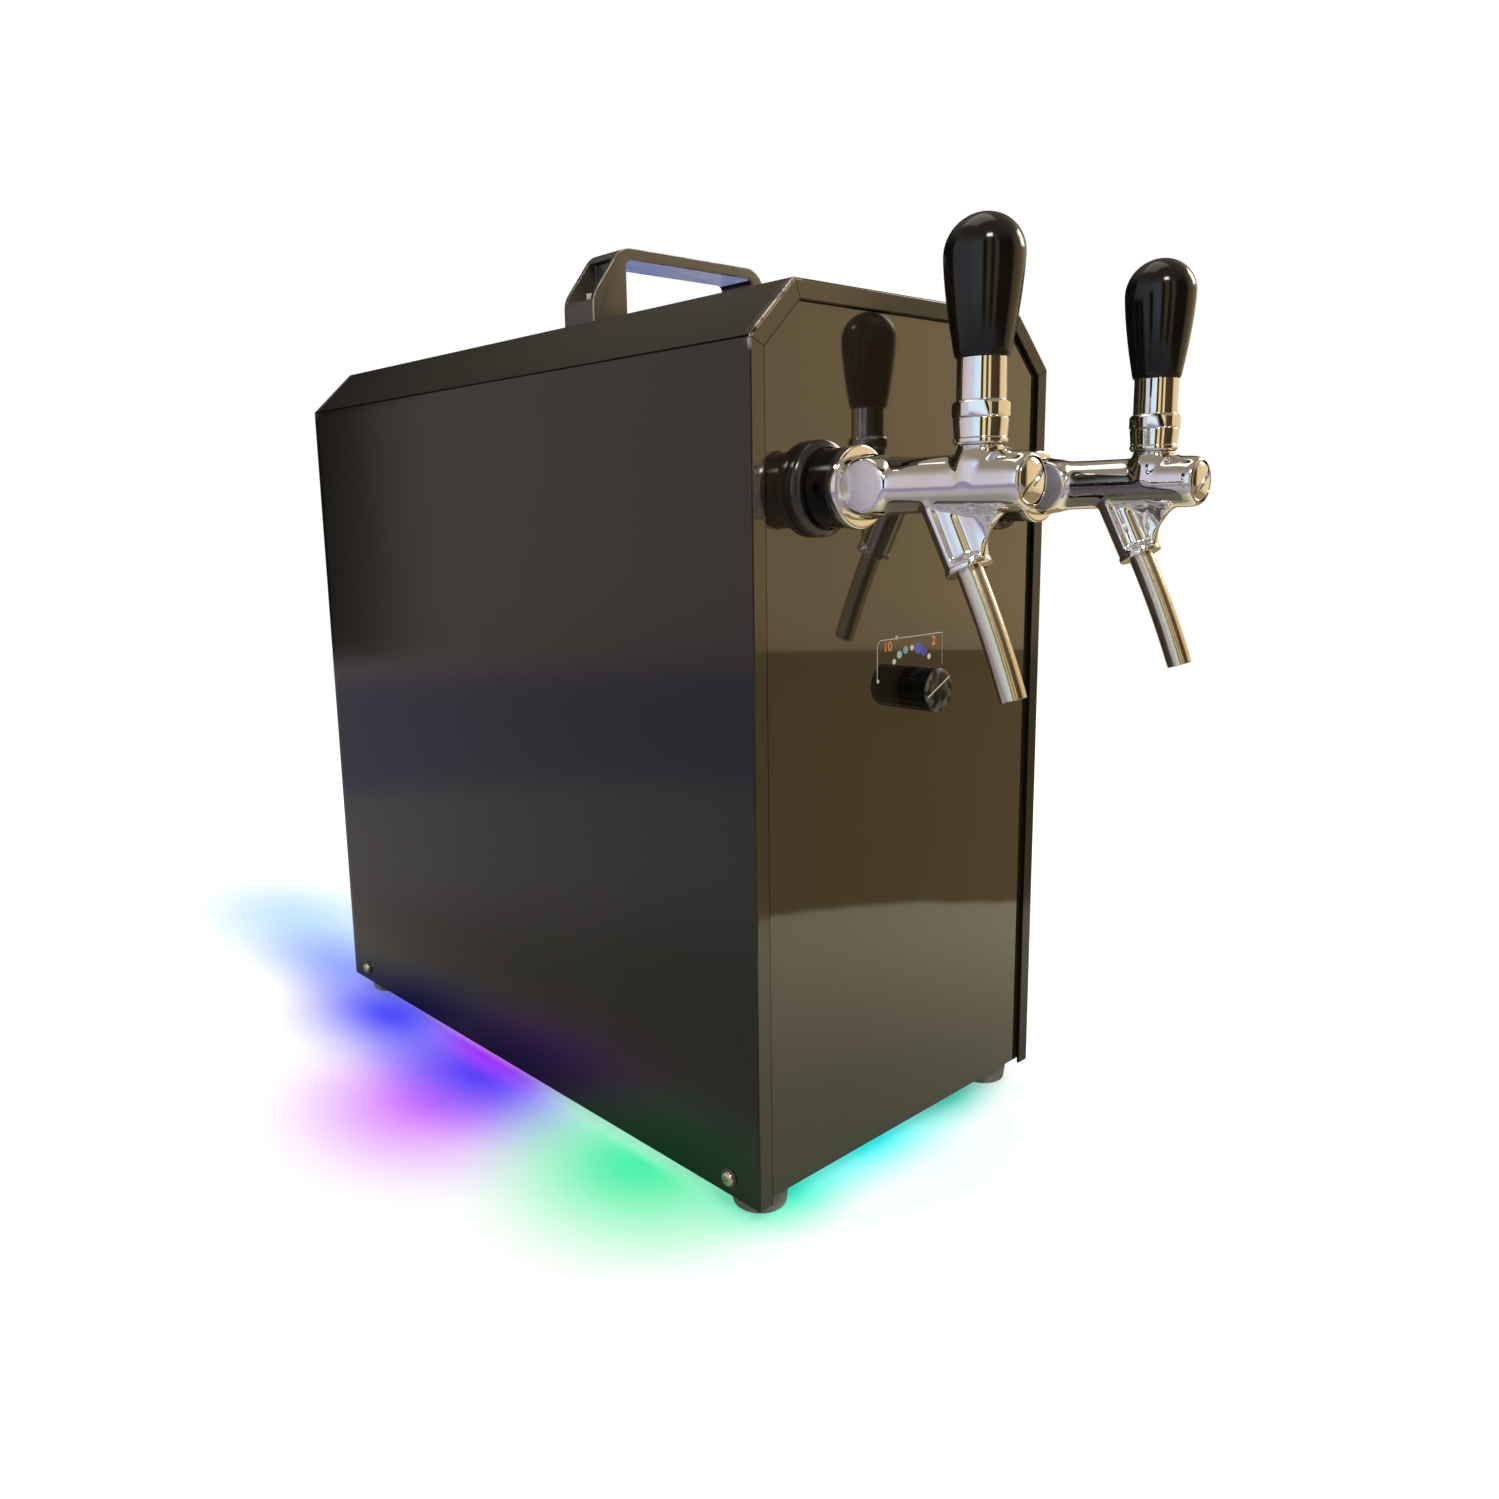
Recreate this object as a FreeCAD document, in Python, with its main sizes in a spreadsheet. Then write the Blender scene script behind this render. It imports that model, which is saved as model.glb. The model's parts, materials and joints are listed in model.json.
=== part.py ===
import FreeCAD, Part
import math
import os
import re
import Sketcher

# Two-tap beer cooler. Millimetres, +Z up, the front with the taps towards -Y.
# The origin is on the floor, in the middle of the whole length and width.
# Every size is a named value of the sheet; rules below tie the places to those values.

SIZES = {
    "Outer cover": [
        ("cover_width", 230, "across the two sides"),
        ("cover_depth", 422, "front edge to rear edge"),
        ("cover_height", 430, "bottom edge to roof"),
        ("chamfer_across", 28, "sloping strip, sideways"),
        ("chamfer_down", 26.5, "sloping strip, downwards"),
        ("sheet_thickness", 1.2, "steel sheet of cover and tray"),
        ("flange_width", 9, "edge folded in around front and rear"),
        ("bend_radius", 1.1, "outside of the folds"),
        ("seam_width", 0.3, "mitre joint of the folded edge"),
        ("cut_margin", 5, "how far a cutting shape runs past an edge"),
    ],
    "Panels": [
        ("panel_thickness", 1.5, "front and rear panels"),
        ("panel_setback", 1, "shadow gap behind the folded edge"),
        ("panel_gap", 0.4, "clearance of panels and tray inside the cover"),
        ("panel_lift", 2.3, "panel edge above the cover's bottom edge"),
        ("vent_length", 46, "one rear air slot"),
        ("vent_height", 5, "one rear air slot"),
        ("end_slack", 0.001, "round ends of a slot, beyond half its height"),
        ("vent_pitch", 11, "slot to slot, upwards"),
        ("vent_spacing", 54, "slot to slot, sideways"),
        ("vent_rows", 14, "air slots, upwards"),
        ("vent_columns", 3, "air slots, sideways"),
    ],
    "Base": [
        ("foot_height", 10, "cover's bottom edge above the floor"),
        ("tray_lift", 2, "tray above the cover's bottom edge"),
        ("tray_wall", 26, "turned-up edge of the tray"),
        ("foot_top_radius", 14.6, "rubber foot"),
        ("foot_base_radius", 13.4, "rubber foot on the floor"),
        ("foot_recess_radius", 6, "pocket for the foot's screw"),
        ("foot_recess_depth", 5, "pocket for the foot's screw"),
        ("foot_hole_radius", 2.6, "screw hole of a foot"),
        ("foot_inset", 19.5, "foot centre from the cover's side, front and rear"),
        ("strip_width", 8, "light strip"),
        ("strip_thickness", 2, "light strip"),
        ("strip_inset", 5, "light strip from the cover's edge"),
        ("lamp_size", 5, "one lamp"),
        ("lamp_height", 1.4, "one lamp"),
        ("lamp_pitch", 16.6, "lamp to lamp"),
    ],
    "Screws of the cover": [
        ("screw_inset", 21, "side screws from front and rear"),
        ("screw_rise", 9, "side screws above the cover's bottom edge"),
        ("screw_radius", 2, "shank"),
        ("screw_hole_gap", 0.15, "hole beyond the shank"),
        ("screw_head_radius", 4, "pan head"),
        ("screw_head_height", 2.4, "pan head"),
        ("screw_length", 8, "shank"),
        ("washer_radius", 4.9, "dark ring under the head"),
        ("washer_thickness", 0.8, "dark ring under the head"),
    ],
    "Carry handle": [
        ("handle_width", 145, "outside of the two legs"),
        ("handle_rise", 44.3, "above the roof"),
        ("handle_depth", 27, "front to rear"),
        ("handle_setback", 161, "its front face behind the cover's front edge"),
        ("handle_opening", 97, "between the legs"),
        ("grip_thickness", 6.3, "bar above the opening"),
        ("handle_shoulder_in", 20.5, "slope of a leg, inwards"),
        ("handle_shoulder_down", 27.3, "slope of a leg, downwards"),
        ("handle_shoulder_round", 14, "rounding of the slope"),
        ("handle_inner_round", 4, "rounding under the bar"),
        ("handle_wall", 3, "walls of a leg's channel"),
        ("handle_block", 15.6, "solid foot of a leg"),
        ("handle_edge_round", 1, "small rounding of the outline"),
        ("handle_bolt_spread", 124, "bolt to bolt"),
        ("bolt_radius", 2.5, "shank"),
        ("bolt_hole_gap", 0.25, "hole beyond the shank"),
        ("bolt_head_radius", 4.6, "hexagon, across corners"),
        ("bolt_head_height", 3.6, "hexagon"),
        ("bolt_flange_radius", 5.6, "flange under the head"),
        ("bolt_flange_height", 1.1, "flange under the head"),
        ("bolt_grip", 8, "thread below the roof"),
    ],
    "Tap, placing": [
        ("tap_spacing", 142, "tap to tap"),
        ("tap_height", 350, "tap axis above the floor"),
        ("tap_reach", 110.5, "nose plug in front of the cover"),
        ("rear_reach", 24, "inlet stubs behind the cover"),
        ("lever_forward", 85, "lever axis in front of the cover"),
    ],
    "Tap, body": [
        ("barrel_radius", 11.9, "tube of the tap"),
        ("barrel_bore", 8, "inside of the tube"),
        ("nose_forward", 109.3, "front face of the nose"),
        ("nose_round", 2.4, "rounding of the nose"),
        ("mouth_radius", 9.6, "hole of the nose plug"),
        ("mouth_depth", 5.5, "hole of the nose plug"),
        ("flange_radius", 18.3, "chrome flange"),
        ("flange_start", 20.3, "rear of the flange"),
        ("flange_thickness", 4.5, "chrome flange"),
        ("root_radius", 14.2, "thick root behind the boss"),
        ("root_end", 30.5, "thick root"),
        ("root_taper", 9, "root fades into the tube"),
        ("tail_radius", 11.2, "tail held by the coupling nut"),
        ("tail_start", 12.5, "rear end of the tail"),
        ("inlet_bore", 4.9, "narrow end of the flow cone's seat"),
        ("cone_seat_radius", 7.3, "wide end of the flow cone's seat"),
        ("cone_seat_length", 18.5, "conical seat"),
        ("valve_seat_forward", 58, "rear face of the valve seat"),
        ("valve_seat_length", 4, "valve seat"),
        ("valve_seat_bore", 5, "valve seat"),
        ("boss_forward", 34.5, "side bosses in front of the cover"),
        ("boss_radius", 12.1, "boss with the disc"),
        ("boss_reach", 13.4, "boss with the disc, from the axis"),
        ("disc_radius", 10.7, "bare disc"),
        ("disc_depth", 1.2, "bare disc"),
        ("disc_gap", 0.05, "disc in its recess"),
        ("flow_boss_radius", 7.4, "boss of the flow lever"),
        ("flow_boss_reach", 14.6, "boss of the flow lever, from the axis"),
    ],
    "Tap, neck and collar": [
        ("pivot_rise", 12.4, "lever pivot above the tap axis"),
        ("neck_radius", 9.3, "neck and its dome"),
        ("neck_bore", 7.2, "inside of the neck"),
        ("neck_bore_rise", 3.5, "bore above the pivot"),
        ("dome_gap", 0.3, "collar around the dome"),
        ("collar_lift", 2.3, "collar's lower edge above the pivot"),
        ("collar_base_radius", 10.75, "lower edge of the collar"),
        ("collar_top_radius", 11.3, "upper edge of the collar"),
        ("collar_height", 10.3, "collar"),
        ("collar_chamfer", 0.8, "lower edge of the collar"),
        ("lever_travel", 20, "degrees forwards"),
        ("relief_gap", 0.35, "room for the tilted collar"),
        ("stem_radius", 3.3, "lever stem"),
        ("stem_tip_radius", 2.2, "lever stem below the pivot"),
        ("stem_ball_radius", 3, "ball at the stem's lower end"),
        ("stem_slot_gap", 0.6, "slot of the dome beyond the stem"),
        ("pin_radius", 1.5, "pivot pin"),
        ("pin_gap", 0.05, "running clearance of the pivot pin"),
    ],
    "Tap, handle": [
        ("lock_nut_height", 6.5, "hexagon above the collar"),
        ("lock_nut_radius", 11.4, "turned corners of the hexagon"),
        ("lock_nut_corner", 12.3, "full corners of the hexagon"),
        ("lock_nut_chamfer", 1, "top and bottom of the hexagon"),
        ("ferrule_radius", 9.85, "chrome sleeve"),
        ("ferrule_height", 16.5, "chrome sleeve"),
        ("knob_base_radius", 10.9, "lower edge of the pear"),
        ("knob_radius", 15.7, "widest part of the pear"),
        ("knob_taper", 38.3, "lower edge to the widest part"),
        ("stem_insert", 20, "stem inside the pear"),
    ],
    "Tap, spout": [
        ("holder_lean", 26, "degrees from upright"),
        ("holder_forward", 81.1, "end of the holder"),
        ("holder_drop", 35, "end of the holder below the tap axis"),
        ("holder_radius", 9.3, "outside"),
        ("holder_rim_radius", 9.9, "rim at the end"),
        ("holder_rim_height", 2.6, "rim at the end"),
        ("holder_core_radius", 6.5, "wall around the bore, in the side pockets"),
        ("spout_socket", 22, "depth of the spout's seat"),
        ("spout_passage", 4, "passage above the seat"),
        ("web_thickness", 5, "web between holder and nose"),
        ("spout_radius", 5.15, "outside of the tube"),
        ("spout_wall", 0.8, "tube"),
        ("spout_fit", 0.05, "tube in its seat"),
        ("spout_insert", 18, "tube inside the holder"),
        ("spout_straight", 6, "straight piece below the holder"),
        ("spout_bend_radius", 205, "long bend"),
        ("spout_bend", 13, "degrees"),
        ("spout_end", 3.5, "straight piece at the tip"),
        ("seal_thickness", 1.2, "seal ring above the spout"),
    ],
    "Tap, valve": [
        ("piston_gap", 0.08, "running clearance in the tube"),
        ("rod_radius", 2.4, "valve rod"),
        ("seal_radius", 6.8, "valve seal"),
        ("seal_length", 3.2, "valve seal"),
        ("rod_head_radius", 4.5, "head behind the seal"),
        ("rod_head_length", 1.2, "head behind the seal"),
        ("seat_gap", 0.3, "seal to its seat at rest"),
        ("guide_start", 74, "guide disc"),
        ("guide_length", 5, "guide disc"),
        ("fork_end", 92.5, "front end of the fork"),
        ("fork_gap", 0.3, "fork around the ball"),
        ("fork_top", 3, "flat top of the fork above the axis"),
        ("fork_floor", 4.2, "floor of the fork below the axis"),
        ("plug_gap", 0.05, "nose plug in its hole"),
        ("plug_dome", 1.6, "dome of the nose plug"),
        ("plug_slot_width", 2.6, "coin slot"),
        ("plug_slot_depth", 1.4, "coin slot"),
        ("plug_slot_turn", 38, "degrees"),
    ],
    "Tap, flow lever": [
        ("spindle_radius", 2.5, "spindle of the flow lever"),
        ("spindle_gap", 0.05, "running clearance"),
        ("spindle_end", 7.1, "inner end from the tap axis"),
        ("crank_radius", 0.9, "pin at the inner end"),
        ("crank_offset", 2.1, "pin from the spindle's axis"),
        ("crank_end", 3.6, "pin end from the tap axis"),
        ("crank_gap", 0.3, "pin in the groove"),
        ("flow_arm_length", 23, "arm of the flow lever"),
        ("flow_arm_width", 6, "arm"),
        ("flow_arm_thickness", 2.6, "arm"),
        ("flow_cap_radius", 5.4, "cap on the boss"),
        ("flow_cap_gap", 0.3, "cap to the boss"),
        ("flow_grip_radius", 3.4, "rounded tip of the arm"),
        ("flow_grip_height", 3, "rounded tip of the arm"),
        ("cone_tip_radius", 4.5, "flow cone"),
        ("cone_start", 14.2, "rear end of the cone"),
        ("cone_radius", 6.75, "wide end of the cone"),
        ("cone_core_radius", 3, "inside of the groove"),
        ("cone_collar", 2.2, "disc in front of the groove"),
        ("cone_nose", 2.5, "short taper at the front"),
    ],
    "Tap, mounting": [
        ("rosette_radius", 21.8, "plastic rosette"),
        ("rosette_depth", 7.2, "off the panel"),
        ("rosette_round", 3.2, "rounding of the rim"),
        ("shank_radius", 11.4, "threaded tube through the panel"),
        ("shank_bore", 4.95, "inside of the shank"),
        ("shank_front", 12.3, "front end before the cover"),
        ("shank_tail", 48, "rear end behind the cover's front edge"),
        ("shank_gap", 0.4, "holes around the shank"),
        ("coupling_radius", 17.6, "black coupling nut"),
        ("coupling_gap", 0.05, "nut on shank and tail"),
        ("coupling_round", 0.8, "edges of the nut"),
        ("spanner_hole_radius", 2, "holes of the coupling nut"),
        ("spanner_hole_depth", 3.4, "holes of the coupling nut"),
        ("spanner_holes", 4, "around the nut"),
        ("back_nut_corner", 17, "hexagon behind the panel"),
        ("back_nut_height", 8, "hexagon behind the panel"),
    ],
    "Thermostat": [
        ("dial_height", 250.8, "knob axis above the floor"),
        ("dial_radius", 12.6, "knob at its face"),
        ("dial_skirt_radius", 13.4, "knob at its rear edge"),
        ("dial_gap", 1, "knob to panel"),
        ("dial_length", 16.5, "knob"),
        ("dial_face_round", 0.6, "edge of the face"),
        ("flute_radius", 1.3, "groove of the grip"),
        ("flute_depth", 0.5, "groove of the grip"),
        ("flute_count", 18, "grooves around the grip"),
        ("spindle_bush_radius", 5, "bush through the panel"),
        ("spindle_bush_gap", 0.2, "panel hole around the bush"),
        ("dial_spindle_radius", 3, "turning spindle"),
        ("dial_spindle_gap", 0.05, "running clearance"),
        ("dial_spindle_depth", 12, "spindle behind the panel"),
        ("thermostat_width", 44, "case behind the panel"),
        ("thermostat_height", 34, "case behind the panel"),
        ("thermostat_depth", 26, "case behind the panel"),
        ("thermostat_round", 3, "corners of the case"),
    ],
    "Cold block": [
        ("foam_width", 210, "foam case"),
        ("foam_length", 150, "front to rear"),
        ("foam_height", 236, "foam case"),
        ("foam_setback", 56, "behind the cover's front edge"),
        ("foam_bottom", 168, "above the floor"),
        ("foam_wall", 20, "foam case"),
        ("foam_lid_height", 22, "foam lid"),
        ("block_round", 6, "upright edges of the cold block"),
        ("block_gap", 0.3, "cold block in the foam"),
        ("line_radius", 4.76, "beer tube"),
        ("line_gap", 0.3, "holes around the beer tube"),
        ("line_insert", 10, "beer tube inside the shank"),
        ("stub_length", 18, "free end of the beer tube at the rear"),
        ("bead_radius", 6.2, "stop bead in front of the free end"),
        ("grommet_radius", 10, "rubber grommet at the rear"),
        ("grommet_thickness", 3, "flange of the grommet"),
        ("grommet_neck", 1.6, "neck wall of the grommet"),
    ],
    "Cooling unit": [
        ("compressor_radius", 50, "pot"),
        ("compressor_height", 118, "pot"),
        ("compressor_round", 22, "edges of the pot"),
        ("compressor_seam", 3, "weld belt beyond the pot"),
        ("compressor_x", -18, "middle of the pot"),
        ("compressor_setback", 248, "middle of the pot behind the cover's front edge"),
        ("compressor_foot_width", 150, "base plate"),
        ("compressor_foot_length", 96, "base plate"),
        ("compressor_foot_thickness", 2.5, "base plate"),
        ("mount_radius", 9, "rubber mount"),
        ("mount_height", 14, "rubber mount"),
        ("mount_inset", 11, "mount from the plate's edge"),
        ("condenser_width", 176, "finned block"),
        ("condenser_height", 168, "finned block"),
        ("condenser_depth", 34, "finned block"),
        ("condenser_bottom", 112, "above the floor"),
        ("condenser_gap", 8, "to the rear panel"),
        ("condenser_plate", 6, "end plates and rails"),
        ("fin_pitch", 8, "fin to fin"),
        ("fin_thickness", 1.4, "one fin"),
        ("shroud_thickness", 2, "fan shroud"),
        ("shroud_depth", 26, "fan shroud"),
        ("fan_radius", 68, "blade tips"),
        ("fan_gap", 4, "blade tips to the shroud ring"),
        ("fan_hub_radius", 18, "hub"),
        ("fan_hub_length", 14, "hub"),
        ("fan_blades_count", 5, "blades"),
        ("fan_blade_thickness", 1.6, "blade"),
        ("fan_root_chord", 20, "blade at the hub"),
        ("fan_root_pitch", 32, "degrees, at the hub"),
        ("fan_tip_chord", 38, "blade at its tip"),
        ("fan_tip_pitch", 19, "degrees, at the tip"),
        ("fan_shaft_radius", 3, "shaft of the fan motor"),
        ("fan_shaft_gap", 0.05, "running clearance"),
        ("motor_radius", 24, "fan motor"),
        ("motor_length", 34, "fan motor"),
        ("motor_arm", 7, "arms of the motor bracket"),
        ("gas_line_radius", 3.2, "copper tube"),
        ("gas_line_bend", 16, "bends of the copper tube"),
        ("drier_radius", 10, "filter drier"),
        ("drier_length", 70, "filter drier"),
        ("drier_cone", 10, "tapered ends"),
    ],
    "Mains parts": [
        ("inlet_x", 62, "mains inlet, sideways"),
        ("inlet_z", 62, "mains inlet above the floor"),
        ("inlet_flange_width", 48, "flange"),
        ("inlet_flange_height", 31, "flange"),
        ("inlet_flange_thickness", 2.5, "flange"),
        ("inlet_body_width", 30, "body through the panel"),
        ("inlet_body_height", 23, "body through the panel"),
        ("inlet_body_depth", 24, "body through the panel"),
        ("inlet_socket_width", 24.5, "recess for the plug"),
        ("inlet_socket_height", 16.8, "recess for the plug"),
        ("inlet_socket_depth", 17, "recess for the plug"),
        ("inlet_corner", 5, "slanted corners of the recess"),
        ("pin_width", 2, "one contact"),
        ("pin_height", 5, "one contact"),
        ("pin_reach", 14, "contact above the recess floor"),
        ("pin_spacing", 14, "outer contacts"),
        ("pin_offset", 2.4, "middle contact above the outer ones"),
        ("cutout_gap", 0.2, "panel holes around inlet and switch"),
        ("switch_x", 10, "rocker switch, sideways"),
        ("switch_width", 15, "frame of the switch"),
        ("switch_height", 21, "frame of the switch"),
        ("switch_frame", 1.8, "frame in front of the panel"),
        ("switch_body_depth", 18, "behind the panel"),
        ("switch_wall", 1.6, "frame around the rocker"),
        ("rocker_gap", 0.3, "rocker in its frame"),
        ("rocker_depth", 6.5, "rocker inside the frame"),
        ("rocker_proud", 2.4, "rocker beyond the frame"),
        ("rocker_travel", 10, "degrees each way"),
        ("trunnion_radius", 1.5, "stubs that the rocker turns on"),
        ("trunnion_length", 1.2, "stubs that the rocker turns on"),
        ("trunnion_gap", 0.05, "running clearance"),
        ("box_width", 60, "control box"),
        ("box_length", 46, "control box"),
        ("box_height", 52, "control box"),
        ("box_x", 70, "control box, sideways"),
        ("box_setback", 96, "control box behind the cover's front edge"),
    ],
}

RULES = {
    "front_y": "(tap_reach - rear_reach - cover_depth) / 2",
    "rear_y": "front_y + cover_depth",
    "cover_top": "foot_height + cover_height",
    "tray_bottom": "foot_height + tray_lift",
    "tray_top": "tray_bottom + sheet_thickness",
    "side_turn": "atan(chamfer_across / chamfer_down)",
    "roof_turn": "90 deg - side_turn",
    "inside": "sheet_thickness + panel_gap",
    "panel_front": "front_y + sheet_thickness + panel_setback",
    "panel_back": "panel_front + panel_thickness",
    "rear_face": "rear_y - sheet_thickness - panel_setback",
    "rear_inner": "rear_face - panel_thickness",
    "handle_front": "front_y + handle_setback",
    "bolt_seat": "cover_top + handle_block",
    "collar_low": "pivot_rise + collar_lift",
    "collar_high": "collar_low + collar_height",
    "ferrule_low": "collar_high + lock_nut_height",
    "knob_low": "ferrule_low + ferrule_height",
    "knob_wide": "knob_low + knob_taper",
    "hollow_radius": "neck_radius + dome_gap",
    "groove_half": "crank_radius + crank_gap",
    "fork_half": "stem_ball_radius + fork_gap",
    "lever_y": "front_y - lever_forward",
    "foam_front": "front_y + foam_setback",
    "foam_rear": "foam_front + foam_length",
    "foam_top": "foam_bottom + foam_height",
    "block_bottom": "foam_bottom + foam_wall + block_gap",
    "block_top": "foam_top - foam_lid_height - block_gap",
    "block_front": "foam_front + foam_wall + block_gap",
    "block_rear": "foam_rear - foam_wall - block_gap",
    "condenser_rear": "rear_inner - condenser_gap",
    "condenser_front": "condenser_rear - condenser_depth",
    "condenser_top": "condenser_bottom + condenser_height",
    "fan_z": "condenser_bottom + condenser_height / 2",
    "shroud_front": "condenser_front - shroud_depth",
    "hub_rear": "condenser_front - shroud_thickness - fan_gap",
    "hub_front": "hub_rear - fan_hub_length",
    "motor_rear": "hub_front - fan_gap / 2",
    "motor_front": "motor_rear - motor_length",
    "compressor_y": "front_y + compressor_setback",
    "mount_top": "tray_top + mount_height",
    "pot_bottom": "mount_top + compressor_foot_thickness",
    "pot_top": "pot_bottom + compressor_height",
}

WORD = re.compile(r"[a-z_]+")
TOUCH = 0.01
document = FreeCAD.newDocument("beer_cooler")
sheet = document.addObject("Spreadsheet::Sheet", "sizes")
ALIASES = set()
NODES = {}


def fill_sheet():
    """Write each group of sizes: title, then name, value and remark in one row."""
    row = 1
    for title, rows in SIZES.items():
        sheet.set(f"A{row}", title)
        row += 1
        for name, value, remark in rows:
            sheet.set(f"A{row}", name)
            sheet.set(f"B{row}", str(value))
            sheet.setAlias(f"B{row}", name)
            sheet.set(f"C{row}", remark)
            ALIASES.add(name)
            row += 1
    document.recompute()


def bound(text):
    """Turn the words of a rule into references to the sheet."""

    def reference(match):
        name = match.group()
        if name in RULES:
            return "(" + bound(RULES[name]) + ")"
        if name in ALIASES:
            return "sizes." + name
        return name

    return WORD.sub(reference, str(text))


def number(text):
    """The present value of a rule."""
    value = sheet.evalExpression(bound(text))
    return float(getattr(value, "Value", value))


def tie(thing, place, text):
    """Bind one property of an object to a rule."""
    thing.setExpression(place, bound(text))


TURNS = {
    "Z": FreeCAD.Rotation(),
    "X": FreeCAD.Rotation(FreeCAD.Vector(0, 1, 0), 90),
    "-X": FreeCAD.Rotation(FreeCAD.Vector(0, 1, 0), -90),
    "Y": FreeCAD.Rotation(FreeCAD.Vector(1, 0, 0), -90),
    "-Y": FreeCAD.Rotation(FreeCAD.Vector(1, 0, 0), 90),
    "about Z": FreeCAD.Rotation(FreeCAD.Vector(0, 0, 1), 180),
}


def place(thing, x=0, y=0, z=0, turn="Z"):
    """Put an object at rules for X, Y and Z, turned to lie along an axis."""
    thing.Placement = FreeCAD.Placement(FreeCAD.Vector(), TURNS[turn])
    tie(thing, "Placement.Base.x", x)
    tie(thing, "Placement.Base.y", y)
    tie(thing, "Placement.Base.z", z)
    return thing


def lean(thing, angle):
    """Tip an object about X by a rule in degrees."""
    base = thing.Placement.Base
    thing.Placement = FreeCAD.Placement(base, FreeCAD.Rotation(FreeCAD.Vector(1, 0, 0), number(angle)))
    tie(thing, "Placement.Rotation.Angle", angle)
    return thing


def node(label, thing):
    """Name a finished sub-part."""
    thing.Label = label
    NODES[label] = thing
    return thing


def cylinder(radius, height, x=0, y=0, z=0, turn="Z"):
    solid = document.addObject("Part::Cylinder", "cylinder")
    tie(solid, "Radius", radius)
    tie(solid, "Height", height)
    return place(solid, x, y, z, turn)


def cone(start_radius, end_radius, height, x=0, y=0, z=0, turn="Z"):
    solid = document.addObject("Part::Cone", "cone")
    tie(solid, "Radius1", start_radius)
    tie(solid, "Radius2", end_radius)
    tie(solid, "Height", height)
    return place(solid, x, y, z, turn)


def sphere(radius, x=0, y=0, z=0):
    solid = document.addObject("Part::Sphere", "sphere")
    tie(solid, "Radius", radius)
    return place(solid, x, y, z)


def box(low, high):
    """A box between two corners, each a list of three rules."""
    solid = document.addObject("Part::Box", "box")
    for side, near, far in zip(("Length", "Width", "Height"), low, high):
        tie(solid, side, f"({far}) - ({near})")
    return place(solid, *low)


def hexagon(corner_radius, height, x=0, y=0, z=0, turn="Z"):
    solid = document.addObject("Part::Prism", "hexagon")
    solid.Polygon = 6
    tie(solid, "Circumradius", corner_radius)
    tie(solid, "Height", height)
    return place(solid, x, y, z, turn)


def fuse(*solids):
    joined = document.addObject("Part::MultiFuse", "joined")
    joined.Shapes = list(solids)
    return joined


def cut(solid, *tools):
    trimmed = document.addObject("Part::Cut", "trimmed")
    trimmed.Base = solid
    trimmed.Tool = tools[0] if len(tools) == 1 else fuse(*tools)
    return trimmed


def shared(first, second):
    overlap = document.addObject("Part::Common", "shared")
    overlap.Base = first
    overlap.Tool = second
    return overlap


def group(*solids):
    """Separate solids that share one node."""
    together = document.addObject("Part::Compound", "group")
    together.Links = list(solids)
    return together


def body(name, x=0, y=0, z=0, turn="Z"):
    return place(document.addObject("PartDesign::Body", name), x, y, z, turn)


def sketch(owner, plane, offset=0):
    """A sketch on one of the body's own planes, moved along its normal."""
    drawing = owner.newObject("Sketcher::SketchObject", "outline")
    origin_plane = [item for item in owner.Origin.OriginFeatures if item.Role == plane + "_Plane"]
    drawing.AttachmentSupport = [(origin_plane[0], "")]
    drawing.MapMode = "FlatFace"
    tie(drawing, "AttachmentOffset.Base.z", offset)
    return drawing


def pin_point(drawing, curve, point, x, y, rules, values):
    """Note the two distances of a point from the sketch's origin."""
    values.append(Sketcher.Constraint("DistanceX", -1, 1, curve, point, number(x)))
    rules.append(x)
    values.append(Sketcher.Constraint("DistanceY", -1, 1, curve, point, number(y)))
    rules.append(y)


def settle(drawing, rules, values):
    """Add the constraints and bind those that have a rule."""
    start = drawing.ConstraintCount
    drawing.addConstraint(values)
    for index, rule in enumerate(rules):
        if rule is not None:
            tie(drawing, f"Constraints[{start + index}]", rule)


def draw(drawing, corners):
    """Close an outline through corners of rules (x, y).

    A third rule is the radius of the arc that ends at the corner; it turns left,
    or right when a fourth entry says so.
    """
    spots = [FreeCAD.Vector(number(corner[0]), number(corner[1]), 0) for corner in corners]
    first = drawing.GeometryCount
    count = len(corners)
    starts = []
    ends = []
    rules = []
    values = []
    for index in range(count):
        start = spots[index]
        end = spots[(index + 1) % count]
        goal = corners[(index + 1) % count]
        if len(goal) == 2:
            drawing.addGeometry(Part.LineSegment(start, end), False)
            starts.append(1)
            ends.append(2)
            continue
        left = len(goal) == 3
        drawing.addGeometry(arc_between(start, end, number(goal[2]), left), False)
        starts.append(1 if left else 2)
        ends.append(2 if left else 1)
    for index in range(count):
        curve = first + index
        following = first + (index + 1) % count
        values.append(Sketcher.Constraint(
            "Coincident", curve, ends[index], following, starts[(index + 1) % count]))
        rules.append(None)
        pin_point(drawing, curve, starts[index], corners[index][0], corners[index][1], rules, values)
        goal = corners[(index + 1) % count]
        if len(goal) > 2:
            values.append(Sketcher.Constraint("Radius", curve, number(goal[2])))
            rules.append(goal[2])
    settle(drawing, rules, values)
    return drawing


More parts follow.
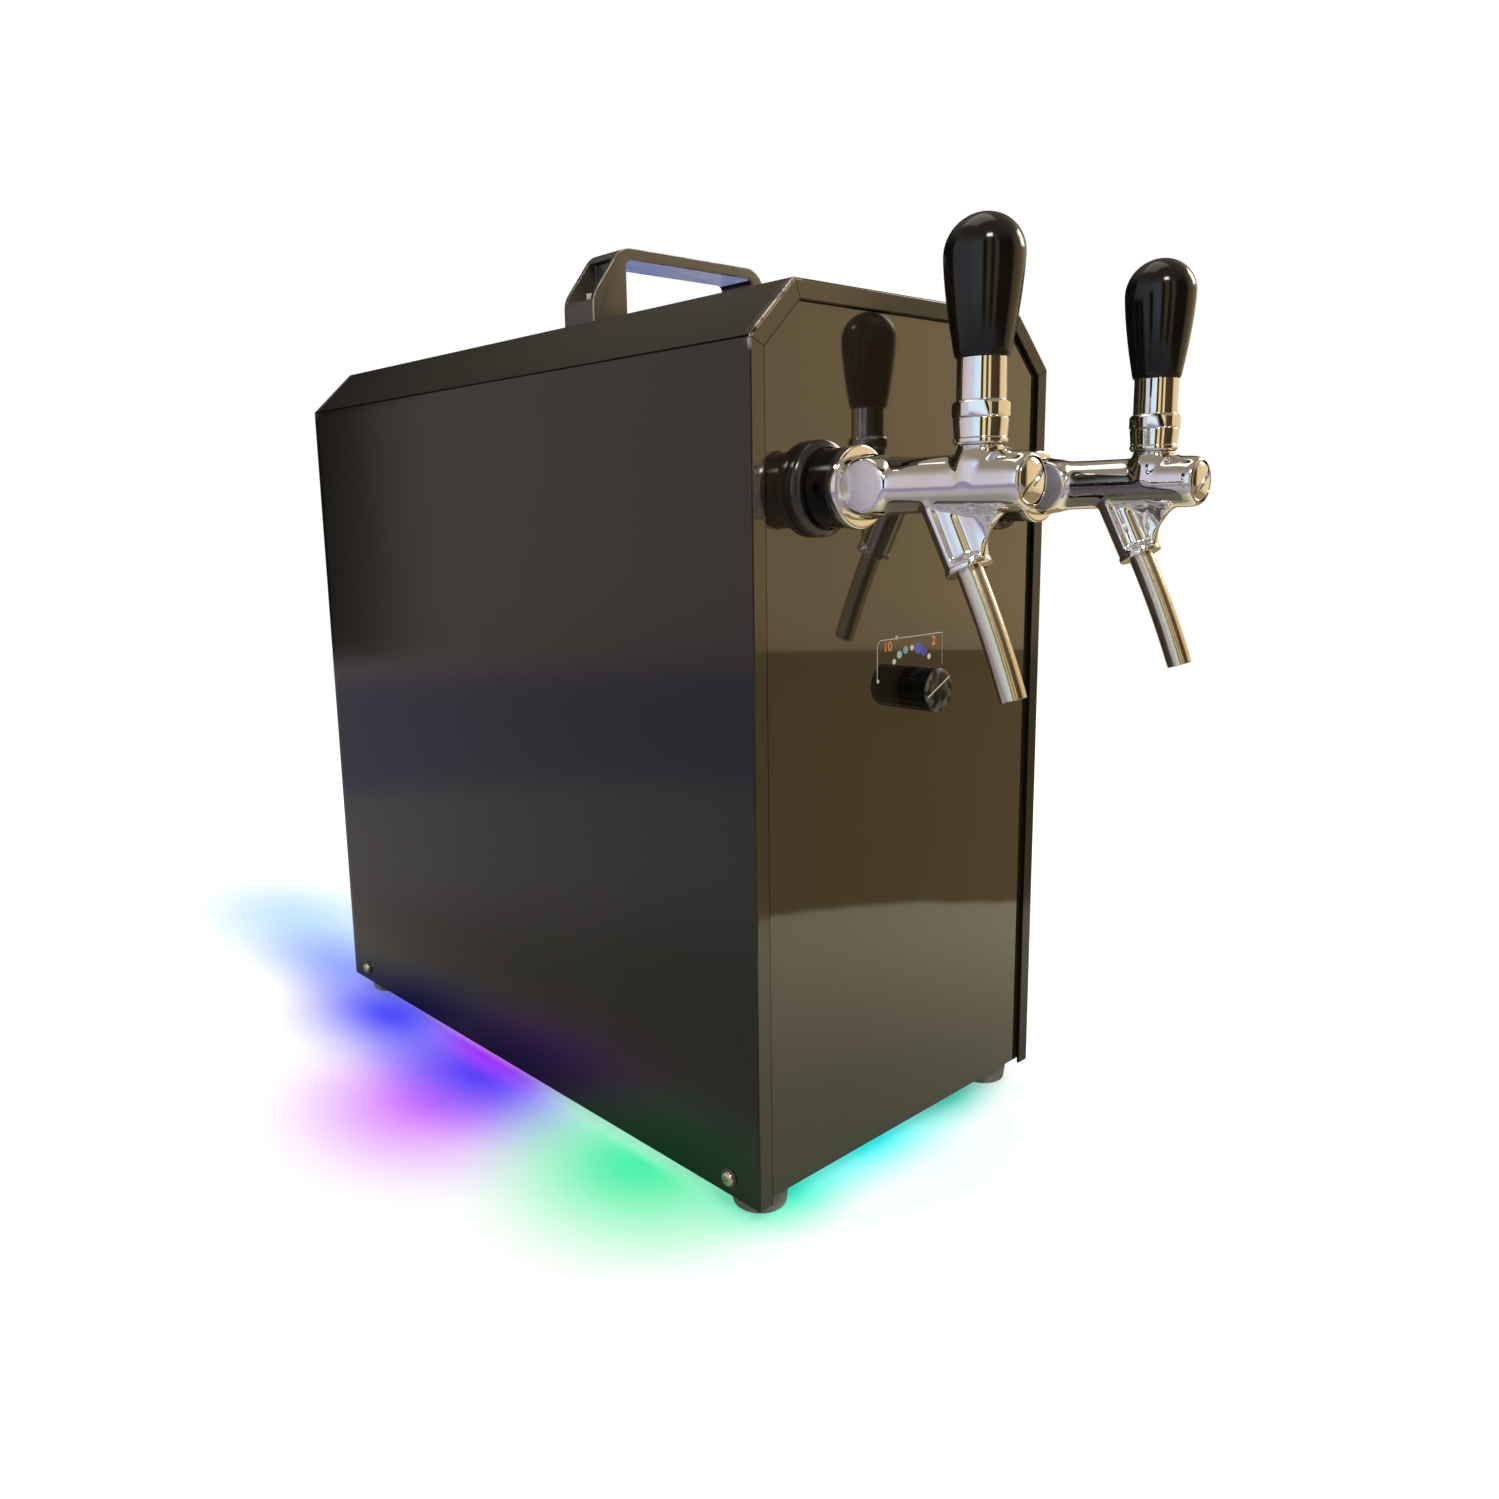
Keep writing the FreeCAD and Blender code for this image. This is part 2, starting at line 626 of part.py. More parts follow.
def arc_between(start, end, radius, left):
    """The shorter arc from start to end that turns left or right."""
    if not left:
        start, end = end, start
    chord = end - start
    half = chord.Length / 2
    across = FreeCAD.Vector(-chord.y, chord.x, 0)
    across.normalize()
    height = max(radius ** 2 - half ** 2, 0) ** 0.5
    centre = (start + end) * 0.5 + across * height
    east = FreeCAD.Vector(1, 0, 0)
    angles = []
    for spot in (start, end):
        ray = spot - centre
        angle = east.getAngle(ray)
        angles.append(angle if ray.y >= 0 else -angle)
    circle = Part.Circle(centre, FreeCAD.Vector(0, 0, 1), radius)
    return Part.ArcOfCircle(circle, angles[0], angles[1])


def circles(drawing, rounds):
    """Full circles, each a list of rules (x, y, radius)."""
    rules = []
    values = []
    for x, y, radius in rounds:
        curve = drawing.GeometryCount
        centre = FreeCAD.Vector(number(x), number(y), 0)
        drawing.addGeometry(Part.Circle(centre, FreeCAD.Vector(0, 0, 1), number(radius)), False)
        pin_point(drawing, curve, 3, x, y, rules, values)
        values.append(Sketcher.Constraint("Radius", curve, number(radius)))
        rules.append(radius)
    settle(drawing, rules, values)
    return drawing


def rectangle(low_x, low_y, high_x, high_y):
    return [(low_x, low_y), (high_x, low_y), (high_x, high_y), (low_x, high_y)]


def slot(x, y, length, height):
    """A level slot with round ends, drawn a hair over a half circle's radius."""
    low = f"({y}) - ({height}) / 2"
    high = f"({y}) + ({height}) / 2"
    left = f"({x}) - ({length} - {height}) / 2"
    right = f"({x}) + ({length} - {height}) / 2"
    end = f"({height}) / 2 + end_slack"
    return [(left, low, end), (right, low), (right, high, end), (left, high)]


def pad(owner, drawing, length, back=False, middle=False):
    feature = owner.newObject("PartDesign::Pad", "pad")
    feature.Profile = drawing
    feature.Reversed = back
    feature.Midplane = middle
    tie(feature, "Length", length)
    return feature


def pocket(owner, drawing, length, back=False, middle=False):
    feature = owner.newObject("PartDesign::Pocket", "pocket")
    feature.Profile = drawing
    feature.Reversed = back
    feature.Midplane = middle
    tie(feature, "Length", length)
    return feature


PLANES = {"Y": ("XY", "V_Axis"), "X": ("XY", "H_Axis"), "Z": ("XZ", "V_Axis")}


def turned(name, axis, corners, x=0, y=0, z=0, turn="Z"):
    """A turned solid. Corners are (radius, height) for Z or Y, (length, radius) for X."""
    owner = body(name, x, y, z, turn)
    plane, line = PLANES[axis]
    drawing = draw(sketch(owner, plane), corners)
    feature = owner.newObject("PartDesign::Revolution", "turned")
    feature.Profile = drawing
    feature.ReferenceAxis = (drawing, [line])
    feature.Angle = 360
    return owner


def round_edges(owner, radius, chosen):
    """Round the edges of a body whose middle point passes a test."""
    document.recompute()
    names = []
    for index, edge in enumerate(owner.Tip.Shape.Edges):
        if chosen(edge):
            names.append(f"Edge{index + 1}")
    feature = owner.newObject("PartDesign::Fillet", "rounding")
    feature.Base = (owner.Tip if owner.Tip != feature else feature.BaseFeature, names)
    tie(feature, "Radius", radius)
    return feature


def near(value, goal):
    return abs(value - goal) < TOUCH


def shell_outline(inset, bottom):
    """The cabinet's section, drawn inwards by an inset, up one side and down the other."""
    side = f"(cover_width / 2 - ({inset}))"
    shoulder = f"(cover_top - chamfer_down - ({inset}) * tan(side_turn / 2))"
    roof = f"(cover_top - ({inset}))"
    ridge = f"(cover_width / 2 - chamfer_across - ({inset}) * tan(roof_turn / 2))"
    return [
        (f"-{side}", bottom),
        (side, bottom),
        (side, shoulder),
        (ridge, roof),
        (f"-{ridge}", roof),
        (f"-{side}", shoulder),
    ]


def mitre_seams():
    """Four thin cuts from the folds to the inner corners of the folded edge."""
    outer = shell_outline("sheet_thickness", 0)[2:]
    inner = shell_outline("flange_width", 0)[2:]
    cuts = []
    for (outer_x, outer_z), (inner_x, inner_z) in zip(outer, inner):
        cuts.append([
            (outer_x, f"{outer_z} - seam_width / 2"),
            (inner_x, f"{inner_z} - seam_width / 2"),
            (inner_x, f"{inner_z} + seam_width / 2"),
            (outer_x, f"{outer_z} + seam_width / 2"),
        ])
    return cuts


def outer_cover():
    """One folded sheet: side, slope, roof, slope and side, with its edges turned in."""
    owner = body("outer_cover", 0, "front_y", 0)
    pad(owner, draw(sketch(owner, "XZ"), shell_outline(0, "foot_height")), "cover_depth", back=True)

    def long_fold(edge):
        middle = edge.BoundBox.Center
        along_depth = edge.BoundBox.YLength > number("cover_depth") - 1
        return along_depth and middle.z > number("foot_height") + 1

    round_edges(owner, "bend_radius", long_fold)
    below = "foot_height - cut_margin"
    hollow = draw(sketch(owner, "XZ", "-sheet_thickness"), shell_outline("sheet_thickness", below))
    pocket(owner, hollow, "cover_depth - 2 * sheet_thickness")
    pocket(owner, draw(sketch(owner, "XZ"), shell_outline("flange_width", below)), "cover_depth")
    for offset in ("0", "-(cover_depth - sheet_thickness)"):
        seams = sketch(owner, "XZ", offset)
        for outline in mitre_seams():
            draw(seams, outline)
        pocket(owner, seams, "sheet_thickness")
    holes = circles(sketch(owner, "YZ"), [
        (y, "foot_height + screw_rise", "screw_radius + screw_hole_gap")
        for y in ("screw_inset", "cover_depth - screw_inset")])
    pocket(owner, holes, "cover_width + cut_margin", middle=True)
    bolts = circles(sketch(owner, "XY", "cover_top"), [
        (x, "handle_setback + handle_depth / 2", "bolt_radius + bolt_hole_gap")
        for x in ("-handle_bolt_spread / 2", "handle_bolt_spread / 2")])
    pocket(owner, bolts, "2 * sheet_thickness")
    node("outer_cover", owner)


def panel_plate(name, y):
    """A flat panel that fills the cover's section behind the folded edge."""
    owner = body(name, 0, y, 0)
    outline = shell_outline("inside", "foot_height + panel_lift")
    pad(owner, draw(sketch(owner, "XZ"), outline), "panel_thickness", back=True)
    return owner


def front_panel():
    """High-gloss panel with the holes of the two shanks and the thermostat."""
    owner = panel_plate("front_panel", "panel_front")
    holes = circles(sketch(owner, "XZ"), [
        ("-tap_spacing / 2", "tap_height", "shank_radius + shank_gap"),
        ("tap_spacing / 2", "tap_height", "shank_radius + shank_gap"),
        ("0", "dial_height", "spindle_bush_radius + spindle_bush_gap")])
    pocket(owner, holes, "panel_thickness")
    node("front_panel", owner)


def rear_panel():
    """Rear panel with the air slots, the two beer stubs, the mains inlet and the switch."""
    owner = panel_plate("rear_panel", "rear_inner")
    holes = sketch(owner, "XZ")
    circles(holes, [
        (x, "tap_height", "line_radius + grommet_neck + line_gap")
        for x in ("-tap_spacing / 2", "tap_spacing / 2")])
    draw(holes, rectangle(
        "inlet_x - inlet_body_width / 2 - cutout_gap", "inlet_z - inlet_body_height / 2 - cutout_gap",
        "inlet_x + inlet_body_width / 2 + cutout_gap", "inlet_z + inlet_body_height / 2 + cutout_gap"))
    draw(holes, rectangle(
        "switch_x - switch_width / 2 + switch_wall - cutout_gap",
        "inlet_z - switch_height / 2 + switch_wall - cutout_gap",
        "switch_x + switch_width / 2 - switch_wall + cutout_gap",
        "inlet_z + switch_height / 2 - switch_wall + cutout_gap"))
    pocket(owner, holes, "panel_thickness")
    vent = sketch(owner, "XZ")
    draw(vent, slot(
        "-(vent_columns - 1) * vent_spacing / 2", "fan_z - (vent_rows - 1) * vent_pitch / 2",
        "vent_length", "vent_height"))
    first = pocket(owner, vent, "panel_thickness")
    rows = owner.newObject("PartDesign::LinearPattern", "vent_rows")
    rows.Originals = [first]
    rows.Direction = (vent, ["V_Axis"])
    rows.Mode = "Spacing"
    tie(rows, "Offset", "vent_pitch")
    rows.Occurrences = int(number("vent_rows"))
    rows.Direction2 = (vent, ["H_Axis"])
    rows.Mode2 = "Spacing"
    tie(rows, "Offset2", "vent_spacing")
    rows.Occurrences2 = int(number("vent_columns"))
    owner.Tip = rows
    node("rear_panel", owner)


FOOT_PLACES = [
    (f"{side} * (cover_width / 2 - foot_inset)", y)
    for side in ("-1", "1") for y in ("front_y + foot_inset", "rear_y - foot_inset")]


def base_tray():
    """Tray that carries everything, with turned-up edges inside cover and panels."""
    owner = body("base_tray")
    edge = "cover_width / 2 - inside"
    wall = "sheet_thickness"
    footprint = rectangle(f"-({edge})", "panel_back", edge, "rear_inner")
    pad(owner, draw(sketch(owner, "XY", "tray_bottom"), footprint), "tray_wall")
    inside = rectangle(
        f"-({edge} - {wall})", f"panel_back + {wall}", f"{edge} - {wall}", f"rear_inner - {wall}")
    pocket(owner, draw(sketch(owner, "XY", "tray_top"), inside), "tray_wall", back=True)
    holes = circles(sketch(owner, "XY", "tray_top"), [(x, y, "foot_hole_radius") for x, y in FOOT_PLACES])
    pocket(owner, holes, "sheet_thickness")
    sides = circles(sketch(owner, "YZ"), [
        (y, "foot_height + screw_rise", "screw_radius + screw_hole_gap")
        for y in ("front_y + screw_inset", "rear_y - screw_inset")])
    pocket(owner, sides, "cover_width", middle=True)
    node("base_tray", owner)


def rubber_feet():
    feet = []
    for x, y in FOOT_PLACES:
        feet.append(cut(
            cone("foot_base_radius", "foot_top_radius", "tray_bottom", x, y, 0),
            cylinder("foot_recess_radius", "foot_recess_depth", x, y, 0),
            cylinder("foot_hole_radius", "tray_bottom", x, y, 0)))
    node("rubber_feet", group(*feet))


def strip_runs():
    """The four straight runs of the light strip, between the feet, as pairs of corners."""
    clear = "(foot_inset + foot_top_radius + strip_inset)"
    side_out = "(cover_width / 2 - strip_inset)"
    side_in = "(cover_width / 2 - strip_inset - strip_width)"
    runs = []
    for low_x, high_x in ((f"-{side_out}", f"-{side_in}"), (side_in, side_out)):
        runs.append(((low_x, f"front_y + {clear}"), (high_x, f"rear_y - {clear}")))
    across = f"(cover_width / 2 - {clear})"
    for low_y in ("front_y + strip_inset", "rear_y - strip_inset - strip_width"):
        runs.append(((f"-{across}", low_y), (across, f"{low_y} + strip_width")))
    return runs


def light_strip():
    """Four runs of strip under the tray and the lamps in a row on each."""
    runs = []
    lamps = []
    low_z = "tray_bottom - strip_thickness"
    size = number("lamp_size")
    for low, high in strip_runs():
        runs.append(box([low[0], low[1], low_z], [high[0], high[1], "tray_bottom"]))
        start = FreeCAD.Vector(number(low[0]), number(low[1]), number(low_z))
        span = FreeCAD.Vector(number(high[0]), number(high[1]), number(low_z)) - start
        length = max(span.x, span.y)
        count = int(length / number("lamp_pitch"))
        for index in range(count):
            share = (index + 0.5) / count
            along_y = span.y > span.x
            middle_x = start.x + span.x * (0.5 if along_y else share)
            middle_y = start.y + span.y * (share if along_y else 0.5)
            corner = FreeCAD.Vector(
                middle_x - size / 2, middle_y - size / 2, start.z - number("lamp_height"))
            lamps.append(Part.makeBox(size, size, number("lamp_height"), corner))
    node("light_strip", group(*runs))
    lights = document.addObject("Part::Feature", "strip_lamps")
    lights.Shape = Part.makeCompound(lamps)
    node("strip_lamps", lights)


def cover_screws():
    """Two pan-head screws on each side, each on its ring."""
    screws = []
    washers = []
    dome = "(screw_head_radius^2 + screw_head_height^2) / (2 * screw_head_height)"
    for x, turn in (("-cover_width / 2", "about Z"), ("cover_width / 2", "Z")):
        for y in ("front_y + screw_inset", "rear_y - screw_inset"):
            spot = (x, y, "foot_height + screw_rise", turn)
            screws.append(turned("cover_screw", "X", [
                ("-screw_length", "0"),
                ("washer_thickness + screw_head_height", "0"),
                ("washer_thickness", "screw_head_radius", dome),
                ("washer_thickness", "screw_radius"),
                ("-screw_length", "screw_radius")], *spot))
            washers.append(turned("washer", "X", [
                ("0", "screw_radius"),
                ("washer_thickness", "screw_radius"),
                ("washer_thickness", "washer_radius - washer_thickness / 2"),
                ("0", "washer_radius")], *spot))
    node("cover_screws", group(*screws))
    node("screw_washers", group(*washers))


def carry_handle():
    """Moulded grip across the roof; each leg is a channel that is open to its own side."""
    owner = body("carry_handle", 0, "handle_front", "cover_top")
    half = "handle_width / 2"
    outer = [
        (f"-{half}", "0"),
        (half, "0"),
        (half, "handle_rise - handle_shoulder_down"),
        (f"{half} - handle_shoulder_in", "handle_rise"),
        (f"-({half} - handle_shoulder_in)", "handle_rise"),
        (f"-{half}", "handle_rise - handle_shoulder_down")]
    pad(owner, draw(sketch(owner, "XZ"), outer), "handle_depth", back=True)
    corner_heights = (number("handle_rise"), number("handle_rise - handle_shoulder_down"))

    def shoulder(edge):
        middle = edge.BoundBox.Center
        along = edge.BoundBox.YLength > number("handle_depth") - 1
        return along and (near(middle.z, corner_heights[0]) or near(middle.z, corner_heights[1]))

    round_edges(owner, "handle_shoulder_round", shoulder)
    gap = rectangle(
        "-handle_opening / 2", "-cut_margin", "handle_opening / 2", "handle_rise - grip_thickness")
    pocket(owner, draw(sketch(owner, "XZ"), gap), "handle_depth")

    def under_bar(edge):
        middle = edge.BoundBox.Center
        along = edge.BoundBox.YLength > number("handle_depth") - 1
        inside = near(abs(middle.x), number("handle_opening / 2"))
        return along and inside and near(middle.z, number("handle_rise - grip_thickness"))

    round_edges(owner, "handle_inner_round", under_bar)

    def front_and_rear(edge):
        middle = edge.BoundBox.Center
        return near(edge.BoundBox.YLength, 0) and middle.z > TOUCH

    round_edges(owner, "handle_edge_round", front_and_rear)
    channels = sketch(owner, "XZ", "-handle_wall")
    near_wall = "(handle_opening / 2 + handle_wall)"
    past = f"({half} + cut_margin)"
    roof = "(handle_rise - grip_thickness)"
    draw(channels, rectangle(f"-{past}", "handle_block", f"-{near_wall}", roof))
    draw(channels, rectangle(near_wall, "handle_block", past, roof))
    pocket(owner, channels, "handle_depth - 2 * handle_wall")
    holes = circles(sketch(owner, "XY", "handle_block"), [
        (x, "handle_depth / 2", "bolt_radius + bolt_hole_gap")
        for x in ("-handle_bolt_spread / 2", "handle_bolt_spread / 2")])
    pocket(owner, holes, "handle_block")
    node("carry_handle", owner)


def handle_bolts():
    """Flanged hexagon bolts that stand on the solid feet of the legs."""
    bolts = []
    for x in ("-handle_bolt_spread / 2", "handle_bolt_spread / 2"):
        spot = (x, "handle_front + handle_depth / 2")
        bolts.append(fuse(
            hexagon("bolt_head_radius", "bolt_head_height", *spot, "bolt_seat + bolt_flange_height"),
            cylinder("bolt_flange_radius", "bolt_flange_height", *spot, "bolt_seat"),
            cylinder("bolt_radius", "handle_block + bolt_grip + bolt_flange_height",
                     *spot, "cover_top - bolt_grip")))
    node("handle_bolts", group(*bolts))


TAPS = {"left": "-tap_spacing / 2", "right": "tap_spacing / 2"}


def rosette():
    """Plastic cover ring between panel and coupling nut."""
    rear = "sheet_thickness + panel_setback"
    front = f"{rear} - rosette_depth"
    return turned("rosette", "Y", [
        ("shank_radius + shank_gap", rear),
        ("rosette_radius", rear),
        ("rosette_radius", f"{front} + rosette_round"),
        ("rosette_radius - rosette_round", front, "rosette_round", "right"),
        ("shank_radius + shank_gap", front)])


def shank():
    """Threaded tube through the panel, from the beer line to the tap's tail."""
    return cut(
        cylinder("shank_radius", "shank_front + shank_tail", 0, "-shank_front", 0, "Y"),
        cylinder("shank_bore", "shank_front + shank_tail", 0, "-shank_front", 0, "Y"))


def back_nut():
    """Hexagon nut that clamps the shank to the panel from inside."""
    face = "sheet_thickness + panel_setback + panel_thickness"
    return cut(
        hexagon("back_nut_corner", "back_nut_height", 0, face, 0, "Y"),
        cylinder("shank_radius + coupling_gap", "back_nut_height", 0, face, 0, "Y"))


def coupling_nut():
    """Black round nut with spanner holes around its middle."""
    rear = "(rosette_depth - sheet_thickness - panel_setback)"
    owner = turned("coupling_nut", "Y", [
        ("shank_radius + coupling_gap", f"-{rear}"),
        ("coupling_radius - coupling_round", f"-{rear}"),
        ("coupling_radius", f"-({rear} + coupling_round)"),
        ("coupling_radius", "-(flange_start - coupling_round)"),
        ("coupling_radius - coupling_round", "-flange_start"),
        ("shank_radius + coupling_gap", "-flange_start")])
    hole = circles(sketch(owner, "XY", "coupling_radius - spanner_hole_depth"), [
        ("0", f"-({rear} + flange_start) / 2", "spanner_hole_radius")])
    first = pocket(owner, hole, "coupling_radius", back=True)
    around = owner.newObject("PartDesign::PolarPattern", "spanner_holes")
    around.Originals = [first]
    around.Axis = (hole, ["V_Axis"])
    around.Angle = 360
    around.Occurrences = int(number("spanner_holes"))
    owner.Tip = around
    return owner


def side_disc():
    """Bare flat disc in the side boss."""
    return turned("side_disc", "X", [
        ("-boss_reach", "0"),
        ("-(boss_reach - disc_depth)", "0"),
        ("-(boss_reach - disc_depth)", "disc_radius - disc_gap"),
        ("-boss_reach", "disc_radius - disc_gap")], 0, "-boss_forward", 0)


def nose_plug():
    """Domed plug with a slanting slot."""
    rear = "-(nose_forward - mouth_depth)"
    rim = "mouth_radius - plug_gap"
    dome = f"(({rim})^2 + plug_dome^2) / (2 * plug_dome)"
    disc = turned("nose_plug", "Y", [
        ("0", rear),
        ("0", "-(nose_forward - 0.4 + plug_dome)"),
        (rim, "-(nose_forward - 0.4)", dome),
        (rim, rear)])
    groove = group(box(
        ["-mouth_radius", "-(nose_forward + cut_margin)", "-plug_slot_width / 2"],
        ["mouth_radius", "-(nose_forward + plug_dome - plug_slot_depth)", "plug_slot_width / 2"]))
    groove.Placement.Rotation = FreeCAD.Rotation(FreeCAD.Vector(0, -1, 0), number("plug_slot_turn"))
    tie(groove, "Placement.Rotation.Angle", "plug_slot_turn")
    return cut(disc, groove)


def barrel():
    """The tap's tube with its tail, flange, thick root and rounded nose."""
    flange_front = "(flange_start + flange_thickness)"
    return turned("barrel", "Y", [
        ("0", "-tail_start"),
        ("0", "-nose_forward"),
        ("barrel_radius - nose_round", "-nose_forward"),
        ("barrel_radius", "-(nose_forward - nose_round)", "nose_round"),
        ("barrel_radius", "-(root_end + root_taper)"),
        ("root_radius", "-root_end"),
        ("root_radius", f"-{flange_front}"),
        ("flange_radius - 1", f"-{flange_front}"),
        ("flange_radius", f"-({flange_front} - 1)"),
        ("flange_radius", "-(flange_start + 1)"),
        ("flange_radius - 1", "-flange_start"),
        ("tail_radius", "-flange_start"),
        ("tail_radius", "-tail_start")])


def spout_holder():
    """Slanting socket with a round rim and a pocket in each side, in front of its bore."""
    outside = fuse(
        cylinder("holder_radius", "holder_drop / cos(holder_lean)"),
        cylinder("holder_rim_radius", "holder_rim_height"))
    deep = "holder_radius + cut_margin"
    top = "holder_drop"
    left = box([f"-({deep})", f"-({deep})", "holder_rim_height"], ["-web_thickness / 2", "1", top])
    right = box(["web_thickness / 2", f"-({deep})", "holder_rim_height"], [deep, "1", top])
    core = cylinder("holder_core_radius", "holder_drop")
    holder = cut(outside, cut(fuse(left, right), core))
    place(holder, 0, "-holder_forward", "-holder_drop")
    return lean(holder, "-holder_lean")


def nose_web():
    """Upright web that joins the holder's front to the underside of the nose."""
    owner = body("nose_web")
    outline = [
        ("-(lever_forward + 14)", "-(barrel_radius - 2.5)"),
        ("-(holder_forward - 14)", "-(barrel_radius - 4)"),
        ("-(holder_forward - 6)", "-(holder_drop - 14)"),
        ("-(holder_forward + 8.2)", "-(holder_drop - 4)"),
        ("-(holder_forward + 7)", "-(barrel_radius + 4)", "26", "right")]
    drawing = draw(sketch(owner, "YZ"), outline)
    pad(owner, drawing, "web_thickness", middle=True)
    return owner


def tilted_collar_room():
    """Room for the collar at the end of the lever's travel, outside the dome."""
    sleeve = cylinder(
        "collar_base_radius + relief_gap", "collar_height", 0, 0, "collar_lift - relief_gap")
    ring = cut(sleeve, sphere("neck_radius + 0.12"))
    place(ring, 0, "-lever_forward", "pivot_rise")
    return lean(ring, "lever_travel")


def tap_body():
    """Chrome casting: tube, neck with its dome, side bosses, spout holder and web, all bored."""
    lever = ("0", "-lever_forward")
    outside = fuse(
        barrel(),
        cylinder("neck_radius", "pivot_rise", *lever, 0),
        sphere("neck_radius", *lever, "pivot_rise"),
        cylinder("boss_radius", "boss_reach", 0, "-boss_forward", 0, "-X"),
        cylinder("flow_boss_radius", "flow_boss_reach", 0, "-boss_forward", 0, "X"),
        spout_holder(),
        nose_web())
    passage = fuse(
        cylinder("spout_passage", "holder_drop / cos(holder_lean)"),
        cylinder("spout_radius + spout_fit", "spout_socket"))
    place(passage, 0, "-holder_forward", "-holder_drop")
    lean(passage, "-holder_lean")
    seat_front = "(valve_seat_forward + valve_seat_length)"
    cone_end = "(tail_start + cone_seat_length)"
    slot_half = "(stem_radius + stem_slot_gap)"
    inside = fuse(
        cone("inlet_bore", "cone_seat_radius", "cone_seat_length", 0, "-tail_start", 0, "-Y"),
        cylinder("barrel_bore", f"valve_seat_forward - {cone_end}", 0, f"-{cone_end}", 0, "-Y"),
        cylinder("valve_seat_bore", "nose_forward - valve_seat_forward", 0, "-valve_seat_forward", 0, "-Y"),
        cylinder("barrel_bore", f"nose_forward - {seat_front}", 0, f"-{seat_front}", 0, "-Y"),
        cylinder("mouth_radius", "mouth_depth", 0, "-nose_forward", 0, "Y"),
        cylinder("neck_bore", "pivot_rise + neck_bore_rise", *lever, 0),
        box([f"-{slot_half}", f"-(lever_forward + {slot_half} + neck_radius * sin(lever_travel))", "pivot_rise"],
            [slot_half, f"-(lever_forward - {slot_half})", "pivot_rise + neck_radius"]),
        cylinder("pin_radius", "2 * neck_radius", "-neck_radius", "-lever_forward", "pivot_rise", "X"),
        cylinder("disc_radius", "disc_depth + cut_margin", "-(boss_reach - disc_depth)", "-boss_forward", 0, "-X"),
        cylinder("spindle_radius + spindle_gap", "flow_boss_reach", 0, "-boss_forward", 0, "X"),
        passage,
        tilted_collar_room())
    return cut(outside, inside)


def pivot_pin():
    return cylinder("pin_radius", "2 * neck_radius", "-neck_radius", "-lever_forward", "pivot_rise", "X")


def spout_seal():
    """Seal ring between the spout's upper end and the holder."""
    ring = cut(
        cylinder("spout_radius", "seal_thickness", 0, 0, "spout_insert"),
        cylinder("spout_radius - spout_wall", "seal_thickness", 0, 0, "spout_insert"))
    place(ring, 0, "-holder_forward", "-holder_drop")
    return lean(ring, "-holder_lean")


def spout():
    """Bent steel tube: straight piece, long bend towards upright, short straight tip."""
    owner = body("spout", 0, "-holder_forward", "-holder_drop")
    lean(owner, "-holder_lean")
    bend = "spout_bend_radius"
    bend_y = f"({bend} * (1 - cos(spout_bend)))"
    bend_z = f"(-spout_straight - {bend} * sin(spout_bend))"
    tip_y = f"({bend_y} + spout_end * sin(spout_bend))"
    tip_z = f"({bend_z} - spout_end * cos(spout_bend))"
    path = sketch(owner, "YZ")
    open_path(path, [
        ("0", "spout_insert"),
        ("0", "-spout_straight"),
        (bend_y, bend_z, bend),
        (tip_y, tip_z)])
    for kind, radius in (("Additive", "spout_radius"), ("Subtractive", "spout_radius - spout_wall")):
        profile = circles(sketch(owner, "XY", "spout_insert"), [("0", "0", radius)])
        pipe = owner.newObject(f"PartDesign::{kind}Pipe", "pipe")
        pipe.Profile = profile
        pipe.Spine = (path, [f"Edge{index + 1}" for index in range(3)])
    return owner


def open_path(drawing, stops):
    """A path of lines and left-turning arcs through stops of rules."""
    spots = [FreeCAD.Vector(number(stop[0]), number(stop[1]), 0) for stop in stops]
    rules = []
    values = []
    for index in range(len(stops) - 1):
        goal = stops[index + 1]
        if len(goal) == 2:
            drawing.addGeometry(Part.LineSegment(spots[index], spots[index + 1]), False)
        else:
            arc = arc_between(spots[index], spots[index + 1], number(goal[2]), True)
            drawing.addGeometry(arc, False)
            values.append(Sketcher.Constraint("Radius", index, number(goal[2])))
            rules.append(goal[2])
        pin_point(drawing, index, 1, stops[index][0], stops[index][1], rules, values)
        if index > 0:
            values.append(Sketcher.Constraint("Coincident", index - 1, 2, index, 1))
            rules.append(None)
    pin_point(drawing, len(stops) - 2, 2, stops[-1][0], stops[-1][1], rules, values)
    settle(drawing, rules, values)
    return drawing


def lever_stem():
    """Stem with the pivot hole, a thin tip below it and a ball at the end."""
    lever = ("0", "-lever_forward")
    shoulder = "(pivot_rise - stem_radius)"
    return cut(
        fuse(
            sphere("stem_ball_radius", *lever, 0),
            cylinder("stem_tip_radius", "pivot_rise", *lever, 0),
            cylinder("stem_radius", f"knob_low + stem_insert - {shoulder}", *lever, shoulder)),
        cylinder("pin_radius + pin_gap", "4 * stem_radius", "-2 * stem_radius", "-lever_forward",
                 "pivot_rise", "X"))


def lever_collar():
    """Chrome collar, hollow underneath so that it rocks over the neck's dome."""
    hollow_edge = "sqrt(hollow_radius^2 - collar_lift^2)"
    hollow_top = "(pivot_rise + sqrt(hollow_radius^2 - stem_radius^2))"
    return turned("lever_collar", "Z", [
        (hollow_edge, "collar_low", "hollow_radius", "right"),
        ("collar_base_radius - collar_chamfer", "collar_low"),
        ("collar_base_radius", "collar_low + collar_chamfer"),
        ("collar_top_radius", "collar_high - 0.4"),
        ("collar_top_radius - 0.4", "collar_high"),
        ("stem_radius", "collar_high"),
        ("stem_radius", hollow_top)], 0, "-lever_forward", 0)


